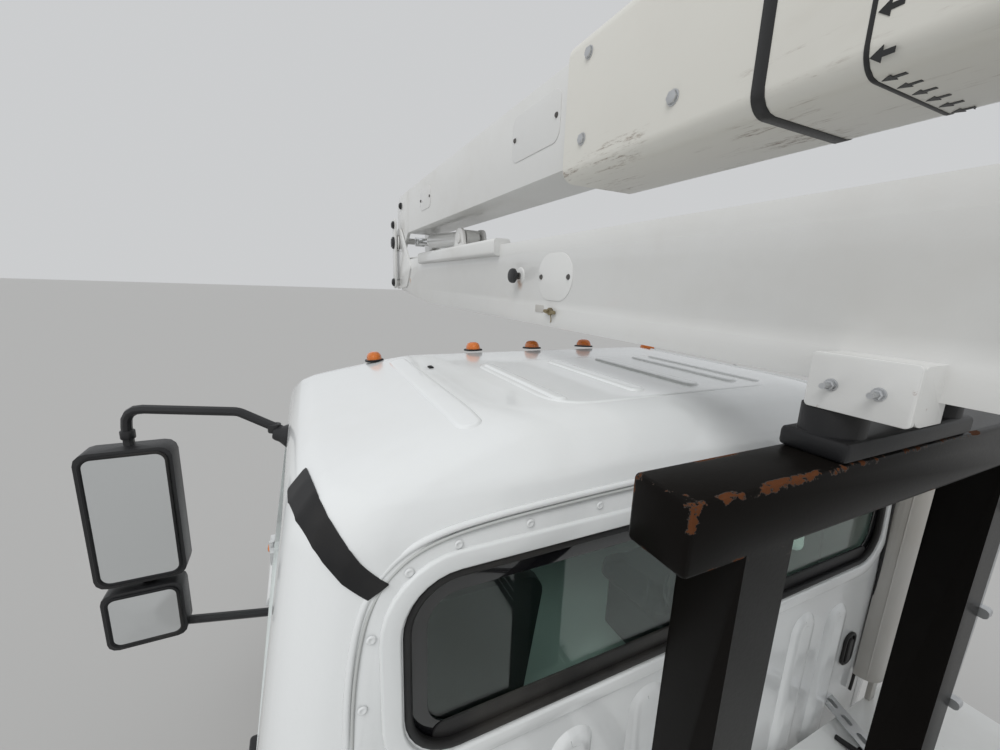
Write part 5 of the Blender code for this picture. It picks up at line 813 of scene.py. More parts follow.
# %% [markdown]
# ## Marker lights on the roof
#
# Five amber marker lights stand in a row along the roof's front edge, three in the middle and
# one near each end. Each is a bullet-shaped lens on a thin black gasket. An outline spun round
# an axis gives the lens, which is then stretched fore and aft.

# %% Roof marker lights
MARKER_Y = -1.765
# Column: x, height of the roof there.
MARKERS = ((-0.68, 2.545), (-0.28, 2.572), (0.0, 2.572), (0.28, 2.572), (0.68, 2.545))
LENS_OUTLINE = [(0, 0.030), (0.012, 0.029), (0.021, 0.024), (0.026, 0.014), (0.0275, 0.004), (0.0275, 0)]

lenses = []
gaskets = []
for number, (x, z) in enumerate(MARKERS):
    off_roof = (x * 0.12, -0.10, 1)
    dome = turned(f"marker_lens_{number}", LENS_OUTLINE)
    dome.scale = (1, 1.55, 1)
    settle(dome)
    lenses.append(put(dome, (x, MARKER_Y, z + 0.003), off_roof))
    foot = plate(f"marker_gasket_{number}", 0.064, 0.096, 0.007, corner=0.030, edge=0.003, steps=6)
    gaskets.append(put(foot, (x, MARKER_Y, z - 0.003), off_roof))
fit(together("marker_lenses", lenses), AMBER, "chassis", 60)
fit(together("marker_gaskets", gaskets), SEAL_RUBBER, "chassis")
print("marker lights:", len(MARKERS))

# %% [markdown]
# ## The rear window's edge
#
# The rear glass has a black printed border that hides its glue, wide at the sides and narrow
# above. Outside it the sheet steel swells into a rounded white bead all round the opening. A
# plate with round corners gives both: its faces are inset and bridged, which leaves a ring.

# %% Rear window border, seal, sill and bead
# The way that the cab's back wall faces: it leans forward a little as it rises.
WALL_LEAN = (0, 1, 0.031)
WALL_Y = -0.7525
window_mid, window_size = box_of("rear_window")
window_x, _, window_z = window_mid
glass_y = window_mid.y + window_size.y / 2


def window_ring(name, wider, corner, lip, thick, soft, y, facing, material, angle=35):
    """A frame round the rear window, wider than its glass by this much."""
    piece = ring(name, window_size.x + wider, window_size.z + wider, corner, lip, thick, soft)
    fit(put(piece, (window_x, y, window_z), facing, UP), material, "chassis", angle)


window_ring("rear_glass_border", -0.002, 0.098, 0.040, 0.004, 0.1, glass_y + 0.0005, BACK, GLOSS_BLACK)
window_ring("rear_window_seal", 0.008, 0.104, 0.016, 0.017, 0.35, glass_y + 0.001, WALL_LEAN, SEAL_RUBBER, 50)
window_ring("rear_window_bead", 0.086, 0.140, 0.037, 0.013, 0.42, WALL_Y, WALL_LEAN, WHITE, 60)
sill = plate("rear_window_sill", window_size.x - 0.10, 0.042, 0.006, corner=0.020, edge=0.002)
sill_z = window_z - window_size.z / 2 + 0.028
fit(put(sill, (window_x, glass_y + 0.003, sill_z), WALL_LEAN, UP), SEAL_RUBBER, "chassis")
print("window", [round(c, 3) for c in window_size])

# %% [markdown]
# ## Pressed into the sheet
#
# A flat sheet drums, so the roof and the back wall have long beads pressed into them. Each one
# starts as a flat plate with round ends, which is bisected into rows. A Shrinkwrap modifier
# projects the rows onto the cab, and three insets with a little depth then raise the middle,
# so that the bead swells out of the sheet with a soft rim.

# %% Make a pressing
ROW = 0.04
SUNK = 0.0006


def bisect_rows(length, normal):
    for number in range(1, int(length / ROW)):
        bpy.ops.mesh.select_all(action="SELECT")
        place = [c * (number * ROW - length / 2) for c in normal]
        bpy.ops.mesh.bisect(plane_co=place, plane_no=normal)


def pressing(name, width, length, corner, at, facing, up, rise, rim):
    piece = flat(name, width, length)
    edit_all(piece)
    bpy.ops.mesh.bevel(offset=corner, segments=7, affect="VERTICES")
    bisect_rows(length, BACK)
    bisect_rows(width, (1, 0, 0))
    done()
    put(piece, at, facing, up)
    along = "use_project_z" if facing == UP else "use_project_y"
    settings = {along: True, "use_negative_direction": True, "use_positive_direction": True}
    skin = dressed("cab_shell")
    apply_modifier(piece, "SHRINKWRAP", target=skin, wrap_method="PROJECT", offset=-SUNK, **settings)
    edit_all(piece)
    for thickness, depth in ((rim * 0.5, rise * 0.5 + SUNK), (rim * 0.5, rise * 0.4), (rim, rise * 0.1)):
        bpy.ops.mesh.inset(thickness=thickness, depth=depth)
    done()
    return piece


print("rows every", ROW, "m")

# %% Roof and back wall beads
# Column: centre x, centre y, width, length, corner, rise.
ROOF_BEADS = (
    (0.0, -1.205, 0.80, 0.560, 0.100, 0.0030),
    (0.362, -1.195, 0.040, 0.470, 0.019, 0.0078),
    (0.105, -1.205, 0.058, 0.460, 0.028, 0.0088),
    (-0.105, -1.205, 0.058, 0.460, 0.028, 0.0088),
    (-0.280, -1.205, 0.050, 0.450, 0.024, 0.0088),
    (-0.362, -1.195, 0.030, 0.470, 0.014, 0.0078),
    (0.617, -1.290, 0.062, 0.760, 0.030, 0.0050),
    (-0.617, -1.290, 0.062, 0.760, 0.030, 0.0050),
)
# Column: centre x, high z. All start at the same low z.
BACK_RIBS = (
    (0.64, 1.86), (0.43, 1.89), (0.21, 1.91), (-0.01, 1.91), (-0.22, 1.91), (-0.43, 1.89), (-0.62, 1.86),
)
RIB_LOW_Z = 1.27

beads = []
for number, (x, y, width, length, corner, rise) in enumerate(ROOF_BEADS):
    beads.append(pressing(f"roof_bead_{number}", width, length, corner, (x, y, 2.70), UP, BACK, rise, 0.006))
fit(together("roof_beads", beads), WHITE, "chassis", 50)
ribs = []
for number, (x, high_z) in enumerate(BACK_RIBS):
    at = (x, -0.60, (RIB_LOW_Z + high_z) / 2)
    ribs.append(pressing(f"back_rib_{number}", 0.115, high_z - RIB_LOW_Z, 0.055, at, BACK, UP, 0.013, 0.018))
fit(together("back_wall_ribs", ribs), WHITE, "chassis", 60)
print("beads:", len(ROOF_BEADS), "ribs:", len(BACK_RIBS))

# %% [markdown]
# ## Seams of the cab
#
# The roof is a moulded cap that laps over the back wall. Its lower edge is a rounded lip that
# arches over the window and runs down both rear corners, with a thin line of sealant under
# it and a row of shallow spot-weld dimples between it and the window's bead. A path drawn once
# gives the lip and the sealant on both sides.

# %% Roof cap lip, sealant and dimples
# From the left foot of the seam up to the middle of the roof.
SEAM = (
    (0.900, -0.7455, 1.30),
    (0.900, -0.7455, 1.64),
    (0.893, -0.7500, 2.08),
    (0.882, -0.7545, 2.20),
    (0.866, -0.7585, 2.29),
    (0.842, -0.7590, 2.350),
    (0.800, -0.7585, 2.396),
    (0.740, -0.7575, 2.422),
    (0.620, -0.7590, 2.434),
    (0.30, -0.7600, 2.440),
    (0.0, -0.7600, 2.441),
)
SEAM_BOTH = [*SEAM, *((-x, y, z) for x, y, z in reversed(SEAM[:-1]))]
# The lip and the sealant part where the seam turns over into the roof.
SEAM_TURN_Z = 2.1
# Column: x, z.
DIMPLES = (
    (0.872, 1.80),
    (0.872, 1.98),
    (0.868, 2.14),
    (0.850, 2.268),
    (0.786, 2.372),
    (0.700, 2.402),
    (0.560, 2.410),
    (0.400, 2.414),
    (0.200, 2.416),
)
DIMPLE_OUTLINE = [(0, 0.0003), (0.0035, 0.0004), (0.0050, 0.0013), (0.0068, 0.0009), (0.0085, -0.0008)]

lip_path = [(x * 1.006, y - 0.001, z + 0.007 * (z > SEAM_TURN_Z)) for x, y, z in SEAM_BOTH]
fit(hose("roof_cap_lip", lip_path, 0.0065), WHITE, "chassis", 60)
line_path = [(x * 0.996, y + 0.003, z - 0.003 * (z > SEAM_TURN_Z)) for x, y, z in SEAM_BOTH]
fit(hose("seam_sealant", line_path, 0.0032), SEALANT, "chassis", 60)
dimples = []
for number, (x, z) in enumerate(DIMPLES):
    y = -0.7400 - max(0.0, z - 1.985) * WALL_LEAN[2]
    for side_name, side in SIDES:
        dimple = turned(f"spot_dimple_{number}_{side_name}", DIMPLE_OUTLINE, 14)
        dimples.append(put(dimple, (side * x, y, z), WALL_LEAN, UP))
fit(together("spot_weld_dimples", dimples), WHITE, "chassis", 70)
print("seam", len(SEAM), "points, dimples", len(dimples))

# %% [markdown]
# ## Rubber bands over the rear corners
#
# A black rubber band crosses each upper rear corner of the cab, aslant. Its two long edges are
# drawn as chains of points and bridged, subdivision rounds the strip, and a Shrinkwrap
# modifier lays it on the cab before it gets its thickness.

# %% Corner bands
# Both edges of the left band, from the roof's side to the back wall.
BAND_TOP = (
    (0.930, -0.984, 2.482),
    (0.921, -0.915, 2.484),
    (0.912, -0.856, 2.479),
    (0.895, -0.804, 2.455),
    (0.877, -0.775, 2.429),
    (0.858, -0.762, 2.399),
    (0.839, -0.756, 2.379),
    (0.819, -0.754, 2.361),
)
BAND_LOW = (
    (0.962, -0.984, 2.437),
    (0.954, -0.915, 2.442),
    (0.944, -0.851, 2.444),
    (0.923, -0.801, 2.419),
    (0.907, -0.783, 2.396),
    (0.893, -0.771, 2.378),
    (0.872, -0.762, 2.356),
    (0.852, -0.757, 2.339),
)
BAND_THICK = 0.004


def band(name, upper, lower):
    """A strip between two rows of places that lies on the cab."""
    edges = []
    for part_name, path in ((name, upper), (f"{name}_edge", lower)):
        edges.append(chain(part_name, path))
        done()
    piece = together(name, edges)
    edit_all(piece)
    bpy.ops.mesh.bridge_edge_loops()
    done()
    apply_modifier(piece, "SUBSURF", levels=3, render_levels=3, boundary_smooth="PRESERVE_CORNERS")
    settings = {"wrap_method": "NEAREST_SURFACEPOINT", "wrap_mode": "ABOVE_SURFACE", "offset": 0.0018}
    apply_modifier(piece, "SHRINKWRAP", target=dressed("cab_shell"), **settings)
    apply_modifier(piece, "SOLIDIFY", thickness=BAND_THICK, offset=0)
    outward(piece)
    soften(piece, BAND_THICK * 0.3, 2)
    return piece


for side_name, side in SIDES:
    rows = [[(side * x, y, z) for x, y, z in row] for row in (BAND_TOP, BAND_LOW)]
    fit(band(f"corner_band_{side_name}", *rows), SEAL_RUBBER, "chassis")
print("bands", len(SIDES))

# %% [markdown]
# ## Mirrors
#
# Each side carries a tall flat mirror over a small convex one. The shells are in the frame, and
# the glass is added here: a thin plate with round corners, set in a rubber rim. The lower
# glass is domed a little, by extruding its face and drawing it in four times, because a convex
# mirror shows the floor and the cab smaller than the flat one does.

# %% Mirror glass and rims
# Column: name, centre x, centre z, width, height, corner, dome.
MIRROR_GLASSES = (
    ("main", 1.4475, 2.0625, 0.213, 0.433, 0.030, 0.0),
    ("convex", 1.455, 1.700, 0.190, 0.180, 0.026, 0.010),
)
MIRROR_FACE_Y = -1.745
DOME_SHARES = (0.40, 0.28, 0.20, 0.12)


def mirror_glass(name, width, height, corner, dome):
    glass = plate(name, width, height, 0.003, corner=corner, steps=8)
    pick(glass, lambda centre, normal: normal.z > 0.9)
    for share in DOME_SHARES if dome else ():
        bpy.ops.mesh.extrude_region_move(TRANSFORM_OT_translate={"value": (0, 0, dome * share)})
        bpy.ops.transform.resize(value=(0.72, 0.72, 1))
    done()
    return glass


for side_name, side in SIDES:
    for kind, x, z, width, height, corner, dome in MIRROR_GLASSES:
        glass = mirror_glass(f"mirror_{kind}_glass_{side_name}", width, height, corner, dome)
        put(glass, (side * x, MIRROR_FACE_Y - 0.0005, z), BACK, UP)
        fit(glass, MIRROR, f"door_{side_name}", 60)
        rim_size = (width + 0.012, height + 0.012, corner + 0.006)
        rim = ring(f"mirror_{kind}_rim_{side_name}", *rim_size, 0.010, 0.008, 0.4)
        put(rim, (side * x, MIRROR_FACE_Y - 0.001, z), BACK, UP)
        fit(rim, SEAL_RUBBER, f"door_{side_name}", 60)
print("mirrors", [row[0] for row in MIRROR_GLASSES])

# %% Clamps and boots of the mirror arms
CLAMP_PLACES = ((1.445, -1.800, 2.330), (1.445, -1.800, 1.818), (1.02, -1.622, 2.362))
CLAMP_HALF = 0.014
BOOT_OUTLINE = [
    (0, 0.052), (0.019, 0.052), (0.022, 0.046), (0.026, 0.030), (0.036, 0.014), (0.041, 0.006), (0.041, 0),
]
for side_name, side in SIDES:
    clamps = []
    for number, (x, y, z) in enumerate(CLAMP_PLACES):
        ends = ((side * x, y, z - CLAMP_HALF), (side * x, y, z + CLAMP_HALF))
        clamps.append(bar(f"mirror_clamp_{number}_{side_name}", *ends, 0.020, 16, 0.003))
    boot = turned(f"mirror_boot_{side_name}", BOOT_OUTLINE, 20)
    clamps.append(put(boot, (side * 0.972, -1.600, 2.338), (side * 0.95, -0.25, 0.18)))
    fit(together(f"mirror_fittings_{side_name}", clamps), TRIM_BLACK, f"door_{side_name}")
print("clamps on each side:", len(CLAMP_PLACES))

# %% [markdown]
# ## Door handles and slots
#
# A door shows as a thin dark gap that runs round it, which is already in the frame, and a black
# pull handle in a round-cornered cup with a lock under it. The back wall has a small recessed
# grip beside the right corner, and the roof has a short slot, which is a dark plate painted as
# the shade inside it. All are plates and rings.

# %% Door handles and locks
HANDLE_Y = -1.190
handle_x = on_skin("cab_door_left", (1.6, HANDLE_Y, 1.60), (-1, 0, 0))[0].x
for side_name, side in SIDES:
    out = (side, 0, 0.02)
    cup = plate(f"door_handle_cup_{side_name}", 0.165, 0.075, 0.006, corner=0.030, edge=0.003)
    put(cup, (side * (handle_x - 0.002), HANDLE_Y, 1.585), out, UP)
    pull = plate(f"door_pull_{side_name}", 0.135, 0.030, 0.022, corner=0.014, edge=0.008)
    put(pull, (side * (handle_x + 0.003), HANDLE_Y, 1.592), out, UP)
    fit(together(f"door_handle_{side_name}", [cup, pull]), TRIM_BLACK, f"door_{side_name}")
    lock = turned(f"door_lock_{side_name}", [(0, 0.004), (0.010, 0.004), (0.0125, 0.002), (0.0125, 0)], 20)
    fit(put(lock, (side * (handle_x - 0.0005), HANDLE_Y, 1.520), out), ZINC, f"door_{side_name}")
print("door handles at x", round(handle_x, 3))

# %% The back wall's grip and the roof slot
GRIP_PLACE = (-0.747, -0.7405, 1.640)
grip_parts = [
    put(ring("back_handle_rim", 0.066, 0.128, 0.028, 0.010, 0.010, 0.4), GRIP_PLACE, BACK, UP),
    put(plate("back_handle_well", 0.056, 0.118, 0.003, corner=0.024), GRIP_PLACE, BACK, UP),
]
grip_bar = plate("back_handle_grip", 0.026, 0.094, 0.012, corner=0.012, edge=0.004)
grip_parts.append(put(grip_bar, (-0.741, -0.7385, 1.640), BACK, UP))
fit(together("back_handle", grip_parts), SEAL_RUBBER, "chassis")
# The roof slot is a dark plate: painted shade for the inside of the slot.
slot = plate("roof_slot_shade", 0.014, 0.030, 0.004, corner=0.003, edge=0.001)
fit(put(slot, (0.550, -1.455, 2.5695), (0.11, 0, 0.99), BACK), SHADE_AND_BLACK, "chassis")
print("grip parts:", len(grip_parts))

# %% [markdown]
# ## The insulating boom's marks
#
# A wide black band and a thin line ring the fibreglass section, and a row of arrows behind the
# line points forward. The rings are round-cornered frames a millimetre proud of the gelcoat.
# Each arrow is a thin plate whose front end is drawn out to a point.

# %% Black band and line
tube_mid, tube_size = box_of("upper_boom_fibreglass")
TUBE_X = tube_size.x / 2
TUBE_CORNER = 0.040


def boom_ring(name, y, width, proud):
    size = (tube_size.x + 2 * proud, tube_size.z + 2 * proud)
    hoop = ring(name, *size, TUBE_CORNER + proud, proud + 0.0015, width, 0)
    soften(hoop, proud * 0.4, 1, 60)
    put(hoop, (0, y - width / 2, tube_mid.z), BACK, UP)
    fit(hoop, MARK_BLACK, "upper_boom", 50)


boom_ring("boom_black_band", -0.722, 0.026, 0.0016)
boom_ring("boom_thin_line", -0.557, 0.007, 0.0010)
print("fibreglass section", [round(c, 3) for c in tube_size])

# %% Arrows
ARROW_Y = -0.528
ARROW_SINK = 0.0003
ARROW_LONG, ARROW_WIDE = 0.030, 0.024


def arrow(name):
    """Points along -Y: a shaft, whose front edge is widened and then drawn in to a tip."""
    piece = plate(name, ARROW_WIDE * 0.34, ARROW_LONG * 0.5, 0.0012)
    pick(piece, lambda centre, normal: normal.y < -0.9)
    for move, widen in ((0, 2.9), (-ARROW_LONG * 0.5, 0.02)):
        bpy.ops.mesh.extrude_region_move(TRANSFORM_OT_translate={"value": (0, move, 0)})
        bpy.ops.transform.resize(value=(widen, 1, 1))
    done()
    outward(piece)
    return piece


arrows = []
for number, z in enumerate((3.480, 3.420, 3.360, 3.300, 3.238, 3.180)):
    for side_name, side in SIDES:
        mark = arrow(f"arrow_{number}_{side_name}")
        arrows.append(put(mark, (side * (TUBE_X - ARROW_SINK), ARROW_Y, z), (side, 0, 0), BACK))
for number, x in enumerate((0.115, 0.069, 0.023, -0.023, -0.069, -0.115)):
    for way_name, way in (("low", -1), ("high", 1)):
        mark = arrow(f"arrow_{number}_{way_name}")
        z = tube_mid.z + way * (tube_size.z / 2 - ARROW_SINK)
        arrows.append(put(mark, (x, ARROW_Y, z), (0, 0, way), BACK))
fit(together("boom_arrows", arrows), MARK_BLACK, "upper_boom")
print("arrows:", len(arrows))

# %% [markdown]
# ## Bolts, washers and hatches on the booms
#
# A hexagon bolt is a short six-sided bar with its rim chamfered, on a washer spun from a flat
# outline, with the end of its thread standing out. One function makes it, and rows of places
# put it on. A hatch is a thin plate with round corners and two small screws.

# %% Bolts
def bolt(name, at, facing, across=0.024, tall=0.011, thread=0.0, washer=0.020):
    head = [(0, tall), (across * 0.42, tall), (across * 0.56, tall * 0.80), (across * 0.577, 0)]
    disc = [(0, 0.0025), (washer * 0.92, 0.0025), (washer, 0.0015), (washer, -0.001)]
    parts = [turned(f"{name}_washer", disc, 28), turned(f"{name}_head", head, 6)]
    if thread:
        rows = [(0, thread)]
        for turn_number in range(8):
            height = thread - (thread - tall * 0.7) * turn_number / 7
            rows.append((across * (0.30 if turn_number % 2 else 0.34), height))
        parts.append(turned(f"{name}_thread", rows, 16))
    return put(together(name, parts), at, facing, UP if abs(facing[2]) < 0.9 else BACK)


def bolts(name, rows, facing, body, **sizes):
    made = [bolt(f"{name}_{number}", place, facing, **sizes) for number, place in enumerate(rows)]
    fit(together(name, made), ZINC, body, 30)


# Column: y, z, on both sides of the fibreglass section.
GEL_BOLTS = ((-1.255, 3.480), (-0.925, 3.256), (-1.262, 3.262), (-0.925, 3.480))
for side_name, side in SIDES:
    rows = [(side * TUBE_X, y, z) for y, z in GEL_BOLTS]
    sizes = {"across": 0.026, "tall": 0.009, "washer": 0.017}
    bolts(f"gelcoat_bolts_{side_name}", rows, (side, 0, 0), "upper_boom", **sizes)
print("gelcoat bolts:", 2 * len(GEL_BOLTS))

# %% The saddle that rests on the pad
# The saddle's outer plate stands off its block by a thin gap. A dark plate behind it is painted shade for
# that gap.
SADDLE_Y, SADDLE_Z = -0.456, 2.7160
LEFTWARD = (1, 0, 0)
saddle_gap_shade = plate("saddle_gap_shade", 0.120, 0.066, 0.003, corner=0.006)
fit(put(saddle_gap_shade, (0.1990, SADDLE_Y, SADDLE_Z), LEFTWARD, UP), SHADE_AND_BLACK, "lower_boom")
saddle_face = plate("saddle_face", 0.132, 0.086, 0.009, corner=0.007, edge=0.0012)
fit(put(saddle_face, (0.2019, SADDLE_Y, SADDLE_Z), LEFTWARD, UP), BOOM_WHITE, "lower_boom")
rows = [(0.2108, y, 2.712) for y in (-0.489, -0.430)]
bolts("saddle_bolts", rows, LEFTWARD, "lower_boom", across=0.013, tall=0.008, thread=0.024, washer=0.0095)
print("saddle bolts:", len(rows))

# %% Hatches
# Column: name, x, y, z, width, height, corner, how far out the screws are, body.
HATCHES = (
    ("boom_hatch", 0.1388, -1.391, 2.873, 0.215, 0.158, 0.078, 0.085, "lower_boom"),
    ("upper_hatch", 0.1238, -1.610, 3.392, 0.345, 0.165, 0.040, 0.15, "upper_boom"),
    ("elbow_hatch", 0.1238, -3.08, 3.385, 0.26, 0.135, 0.045, 0.11, "upper_boom"),
)
HATCH_THICK = 0.0025
SCREW_OUTLINE = [(0, 0.0052), (0.0065, 0.0050), (0.0088, 0.0022), (0.0095, 0)]
for kind, x, y, z, width, height, corner, reach, body in HATCHES:
    for side_name, side in SIDES:
        name = f"{kind}_{side_name}"
        cover = plate(f"{name}_cover", width, height, HATCH_THICK, corner=corner, edge=0.001, steps=10)
        fit(put(cover, (side * x, y, z), (side, 0, 0), UP), BOOM_WHITE, body)
        screws = []
        for screw_x in (-reach, reach):
            screw = turned(f"{name}_screw", SCREW_OUTLINE, 14)
            screw.location = (screw_x, 0, HATCH_THICK - 0.0003)
            settle(screw)
            screws.append(screw)
        heads = put(together(f"{name}_screws", screws), (side * x, y, z), (side, 0, 0), UP)
        fit(heads, CAST, body, 30)
print("hatches:", 2 * len(HATCHES))

# %% The knob, the small plate and the fitting on the lower boom
BOOM_X = 0.139
KNOB_AT = (BOOM_X, -1.640, 2.877)
# Column: name, finish, outline, steps.
KNOB_PARTS = (
    ("knob_base", BOOM_WHITE, [(0, 0.005), (0.026, 0.005), (0.033, 0.002), (0.034, -0.001)], 28),
    ("knob_stem", CAST, [(0, 0.024), (0.008, 0.024), (0.008, 0.015), (0.013, 0.013), (0.013, 0.004)], 16),
    (
        "knob_grip",
        TRIM_BLACK,
        [
            (0, 0.046), (0.018, 0.046), (0.025, 0.043), (0.028, 0.038), (0.028, 0.028), (0.022, 0.023),
            (0, 0.022),
        ],
        14,
    ),
)
for name, material, outline, steps in KNOB_PARTS:
    fit(put(turned(name, outline, steps), KNOB_AT, LEFTWARD), material, "lower_boom")
tag = plate("boom_plate", 0.056, 0.026, 0.002, corner=0.002, edge=0.0006)
fit(put(tag, (BOOM_X - 0.0003, -1.480, 2.762), LEFTWARD, UP), STACK_GREY, "lower_boom")

FITTING_Z = 2.757
nut = turned("fitting_nut", [(0, 0.026), (0.006, 0.026), (0.007, 0.014), (0.013, 0.013), (0.013, 0.0)], 6)
put(nut, (BOOM_X - 0.001, -1.398, FITTING_Z), LEFTWARD)
arm_ends = ((BOOM_X + 0.009, -1.430, FITTING_Z), (BOOM_X + 0.009, -1.366, FITTING_Z - 0.002))
arms = bar("fitting_arms", *arm_ends, 0.0065, 12, edge=0.002)
# Column: how far off the boom, y, z.
WIRE_PATH = ((0.010, -1.392, 2.750), (0.008, -1.384, 2.738), (0.004, -1.390, 2.726), (0.001, -1.400, 2.720))
wire = hose("fitting_wire", [(BOOM_X + off, y, z) for off, y, z in WIRE_PATH], 0.0016)
fit(together("boom_fitting", [nut, arms, wire]), BRASS, "lower_boom")
print("knob parts:", len(KNOB_PARTS))

# %% [markdown]
# ## The elbow and its linkage
#
# At the elbow, thick end plates carry the pins. Each pin shows as a black cap held by a ring of
# small screws, and two thin levelling rods lie beside the cylinder. Hydraulic hoses come up
# through the turret and run along the deck under their clips.

# %% Pin caps and levelling rods
# Column: name, y, z, radius, finish, body, solids that the cap may sit on.
ELBOW_SOLIDS = ("lower_boom", "elbow_link", "upper_boom_steel")
PIN_CAPS = (
    ("elbow_cap_0_{}", -3.835, 3.150, 0.048, TRIM_BLACK, "lower_boom", ELBOW_SOLIDS),
    ("elbow_cap_1_{}", -3.835, 2.830, 0.032, TRIM_BLACK, "elbow_link", ELBOW_SOLIDS),
    ("elbow_cap_2_{}", -3.825, 3.290, 0.030, TRIM_BLACK, "elbow_link", ELBOW_SOLIDS),
    ("elbow_cap_3_{}", -3.805, 3.440, 0.026, TRIM_BLACK, "upper_boom", ELBOW_SOLIDS),
    ("turret_pivot_cap_{}", 2.750, 2.880, 0.060, CAST, "turret", ("turret", "lower_boom")),
    ("tip_pivot_cap_{}", 3.330, 3.340, 0.040, CAST, "upper_boom", ("boom_tip",)),
)
# Shares of the cap's radius, and heights in metres.
CAP_OUTLINE = ((0, 0.020), (0.50, 0.020), (0.58, 0.015), (0.90, 0.014), (1.0, 0.008), (1.0, -0.001))
CAP_SCREW = ((0, 0.0180), (0.10, 0.0175), (0.12, 0.0145), (0.12, 0.010))
CAP_SCREWS = 4


def pin_cap(name, radius):
    parts = [turned(f"{name}_cap", [(share * radius, height) for share, height in CAP_OUTLINE], 28)]
    for number in range(CAP_SCREWS):
        angle = math.radians(45 + 90 * number)
        screw = turned(f"{name}_screw_{number}", [(share * radius, height) for share, height in CAP_SCREW], 8)
        screw.location = (radius * 0.76 * math.cos(angle), radius * 0.76 * math.sin(angle), 0)
        settle(screw)
        parts.append(screw)
    return together(name, parts)


def outside_x(y, z, names):
    """How far out the outermost of these dressed solids is on the left side, or 0 if none is met."""
    hits = [dressed(name).ray_cast((0.6, y, z), (-1, 0, 0)) for name in names]
    return max([0.0, *(where.x for found, where, _, _ in hits if found)])


for name, y, z, radius, material, body, solids in PIN_CAPS:
    x = outside_x(y, z, solids)
    print(name.format("x"), round(x, 4))
    for side_name, side in SIDES:
        cap = put(pin_cap(name.format(side_name), radius), (side * x, y, z), (side, 0, 0), UP)
        fit(cap, material, body, 30)
for side_name, side in SIDES:
    ends = ((side * 0.105, -3.62, 3.020), (side * 0.105, -2.35, 3.022))
    fit(bar(f"levelling_rod_{side_name}", *ends, 0.0075, 12), BOOM_WHITE, "lower_boom")
print("pin caps:", 2 * len(PIN_CAPS))

# %% Hydraulic hoses at the turret and on the deck
def bundle(name, routes, radius, body):
    runs = [hose(f"{name}_{number}", route, radius) for number, route in enumerate(routes)]
    fit(together(name, runs), HOSE_RUBBER, body, 60)


turret_routes = []
for x in (-0.060, -0.020, 0.020, 0.060):
    low_end = [(x, 2.610, 1.80), (x, 2.640, 2.10), (x * 1.3, 2.82, 2.35)]
    turret_routes.append([*low_end, (x * 1.2, 2.90, 2.60), (x, 2.86, 2.76)])
bundle("turret_hoses", turret_routes, 0.011, "turret")
deck_routes = []
for x in (0.06, 0.09, 0.12):
    route = [(x, 2.16, 1.432), (x, 1.2, 1.430), (x + 0.02, 0.2, 1.430), (x, -0.40, 1.430), (x, -0.66, 1.42)]
    deck_routes.append(route)
bundle("deck_hoses", deck_routes, 0.010, "chassis")
clips = []
for number, y in enumerate((1.9, 1.2, 0.5, -0.2)):
    clip = plate(f"hose_clip_{number}", 0.13, 0.030, 0.018, corner=0.008, edge=0.005)
    clips.append(put(clip, (0.095, y, 1.4145)))
fit(together("hose_clips", clips), ZINC, "chassis")
print("hoses:", len(turret_routes) + len(deck_routes))

# %% [markdown]
# ## Fittings on the boom rest
#
# Down the back of the right post run a grey conduit and two black hoses, held by clamps, and
# a slotted aluminium bracket lies on the deck beside it. The foot plates are bolted down. The
# bracket's long holes are cut by a row of round-ended plates in one Boolean.

# %% Conduit, clamps and foot bolts
CONDUIT = (
    (-0.594, -0.470, 2.470),
    (-0.594, -0.462, 2.40),
    (-0.594, -0.462, 2.10),
    (-0.592, -0.464, 1.80),
    (-0.590, -0.470, 1.55),
    (-0.600, -0.480, 1.47),
    (-0.640, -0.500, 1.438),
    (-0.80, -0.56, 1.432),
    (-0.95, -0.64, 1.432),
)
# How many of the conduit's points the two hoses follow.
SHARED = 6
fit(hose("rest_conduit", CONDUIT, 0.0125), ZINC, "chassis", 60)
routes = []
for number in range(2):
    beside = [(x - 0.001 * number, y - 0.028 - 0.022 * number, z) for x, y, z in CONDUIT[:SHARED]]
    routes.append([*beside, (-0.60, -0.53 - 0.02 * number, 1.44), (-0.60, -0.66, 1.42)])
bundle("rest_hoses", routes, 0.0085, "chassis")
cuffs = []
for number, z in enumerate((2.36, 2.08, 1.80, 1.56)):
    cuff = plate(f"conduit_clamp_{number}", 0.112, 0.026, 0.030, corner=0.010, edge=0.008)
    cuffs.append(put(cuff, (-0.5795, -0.487, z), (-1, 0, 0), UP))
fit(together("conduit_clamps", cuffs), ZINC, "chassis")
POST_Y = -0.4988
FOOT_REACHES = (-0.085, 0.085)
feet = [(x + dx, POST_Y + dy, 1.4275) for x in (0.360, -0.520) for dx in FOOT_REACHES for dy in FOOT_REACHES]
bolts("rest_foot_bolts", feet, UP, "chassis", across=0.019, tall=0.010, washer=0.016)
print("clamps:", len(cuffs), "foot bolts:", len(feet))

# %% Slotted deck bracket
STRIP_LONG, STRIP_WIDE, STRIP_THICK = 0.300, 0.052, 0.004
SLOTS = 5
STRIP_UP = (0.42, 1, 0)
strip = plate("deck_bracket_flat", STRIP_WIDE, STRIP_LONG, STRIP_THICK, corner=0.004)
cutters = []
for number in range(SLOTS):
    size = (STRIP_WIDE * 0.36, STRIP_LONG / SLOTS * 0.62, STRIP_THICK * 4)
    cutter = plate(f"deck_bracket_hole_{number}", *size, corner=STRIP_WIDE * 0.175, steps=6)
    cutter.location = (0, (number + 0.5) * STRIP_LONG / SLOTS - STRIP_LONG / 2, -STRIP_THICK)
    settle(cutter)
    cutters.append(cutter)
cutter = together("deck_bracket_holes", cutters)
apply_modifier(strip, "BOOLEAN", operation="DIFFERENCE", object=cutter, solver="EXACT")
bpy.data.objects.remove(cutter)
put(strip, (-0.665, -0.665, 1.446), UP, STRIP_UP)
web = plate("deck_bracket_web", 0.004, STRIP_LONG, 0.030, corner=0.001)
put(web, (-0.690, -0.655, 1.4165), UP, STRIP_UP)
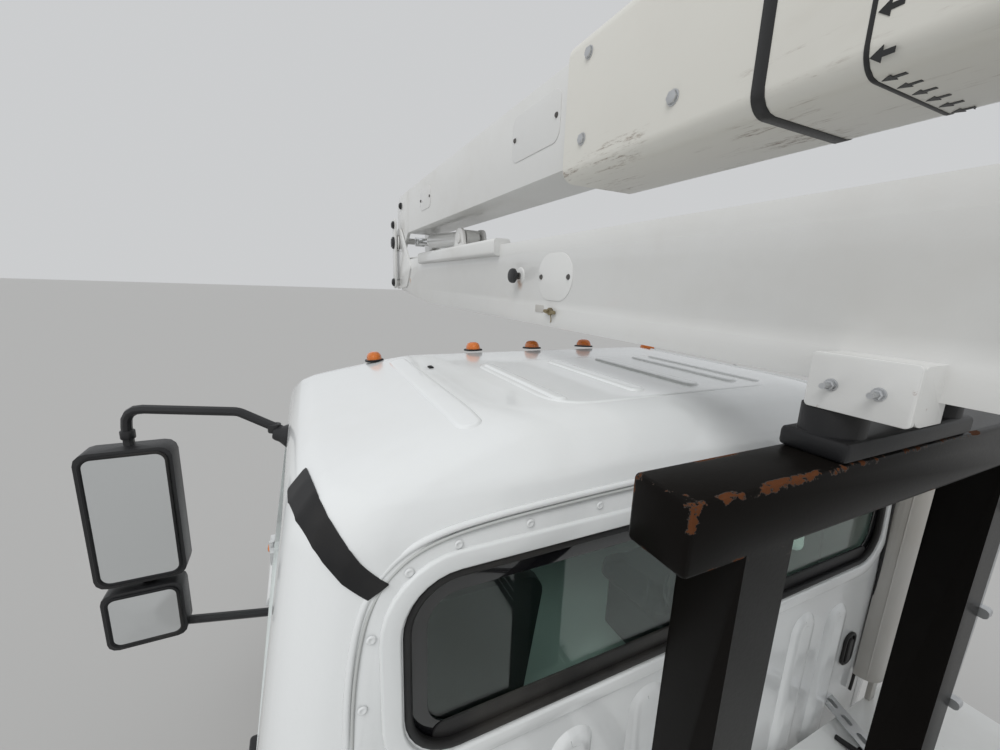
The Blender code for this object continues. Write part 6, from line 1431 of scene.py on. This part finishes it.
fit(together("deck_bracket", [strip, web]), ALUMINIUM, "chassis", 30)
print("slots:", SLOTS)

# %% [markdown]
# ## Tyres and wheels
#
# A truck tyre has a nearly flat tread with ribs that run all the way round, fine cuts across
# them, a round shoulder and a bulged side wall. Half of that section is written down once and
# mirrored in code, and spinning it gives the ribs for free. The fine cuts are many and shallow,
# so they are a bump that follows the angle round the axle. On the tread the cuts are also
# painted near-black, as painted shade in the grooves.

# %% Tyre rubber with fine cuts
AXLE_Z = 0.505


def tyre_rubber(name, axle_y):
    finish = Finish(name, Specular_IOR_Level=0.3)
    side_y, side_z = finish.across(1) - axle_y, finish.across(2) - AXLE_Z
    angle = finish.maths("ARCTAN2", side_z, side_y)
    radius = finish.maths("SQRT", side_y * side_y + side_z * side_z)
    tread = radius.ramp(0.490, 0.496)
    wave = finish.maths("SINE", finish.across(0) * 90) * 2.2
    cuts_and_shade = finish.maths("SINE", angle * 150 + wave).ramp(0.55, 0.85)
    wall = radius.ramp(0.470, 0.440) * radius.ramp(0.335, 0.350)
    rings = finish.maths("SINE", radius * 900).ramp(0.2, 0.9) * wall
    dusted, veil = dusty(finish, (0.021, 0.021, 0.022), 0.7, 1.2)
    trodden = finish.mix(tread * 0.35, dusted, (0.075, 0.068, 0.058))
    # Painted shade: on the tread the cuts are darkened to near black, darker than the rubber itself.
    finish.set(Base_Color=finish.mix(cuts_and_shade * tread * 0.5, trodden, (0.006, 0.006, 0.006)))
    finish.set(Roughness=(veil * 0.2 + 0.66).least(0.95))
    finish.bump(finish.noise(240, 3, 0.6) * 0.12 + rings * 0.10 - cuts_and_shade * tread, 0.004, 0.7)
    return finish.material


print("axles at z", AXLE_Z)

# %% Tyres, wheel nuts and hub caps
# From the bead out to the middle of the tread: radius, then distance from the middle.
TYRE_HALF = (
    (0.302, 0.092), (0.312, 0.106), (0.330, 0.113), (0.352, 0.121), (0.385, 0.131), (0.415, 0.1335),
    (0.445, 0.130), (0.470, 0.123), (0.484, 0.119), (0.492, 0.113), (0.498, 0.104), (0.500, 0.092),
    (0.489, 0.090), (0.489, 0.081), (0.501, 0.079), (0.5025, 0.050), (0.489, 0.048), (0.489, 0.038),
    (0.5035, 0.036), (0.5045, 0.008), (0.491, 0.006),
)
TYRE_OUTLINE = [*TYRE_HALF, *((radius, -reach) for radius, reach in reversed(TYRE_HALF)), TYRE_HALF[0]]
NUT_OUTLINE = [
    (0, 0.030), (0.009, 0.030), (0.010, 0.022), (0.0175, 0.021), (0.0195, 0.017), (0.0195, 0.003),
    (0.024, 0.0),
]
NUT_CIRCLE = 0.1675
NUTS = 10
# Column: name, y, tyres with their middle x, height and radius of the hub cap.
AXLES = (
    ("front", -2.420, (("front_tyre", 1.010),), 0.012, 0.066),
    ("rear", 2.310, (("rear_outer_tyre", 1.020), ("rear_inner_tyre", 0.700)), 0.022, 0.092),
)


def wheel_nuts(axle, axle_y, side_name, side):
    nuts = []
    for number in range(NUTS):
        angle = 2 * math.pi * number / NUTS
        y, z = axle_y + NUT_CIRCLE * math.cos(angle), AXLE_Z + NUT_CIRCLE * math.sin(angle)
        where, _ = on_skin(f"{axle}_rim_{side_name}", (side * 1.6, y, z), (-side, 0, 0))
        nut = turned(f"{axle}_nut_{number}_{side_name}", NUT_OUTLINE, 6)
        nuts.append(put(nut, (where.x, y, z), (side, 0, 0), UP))
    return together(f"{axle}_wheel_nuts_{side_name}", nuts)


def hub_cap(axle, axle_y, side_name, side, tall, wide):
    # The hub is bored through, so the ray meets its face beside the bore.
    where, _ = on_skin(f"{axle}_rim_{side_name}", (side * 1.6, axle_y + 0.100, AXLE_Z), (-side, 0, 0))
    rim = [(wide * 0.85, tall * 0.8), (wide * 0.97, tall * 0.3), (wide, -0.002)]
    outline = [(0, tall), (wide * 0.5, tall), *rim]
    cap = turned(f"{axle}_hub_cap_{side_name}", outline, 32)
    return put(cap, (where.x, axle_y, AXLE_Z), (side, 0, 0))


for axle, axle_y, tyres, tall, wide in AXLES:
    material = tyre_rubber(f"{axle}_tyre_rubber", axle_y)
    for side_name, side in SIDES:
        body = f"{axle}_wheel_{side_name}"
        for row, middle in tyres:
            piece = turned(f"{row}_{side_name}_ribbed", TYRE_OUTLINE, 72)
            put(piece, (side * middle, axle_y, AXLE_Z), LEFTWARD, UP)
            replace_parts(fit(piece, material, body, 40), f"{row}_{side_name}")
        fit(wheel_nuts(axle, axle_y, side_name, side), ZINC, body, 30)
        fit(hub_cap(axle, axle_y, side_name, side, tall, wide), ALUMINIUM, body)
print("wheels:", 2 * len(AXLES), "nuts on each:", NUTS)

# %% [markdown]
# ## Seats
#
# A seat cushion is foam under cloth: crowned in the middle, pulled in along its edges. Each pad
# starts as a thin block with round corners, remeshed fine and evenly, and Blender's cloth
# solver blows it up a little with no gravity. How far a point may move is capped, and the
# result is applied, so nothing is left to simulate.

# %% Blow up a pad
def blow_up(piece, thick, cap):
    """Pressure from inside, with the lower face held and each point's move capped."""
    apply_modifier(piece, "REMESH", mode="VOXEL", voxel_size=0.008)
    start = [vertex.co.copy() for vertex in piece.data.vertices]
    held = piece.vertex_groups.new(name="held")
    held.add([n for n, place in enumerate(start) if place.z < thick * 0.12], 1.0, "REPLACE")
    alone(piece)
    solver = piece.modifiers.new("cloth", "CLOTH")
    solver.settings.vertex_group_mass = "held"
    solver.settings.use_pressure = True
    solver.settings.uniform_pressure_force = 4.0
    solver.settings.effector_weights.gravity = 0.0
    for frame_number in range(1, 21):
        bpy.context.scene.frame_set(frame_number)
    bpy.ops.object.modifier_apply(modifier="cloth")
    bpy.context.scene.frame_set(1)
    for vertex, before in zip(piece.data.vertices, start):
        moved = vertex.co - before
        if moved.length > cap:
            vertex.co = before + moved.normalized() * cap
    piece.vertex_groups.clear()
    apply_modifier(piece, "SMOOTH", factor=0.5, iterations=4)


def pad(name, width, length, thick, corner, cap):
    piece = plate(name, width, length, thick, corner=corner, edge=thick * 0.30, steps=6)
    pick(piece, lambda centre, normal: normal.z < -0.9)
    bpy.ops.mesh.bevel(offset=thick * 0.25, segments=3)
    done()
    blow_up(piece, thick, cap)
    apply_modifier(piece, "SUBSURF", levels=1, render_levels=1)
    return piece


print("pads are simulated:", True)

# %% Padded seats
SEAT_X = 0.560
# Column: name, width, length, thickness, corner, cap, y, z, facing.
PADS = (
    ("seat_cushion", 0.455, 0.400, 0.085, 0.070, 0.022, -1.405, 1.480, (0, -0.08, 1)),
    ("seat_back", 0.440, 0.500, 0.070, 0.080, 0.022, -1.120, 1.800, (0, -1, 0.18)),
    ("seat_head", 0.250, 0.150, 0.060, 0.050, 0.016, -1.035, 2.085, (0, -1, 0.15)),
)
left_pads = [pad(f"{name}_left", *measures) for name, *measures, _, _, _ in PADS]
right_pads = [twin(piece, piece.name.replace("left", "right_model")) for piece in left_pads]
for side_name, side, pads in (("left", 1, left_pads), ("right", -1, right_pads)):
    for piece, (*_, y, z, facing) in zip(pads, PADS):
        put(piece, (side * SEAT_X, y, z), facing, (0, -0.2, 1) if abs(facing[2]) < 0.7 else BACK)
        fit(piece, SEAT_CLOTH, "chassis", 60)
    shell = plate(f"seat_shell_{side_name}", 0.420, 0.640, 0.045, corner=0.08, edge=0.015)
    put(shell, (side * SEAT_X, -1.065, 1.760), (0, -1, 0.18), (0, 0.18, 1))
    base = plate(f"seat_base_{side_name}", 0.400, 0.380, 0.235, corner=0.04, edge=0.02)
    put(base, (side * SEAT_X, -1.360, 1.2315))
    carrier = fit(together(f"seat_frame_{side_name}", [shell, base]), SEAT_VINYL, "chassis")
    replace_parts(carrier, f"seat_{side_name}")
print("pads on each seat:", len(PADS))

# %% [markdown]
# ## The front: lamps, seals and wipers
#
# Behind each clear headlamp lens is a bright bowl, spun from a parabola-like outline, on a dark
# backing. A black rubber seal follows the edge of the windscreen, and two wipers rest on it.
# A piece finds its place by a ray cast onto the dressed panel that it stands on, so
# it follows the panel's curve and never floats.

# %% Headlamp bowls, side lamps and hood catches
LAMP_BOWL = [
    (0, -0.046), (0.024, -0.044), (0.050, -0.034), (0.074, -0.016), (0.088, 0.002), (0.096, 0.004),
    (0.096, 0.000),
]
LAMP_BULB = [(0, 0.008), (0.007, 0.005), (0.010, -0.005), (0.010, -0.044)]
SIDE_LAMP = [(0, 0.020), (0.016, 0.019), (0.028, 0.012), (0.032, 0.004), (0.032, -0.002)]
for side_name, side in SIDES:
    lamp_mid, lamp_size = box_of(f"headlamp_{side_name}")
    forward = (side * 0.22, -1, 0)
    backing = plate(f"lamp_backing_{side_name}", 0.300, 0.235, 0.004, corner=0.05)
    put(backing, (lamp_mid.x, lamp_mid.y + lamp_size.y / 2 + 0.008, lamp_mid.z), forward, UP)
    fit(backing, SHADE_AND_BLACK, "hood")
    bulb = turned(f"lamp_bulb_{side_name}", LAMP_BULB, 16)
    bowl = together(f"lamp_bowl_{side_name}", [turned(f"lamp_bowl_{side_name}", LAMP_BOWL, 40), bulb])
    put(bowl, (lamp_mid.x, lamp_mid.y + 0.026, lamp_mid.z), forward, UP)
    fit(bowl, CHROME, "hood", 60)
    where, normal = on_skin("hood", (side * 1.7, -2.870, 1.180), (-side, 0, 0))
    side_lens = turned(f"side_lamp_{side_name}", SIDE_LAMP, 28)
    side_lens.scale = (0.8, 1.5, 1)
    settle(side_lens)
    fit(put(side_lens, where, normal, BACK), AMBER, "hood", 60)
    where, normal = on_skin("hood", (side * 1.7, -2.400, 1.420), (-side, 0, 0))
    catch = plate(f"hood_catch_{side_name}", 0.034, 0.150, 0.016, corner=0.012, edge=0.006)
    fit(put(catch, where - normal * 0.002, normal, (0, 0.3, 1)), SEAL_RUBBER, "hood")
print("headlamp", [round(c, 3) for c in lamp_size])

# %% Windscreen seal
# The screen's lower edge, how far it leans back for each metre up, and its corners in x and z.
SCREEN_FOOT_Y, SCREEN_FOOT_Z = -2.245, 1.800
SCREEN_LEAN = 0.592
SCREEN_CORNERS = ((-0.93, 1.846), (0.93, 1.846), (0.815, 2.402), (-0.815, 2.402))
SCREEN_ROUND = 0.075


def rounded_path(corners, rounding, steps=8):
    """A closed path whose corners turn softly, with the straight sides in steps."""
    path = []
    corners = [Vector(corner) for corner in corners]
    for number, corner in enumerate(corners):
        before, after = corners[number - 1], corners[(number + 1) % len(corners)]
        start = corner + (before - corner).normalized() * rounding
        end = corner + (after - corner).normalized() * rounding
        for share in (0.0, 0.25, 0.5, 0.75, 1.0):
            path.append(start.lerp(corner, share).lerp(corner.lerp(end, share), share))
        following = after + (corner - after).normalized() * rounding
        path += [path[-1].lerp(following, step / steps) for step in range(1, steps)]
    return path


seal_path = []
for x, z in rounded_path(SCREEN_CORNERS, SCREEN_ROUND):
    swept_back = (abs(x) / 0.93) ** 6 * 0.020
    seal_path.append((x, SCREEN_FOOT_Y + (z - SCREEN_FOOT_Z) * SCREEN_LEAN - 0.004 + swept_back, z))
fit(hose("windscreen_seal", [*seal_path, seal_path[0]], 0.013, False), SEAL_RUBBER, "chassis", 60)
print("seal points:", len(seal_path))

# %% Wipers
PIVOT_OUTLINE = [(0, 0.026), (0.010, 0.026), (0.014, 0.020), (0.017, 0.0), (0.017, -0.012)]
BLADE_LIFT = Vector((0, -0.016, 0))


def screen_place(x, z):
    """A place on the outer face of the windscreen, seen from the front."""
    found, where, _, _ = bpy.data.objects["windscreen"].ray_cast((x, -3.2, z), BACK)
    if found and where.y < -1.6:
        return where
    return Vector((x, SCREEN_FOOT_Y + (z - SCREEN_FOOT_Z) * SCREEN_LEAN, z))


for side_name, side in SIDES:
    foot, tip = screen_place(side * 0.12, 1.90), screen_place(side * 0.60, 1.915)
    arm_foot = Vector((side * 0.05, -2.215, 1.815))
    blade = bar(f"wiper_blade_{side_name}", foot + BLADE_LIFT, tip + BLADE_LIFT, 0.0065, 10, 0.002, 0.6)
    elbow = arm_foot + Vector((side * 0.02, -0.035, 0.012))
    near_blade = foot.lerp(tip, 0.5) + Vector((0, -0.030, -0.01))
    on_blade = foot.lerp(tip, 0.52) + Vector((0, -0.020, 0))
    arm = hose(f"wiper_arm_{side_name}", [arm_foot, elbow, near_blade, on_blade], 0.005)
    pivot = put(turned(f"wiper_pivot_{side_name}", PIVOT_OUTLINE, 20), arm_foot, (0, -0.55, 0.83))
    fit(together(f"wiper_{side_name}", [blade, arm, pivot]), TRIM_BLACK, "chassis")
print("wiper from", [round(c, 3) for c in foot], "to", [round(c, 3) for c in tip])

# %% [markdown]
# ## Work body: latches, lamps, flaps and steps
#
# The toolbox doors carry two paddle latches each, in round-cornered rims, and a raised border.
# Amber and red reflectors run along the body's sides. At the tail are round red lamps in rubber
# rings, a blank plate and mud flaps. The deck gets raised tread strips and a pair of grab
# rails, as on any body that people climb onto.

# %% Latches and borders of the toolbox doors
for side_name, side in SIDES:
    out = (side, 0, 0)
    door = f"toolbox_door_{side_name}"
    door_mid, door_size = box_of(door)
    latches = []
    for number, y in enumerate((door_mid.y + door_size.y / 2 - 0.26, door_mid.y - door_size.y / 2 + 0.26)):
        where, _ = on_skin(door, (side * 1.7, y, 1.16), (-side, 0, 0))
        cup = ring(f"latch_rim_{number}_{side_name}", 0.112, 0.084, 0.020, 0.009, 0.006, 0.3)
        paddle = plate(f"latch_paddle_{number}_{side_name}", 0.074, 0.050, 0.007, corner=0.008, edge=0.003)
        for part, sink in ((cup, 0.001), (paddle, 0.0005)):
            latches.append(put(part, (where.x - side * sink, y, 1.160), out, UP))
    fit(together(f"toolbox_latches_{side_name}", latches), ZINC, door)
    trim_size = (door_size.y - 0.03, door_size.z - 0.03)
    border = ring(f"toolbox_trim_{side_name}", *trim_size, 0.02, 0.012, 0.0025, 0.3)
    where, _ = on_skin(door, (side * 1.7, door_mid.y, 0.95), (-side, 0, 0))
    fit(put(border, (where.x - side * 0.0006, door_mid.y, door_mid.z), out, UP), BODY_WHITE, door)
print("toolbox door", [round(c, 3) for c in door_size])

# %% Reflectors and tail lamps
LAMP_Z = 1.377
REFLECTOR = [(0, 0.006), (0.030, 0.006), (0.036, 0.004), (0.038, -0.001)]
TAIL_LAMP = [(0, 0.014), (0.018, 0.013), (0.027, 0.010), (0.030, 0.004), (0.030, -0.001)]
TAIL_COLLAR = [(0.0285, 0.004), (0.031, 0.008), (0.034, 0.007), (0.0355, -0.001)]


def on_tail(x):
    """A place on the rear end of the work body, at the height of its lamps."""
    return on_skin("service_body", (x, 4.6, LAMP_Z), (0, -1, 0))


for side_name, side in SIDES:
    reflectors = []
    for number, y in enumerate((-0.58, 1.72, 3.70)):
        place = on_skin("service_body", (side * 1.7, y, LAMP_Z), (-side, 0, 0))
        reflectors.append(put(turned(f"reflector_{number}_{side_name}", REFLECTOR, 28), *place, UP))
    fit(reflectors[0], AMBER, "chassis")
    fit(together(f"red_reflectors_{side_name}", reflectors[1:]), RED, "chassis")
    lamps, collars = [], []
    for number, x in enumerate((0.96, 1.08)):
        place = on_tail(side * x)
        lamps.append(put(turned(f"tail_lamp_{number}_{side_name}", TAIL_LAMP, 32), *place, UP))
        collars.append(put(turned(f"tail_collar_{number}_{side_name}", TAIL_COLLAR, 32), *place, UP))
    fit(together(f"tail_lamps_{side_name}", lamps), RED, "chassis", 60)
    fit(together(f"tail_collars_{side_name}", collars), SEAL_RUBBER, "chassis", 60)
print("reflectors and lamps on each side:", len(reflectors) + len(lamps))

# %% Mud flaps and grab rails
# Column: name, finish, width, height, thickness, corner, edge, x, y, z.
FLAP_PARTS = (
    ("mud_flap", SEAL_RUBBER, 0.600, 0.560, 0.008, 0.02, 0.002, 0.86, 2.945, 0.56),
    ("flap_bar", ZINC, 0.620, 0.045, 0.014, 0.005, 0.003, 0.86, 2.942, 0.832),
    ("flap_hanger", FRAME_BLACK, 0.30, 0.52, 0.010, 0.004, 0.0, 0.76, 2.953, 1.08),
)
RAIL_X = 1.15
# Column: y, z.
RAIL_PATH = (
    (3.82, 1.41), (3.82, 1.62), (3.80, 1.72), (3.70, 1.76), (3.55, 1.76), (3.45, 1.72), (3.43, 1.62),
    (3.43, 1.41),
)
for side_name, side in SIDES:
    for name, material, width, height, thick, corner, edge, x, y, z in FLAP_PARTS:
        part = plate(f"{name}_{side_name}", width, height, thick, corner=corner, edge=edge)
        fit(put(part, (side * x, y, z), BACK, UP), material, "chassis")
    rail = hose(f"grab_rail_{side_name}", [(side * RAIL_X, y, z) for y, z in RAIL_PATH], 0.016)
    fit(rail, BODY_WHITE, "chassis", 60)
print("flap parts:", len(FLAP_PARTS))

# %% Blank plate and deck treads
PLATE_X = 0.55
TREADS = 9
tail_y = on_tail(PLATE_X)[0].y
hanger = plate("plate_hanger", 0.24, 0.16, 0.006, corner=0.01)
fit(put(hanger, (PLATE_X, tail_y - 0.003, 1.302), BACK, UP), FRAME_BLACK, "chassis")
blank = plate("plate_blank", 0.305, 0.152, 0.003, corner=0.012, edge=0.001)
fit(put(blank, (PLATE_X, tail_y + 0.0028, 1.272), BACK, UP), ALUMINIUM, "chassis")
treads = []
for number in range(TREADS):
    for side_name, side in SIDES:
        tread = plate(f"deck_tread_{number}_{side_name}", 0.050, 0.330, 0.003, corner=0.020, edge=0.001)
        treads.append(put(tread, (side * 0.93, number * 0.42, 1.4148)))
fit(together("deck_treads", treads), MARK_BLACK, "chassis")
print("deck treads:", len(treads))

# %% [markdown]
# ## Bucket, tank and battery box
#
# The bucket has a thick rubber guard round its rim and a small console with three levers. The
# fuel tank hangs in two straps, each a thin ring that follows the tank's own outline, and has a
# capped filler. The battery box has a black border on its lid.

# %% Bucket rim and controls
bucket_mid, bucket_size = box_of("bucket")
bucket_left = bucket_mid.x + bucket_size.x / 2
bucket_top = bucket_mid.z + bucket_size.z / 2
guard = ring("bucket_rim_guard", bucket_size.x + 0.006, bucket_size.y + 0.006, 0.085, 0.034, 0.022, 0.42)
fit(put(guard, (bucket_mid.x, bucket_mid.y, bucket_top - 0.018)), SEAL_RUBBER, "bucket", 60)
console = plate("bucket_console", 0.200, 0.130, 0.085, corner=0.020, edge=0.015)
put(console, (bucket_left - 0.075, bucket_mid.y, bucket_top - 0.105), UP, (1, 0, 0))
levers = [console]
for number in range(3):
    x, y = bucket_left - 0.110 + number * 0.035, bucket_mid.y - 0.05 + 0.05 * number
    levers.append(hose(f"lever_{number}", [(x, y, bucket_top - 0.030), (x, y, bucket_top)], 0.007, False))
fit(together("bucket_controls", levers), TRIM_BLACK, "bucket")
print("bucket", [round(c, 3) for c in bucket_size])

# %% Tank straps, filler and battery lid
FILLER = [(0, 0.050), (0.036, 0.050), (0.042, 0.044), (0.042, 0.012), (0.050, 0.010), (0.050, -0.02)]
tank_mid, tank_size = box_of("fuel_tank")
tank_parts = []
for number, y in enumerate((-1.60, -1.13)):
    size = (tank_size.x + 0.008, tank_size.z + 0.008)
    hoop = ring(f"tank_strap_{number}", *size, 0.245, 0.006, 0.045, 0, 14)
    tank_parts.append(put(hoop, (tank_mid.x, y, tank_mid.z), BACK, UP))
place = on_skin("fuel_tank", (0.98, -1.62, 1.6), (0, 0, -1))
tank_parts.append(put(turned("tank_filler", FILLER, 28), *place, BACK))
fit(together("tank_straps", tank_parts), ZINC, "chassis")
box_mid, box_size = box_of("battery_box")
lid = ring("battery_lid_trim", box_size.x - 0.04, box_size.y - 0.04, 0.02, 0.03, 0.006, 0.3)
fit(put(lid, (box_mid.x, box_mid.y, box_mid.z + box_size.z / 2 - 0.001)), TRIM_BLACK, "chassis")
print("tank parts:", len(tank_parts))

# %% [markdown]
# ## The cab's right rear edge
#
# Behind the cab's right corner, a black cable runs down the seam beside the exhaust shield. The
# shield is a smooth pressed slab with a folded flange along both of its edges.

# %% Cable and shield flanges
CABLE = (
    (-0.812, -0.7390, 2.40),
    (-0.822, -0.7400, 2.20),
    (-0.830, -0.7350, 2.00),
    (-0.836, -0.7330, 1.80),
    (-0.838, -0.7330, 1.60),
    (-0.836, -0.7330, 1.45),
    (-0.830, -0.7330, 1.43),
)
fit(hose("corner_cable", CABLE, 0.0048), SEAL_RUBBER, "chassis", 60)
folds = []
for number, (x, turn_x) in enumerate(((-0.846, 0.5), (-1.114, -0.5))):
    fold = plate(f"shield_fold_{number}", 0.018, 0.880, 0.004, corner=0.004, edge=0.001)
    folds.append(put(fold, (x, -0.6985, 1.950), (turn_x, 1, 0), UP))
fit(together("shield_folds", folds), STACK_GREY, "chassis")
print("cable points:", len(CABLE))

# %% [markdown]
# ## Measure the box
#
# The dressed truck's box is measured and set beside the solids' box, and how far it grew is
# printed.

# %% Measure and finish
dressed_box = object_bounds()
sizes = {"cad": [list(c) for c in cad_box], "visual": [list(c) for c in dressed_box]}
print("grew by", [[round(b - a, 4) for a, b in zip(c, v)] for c, v in zip(cad_box, dressed_box)])
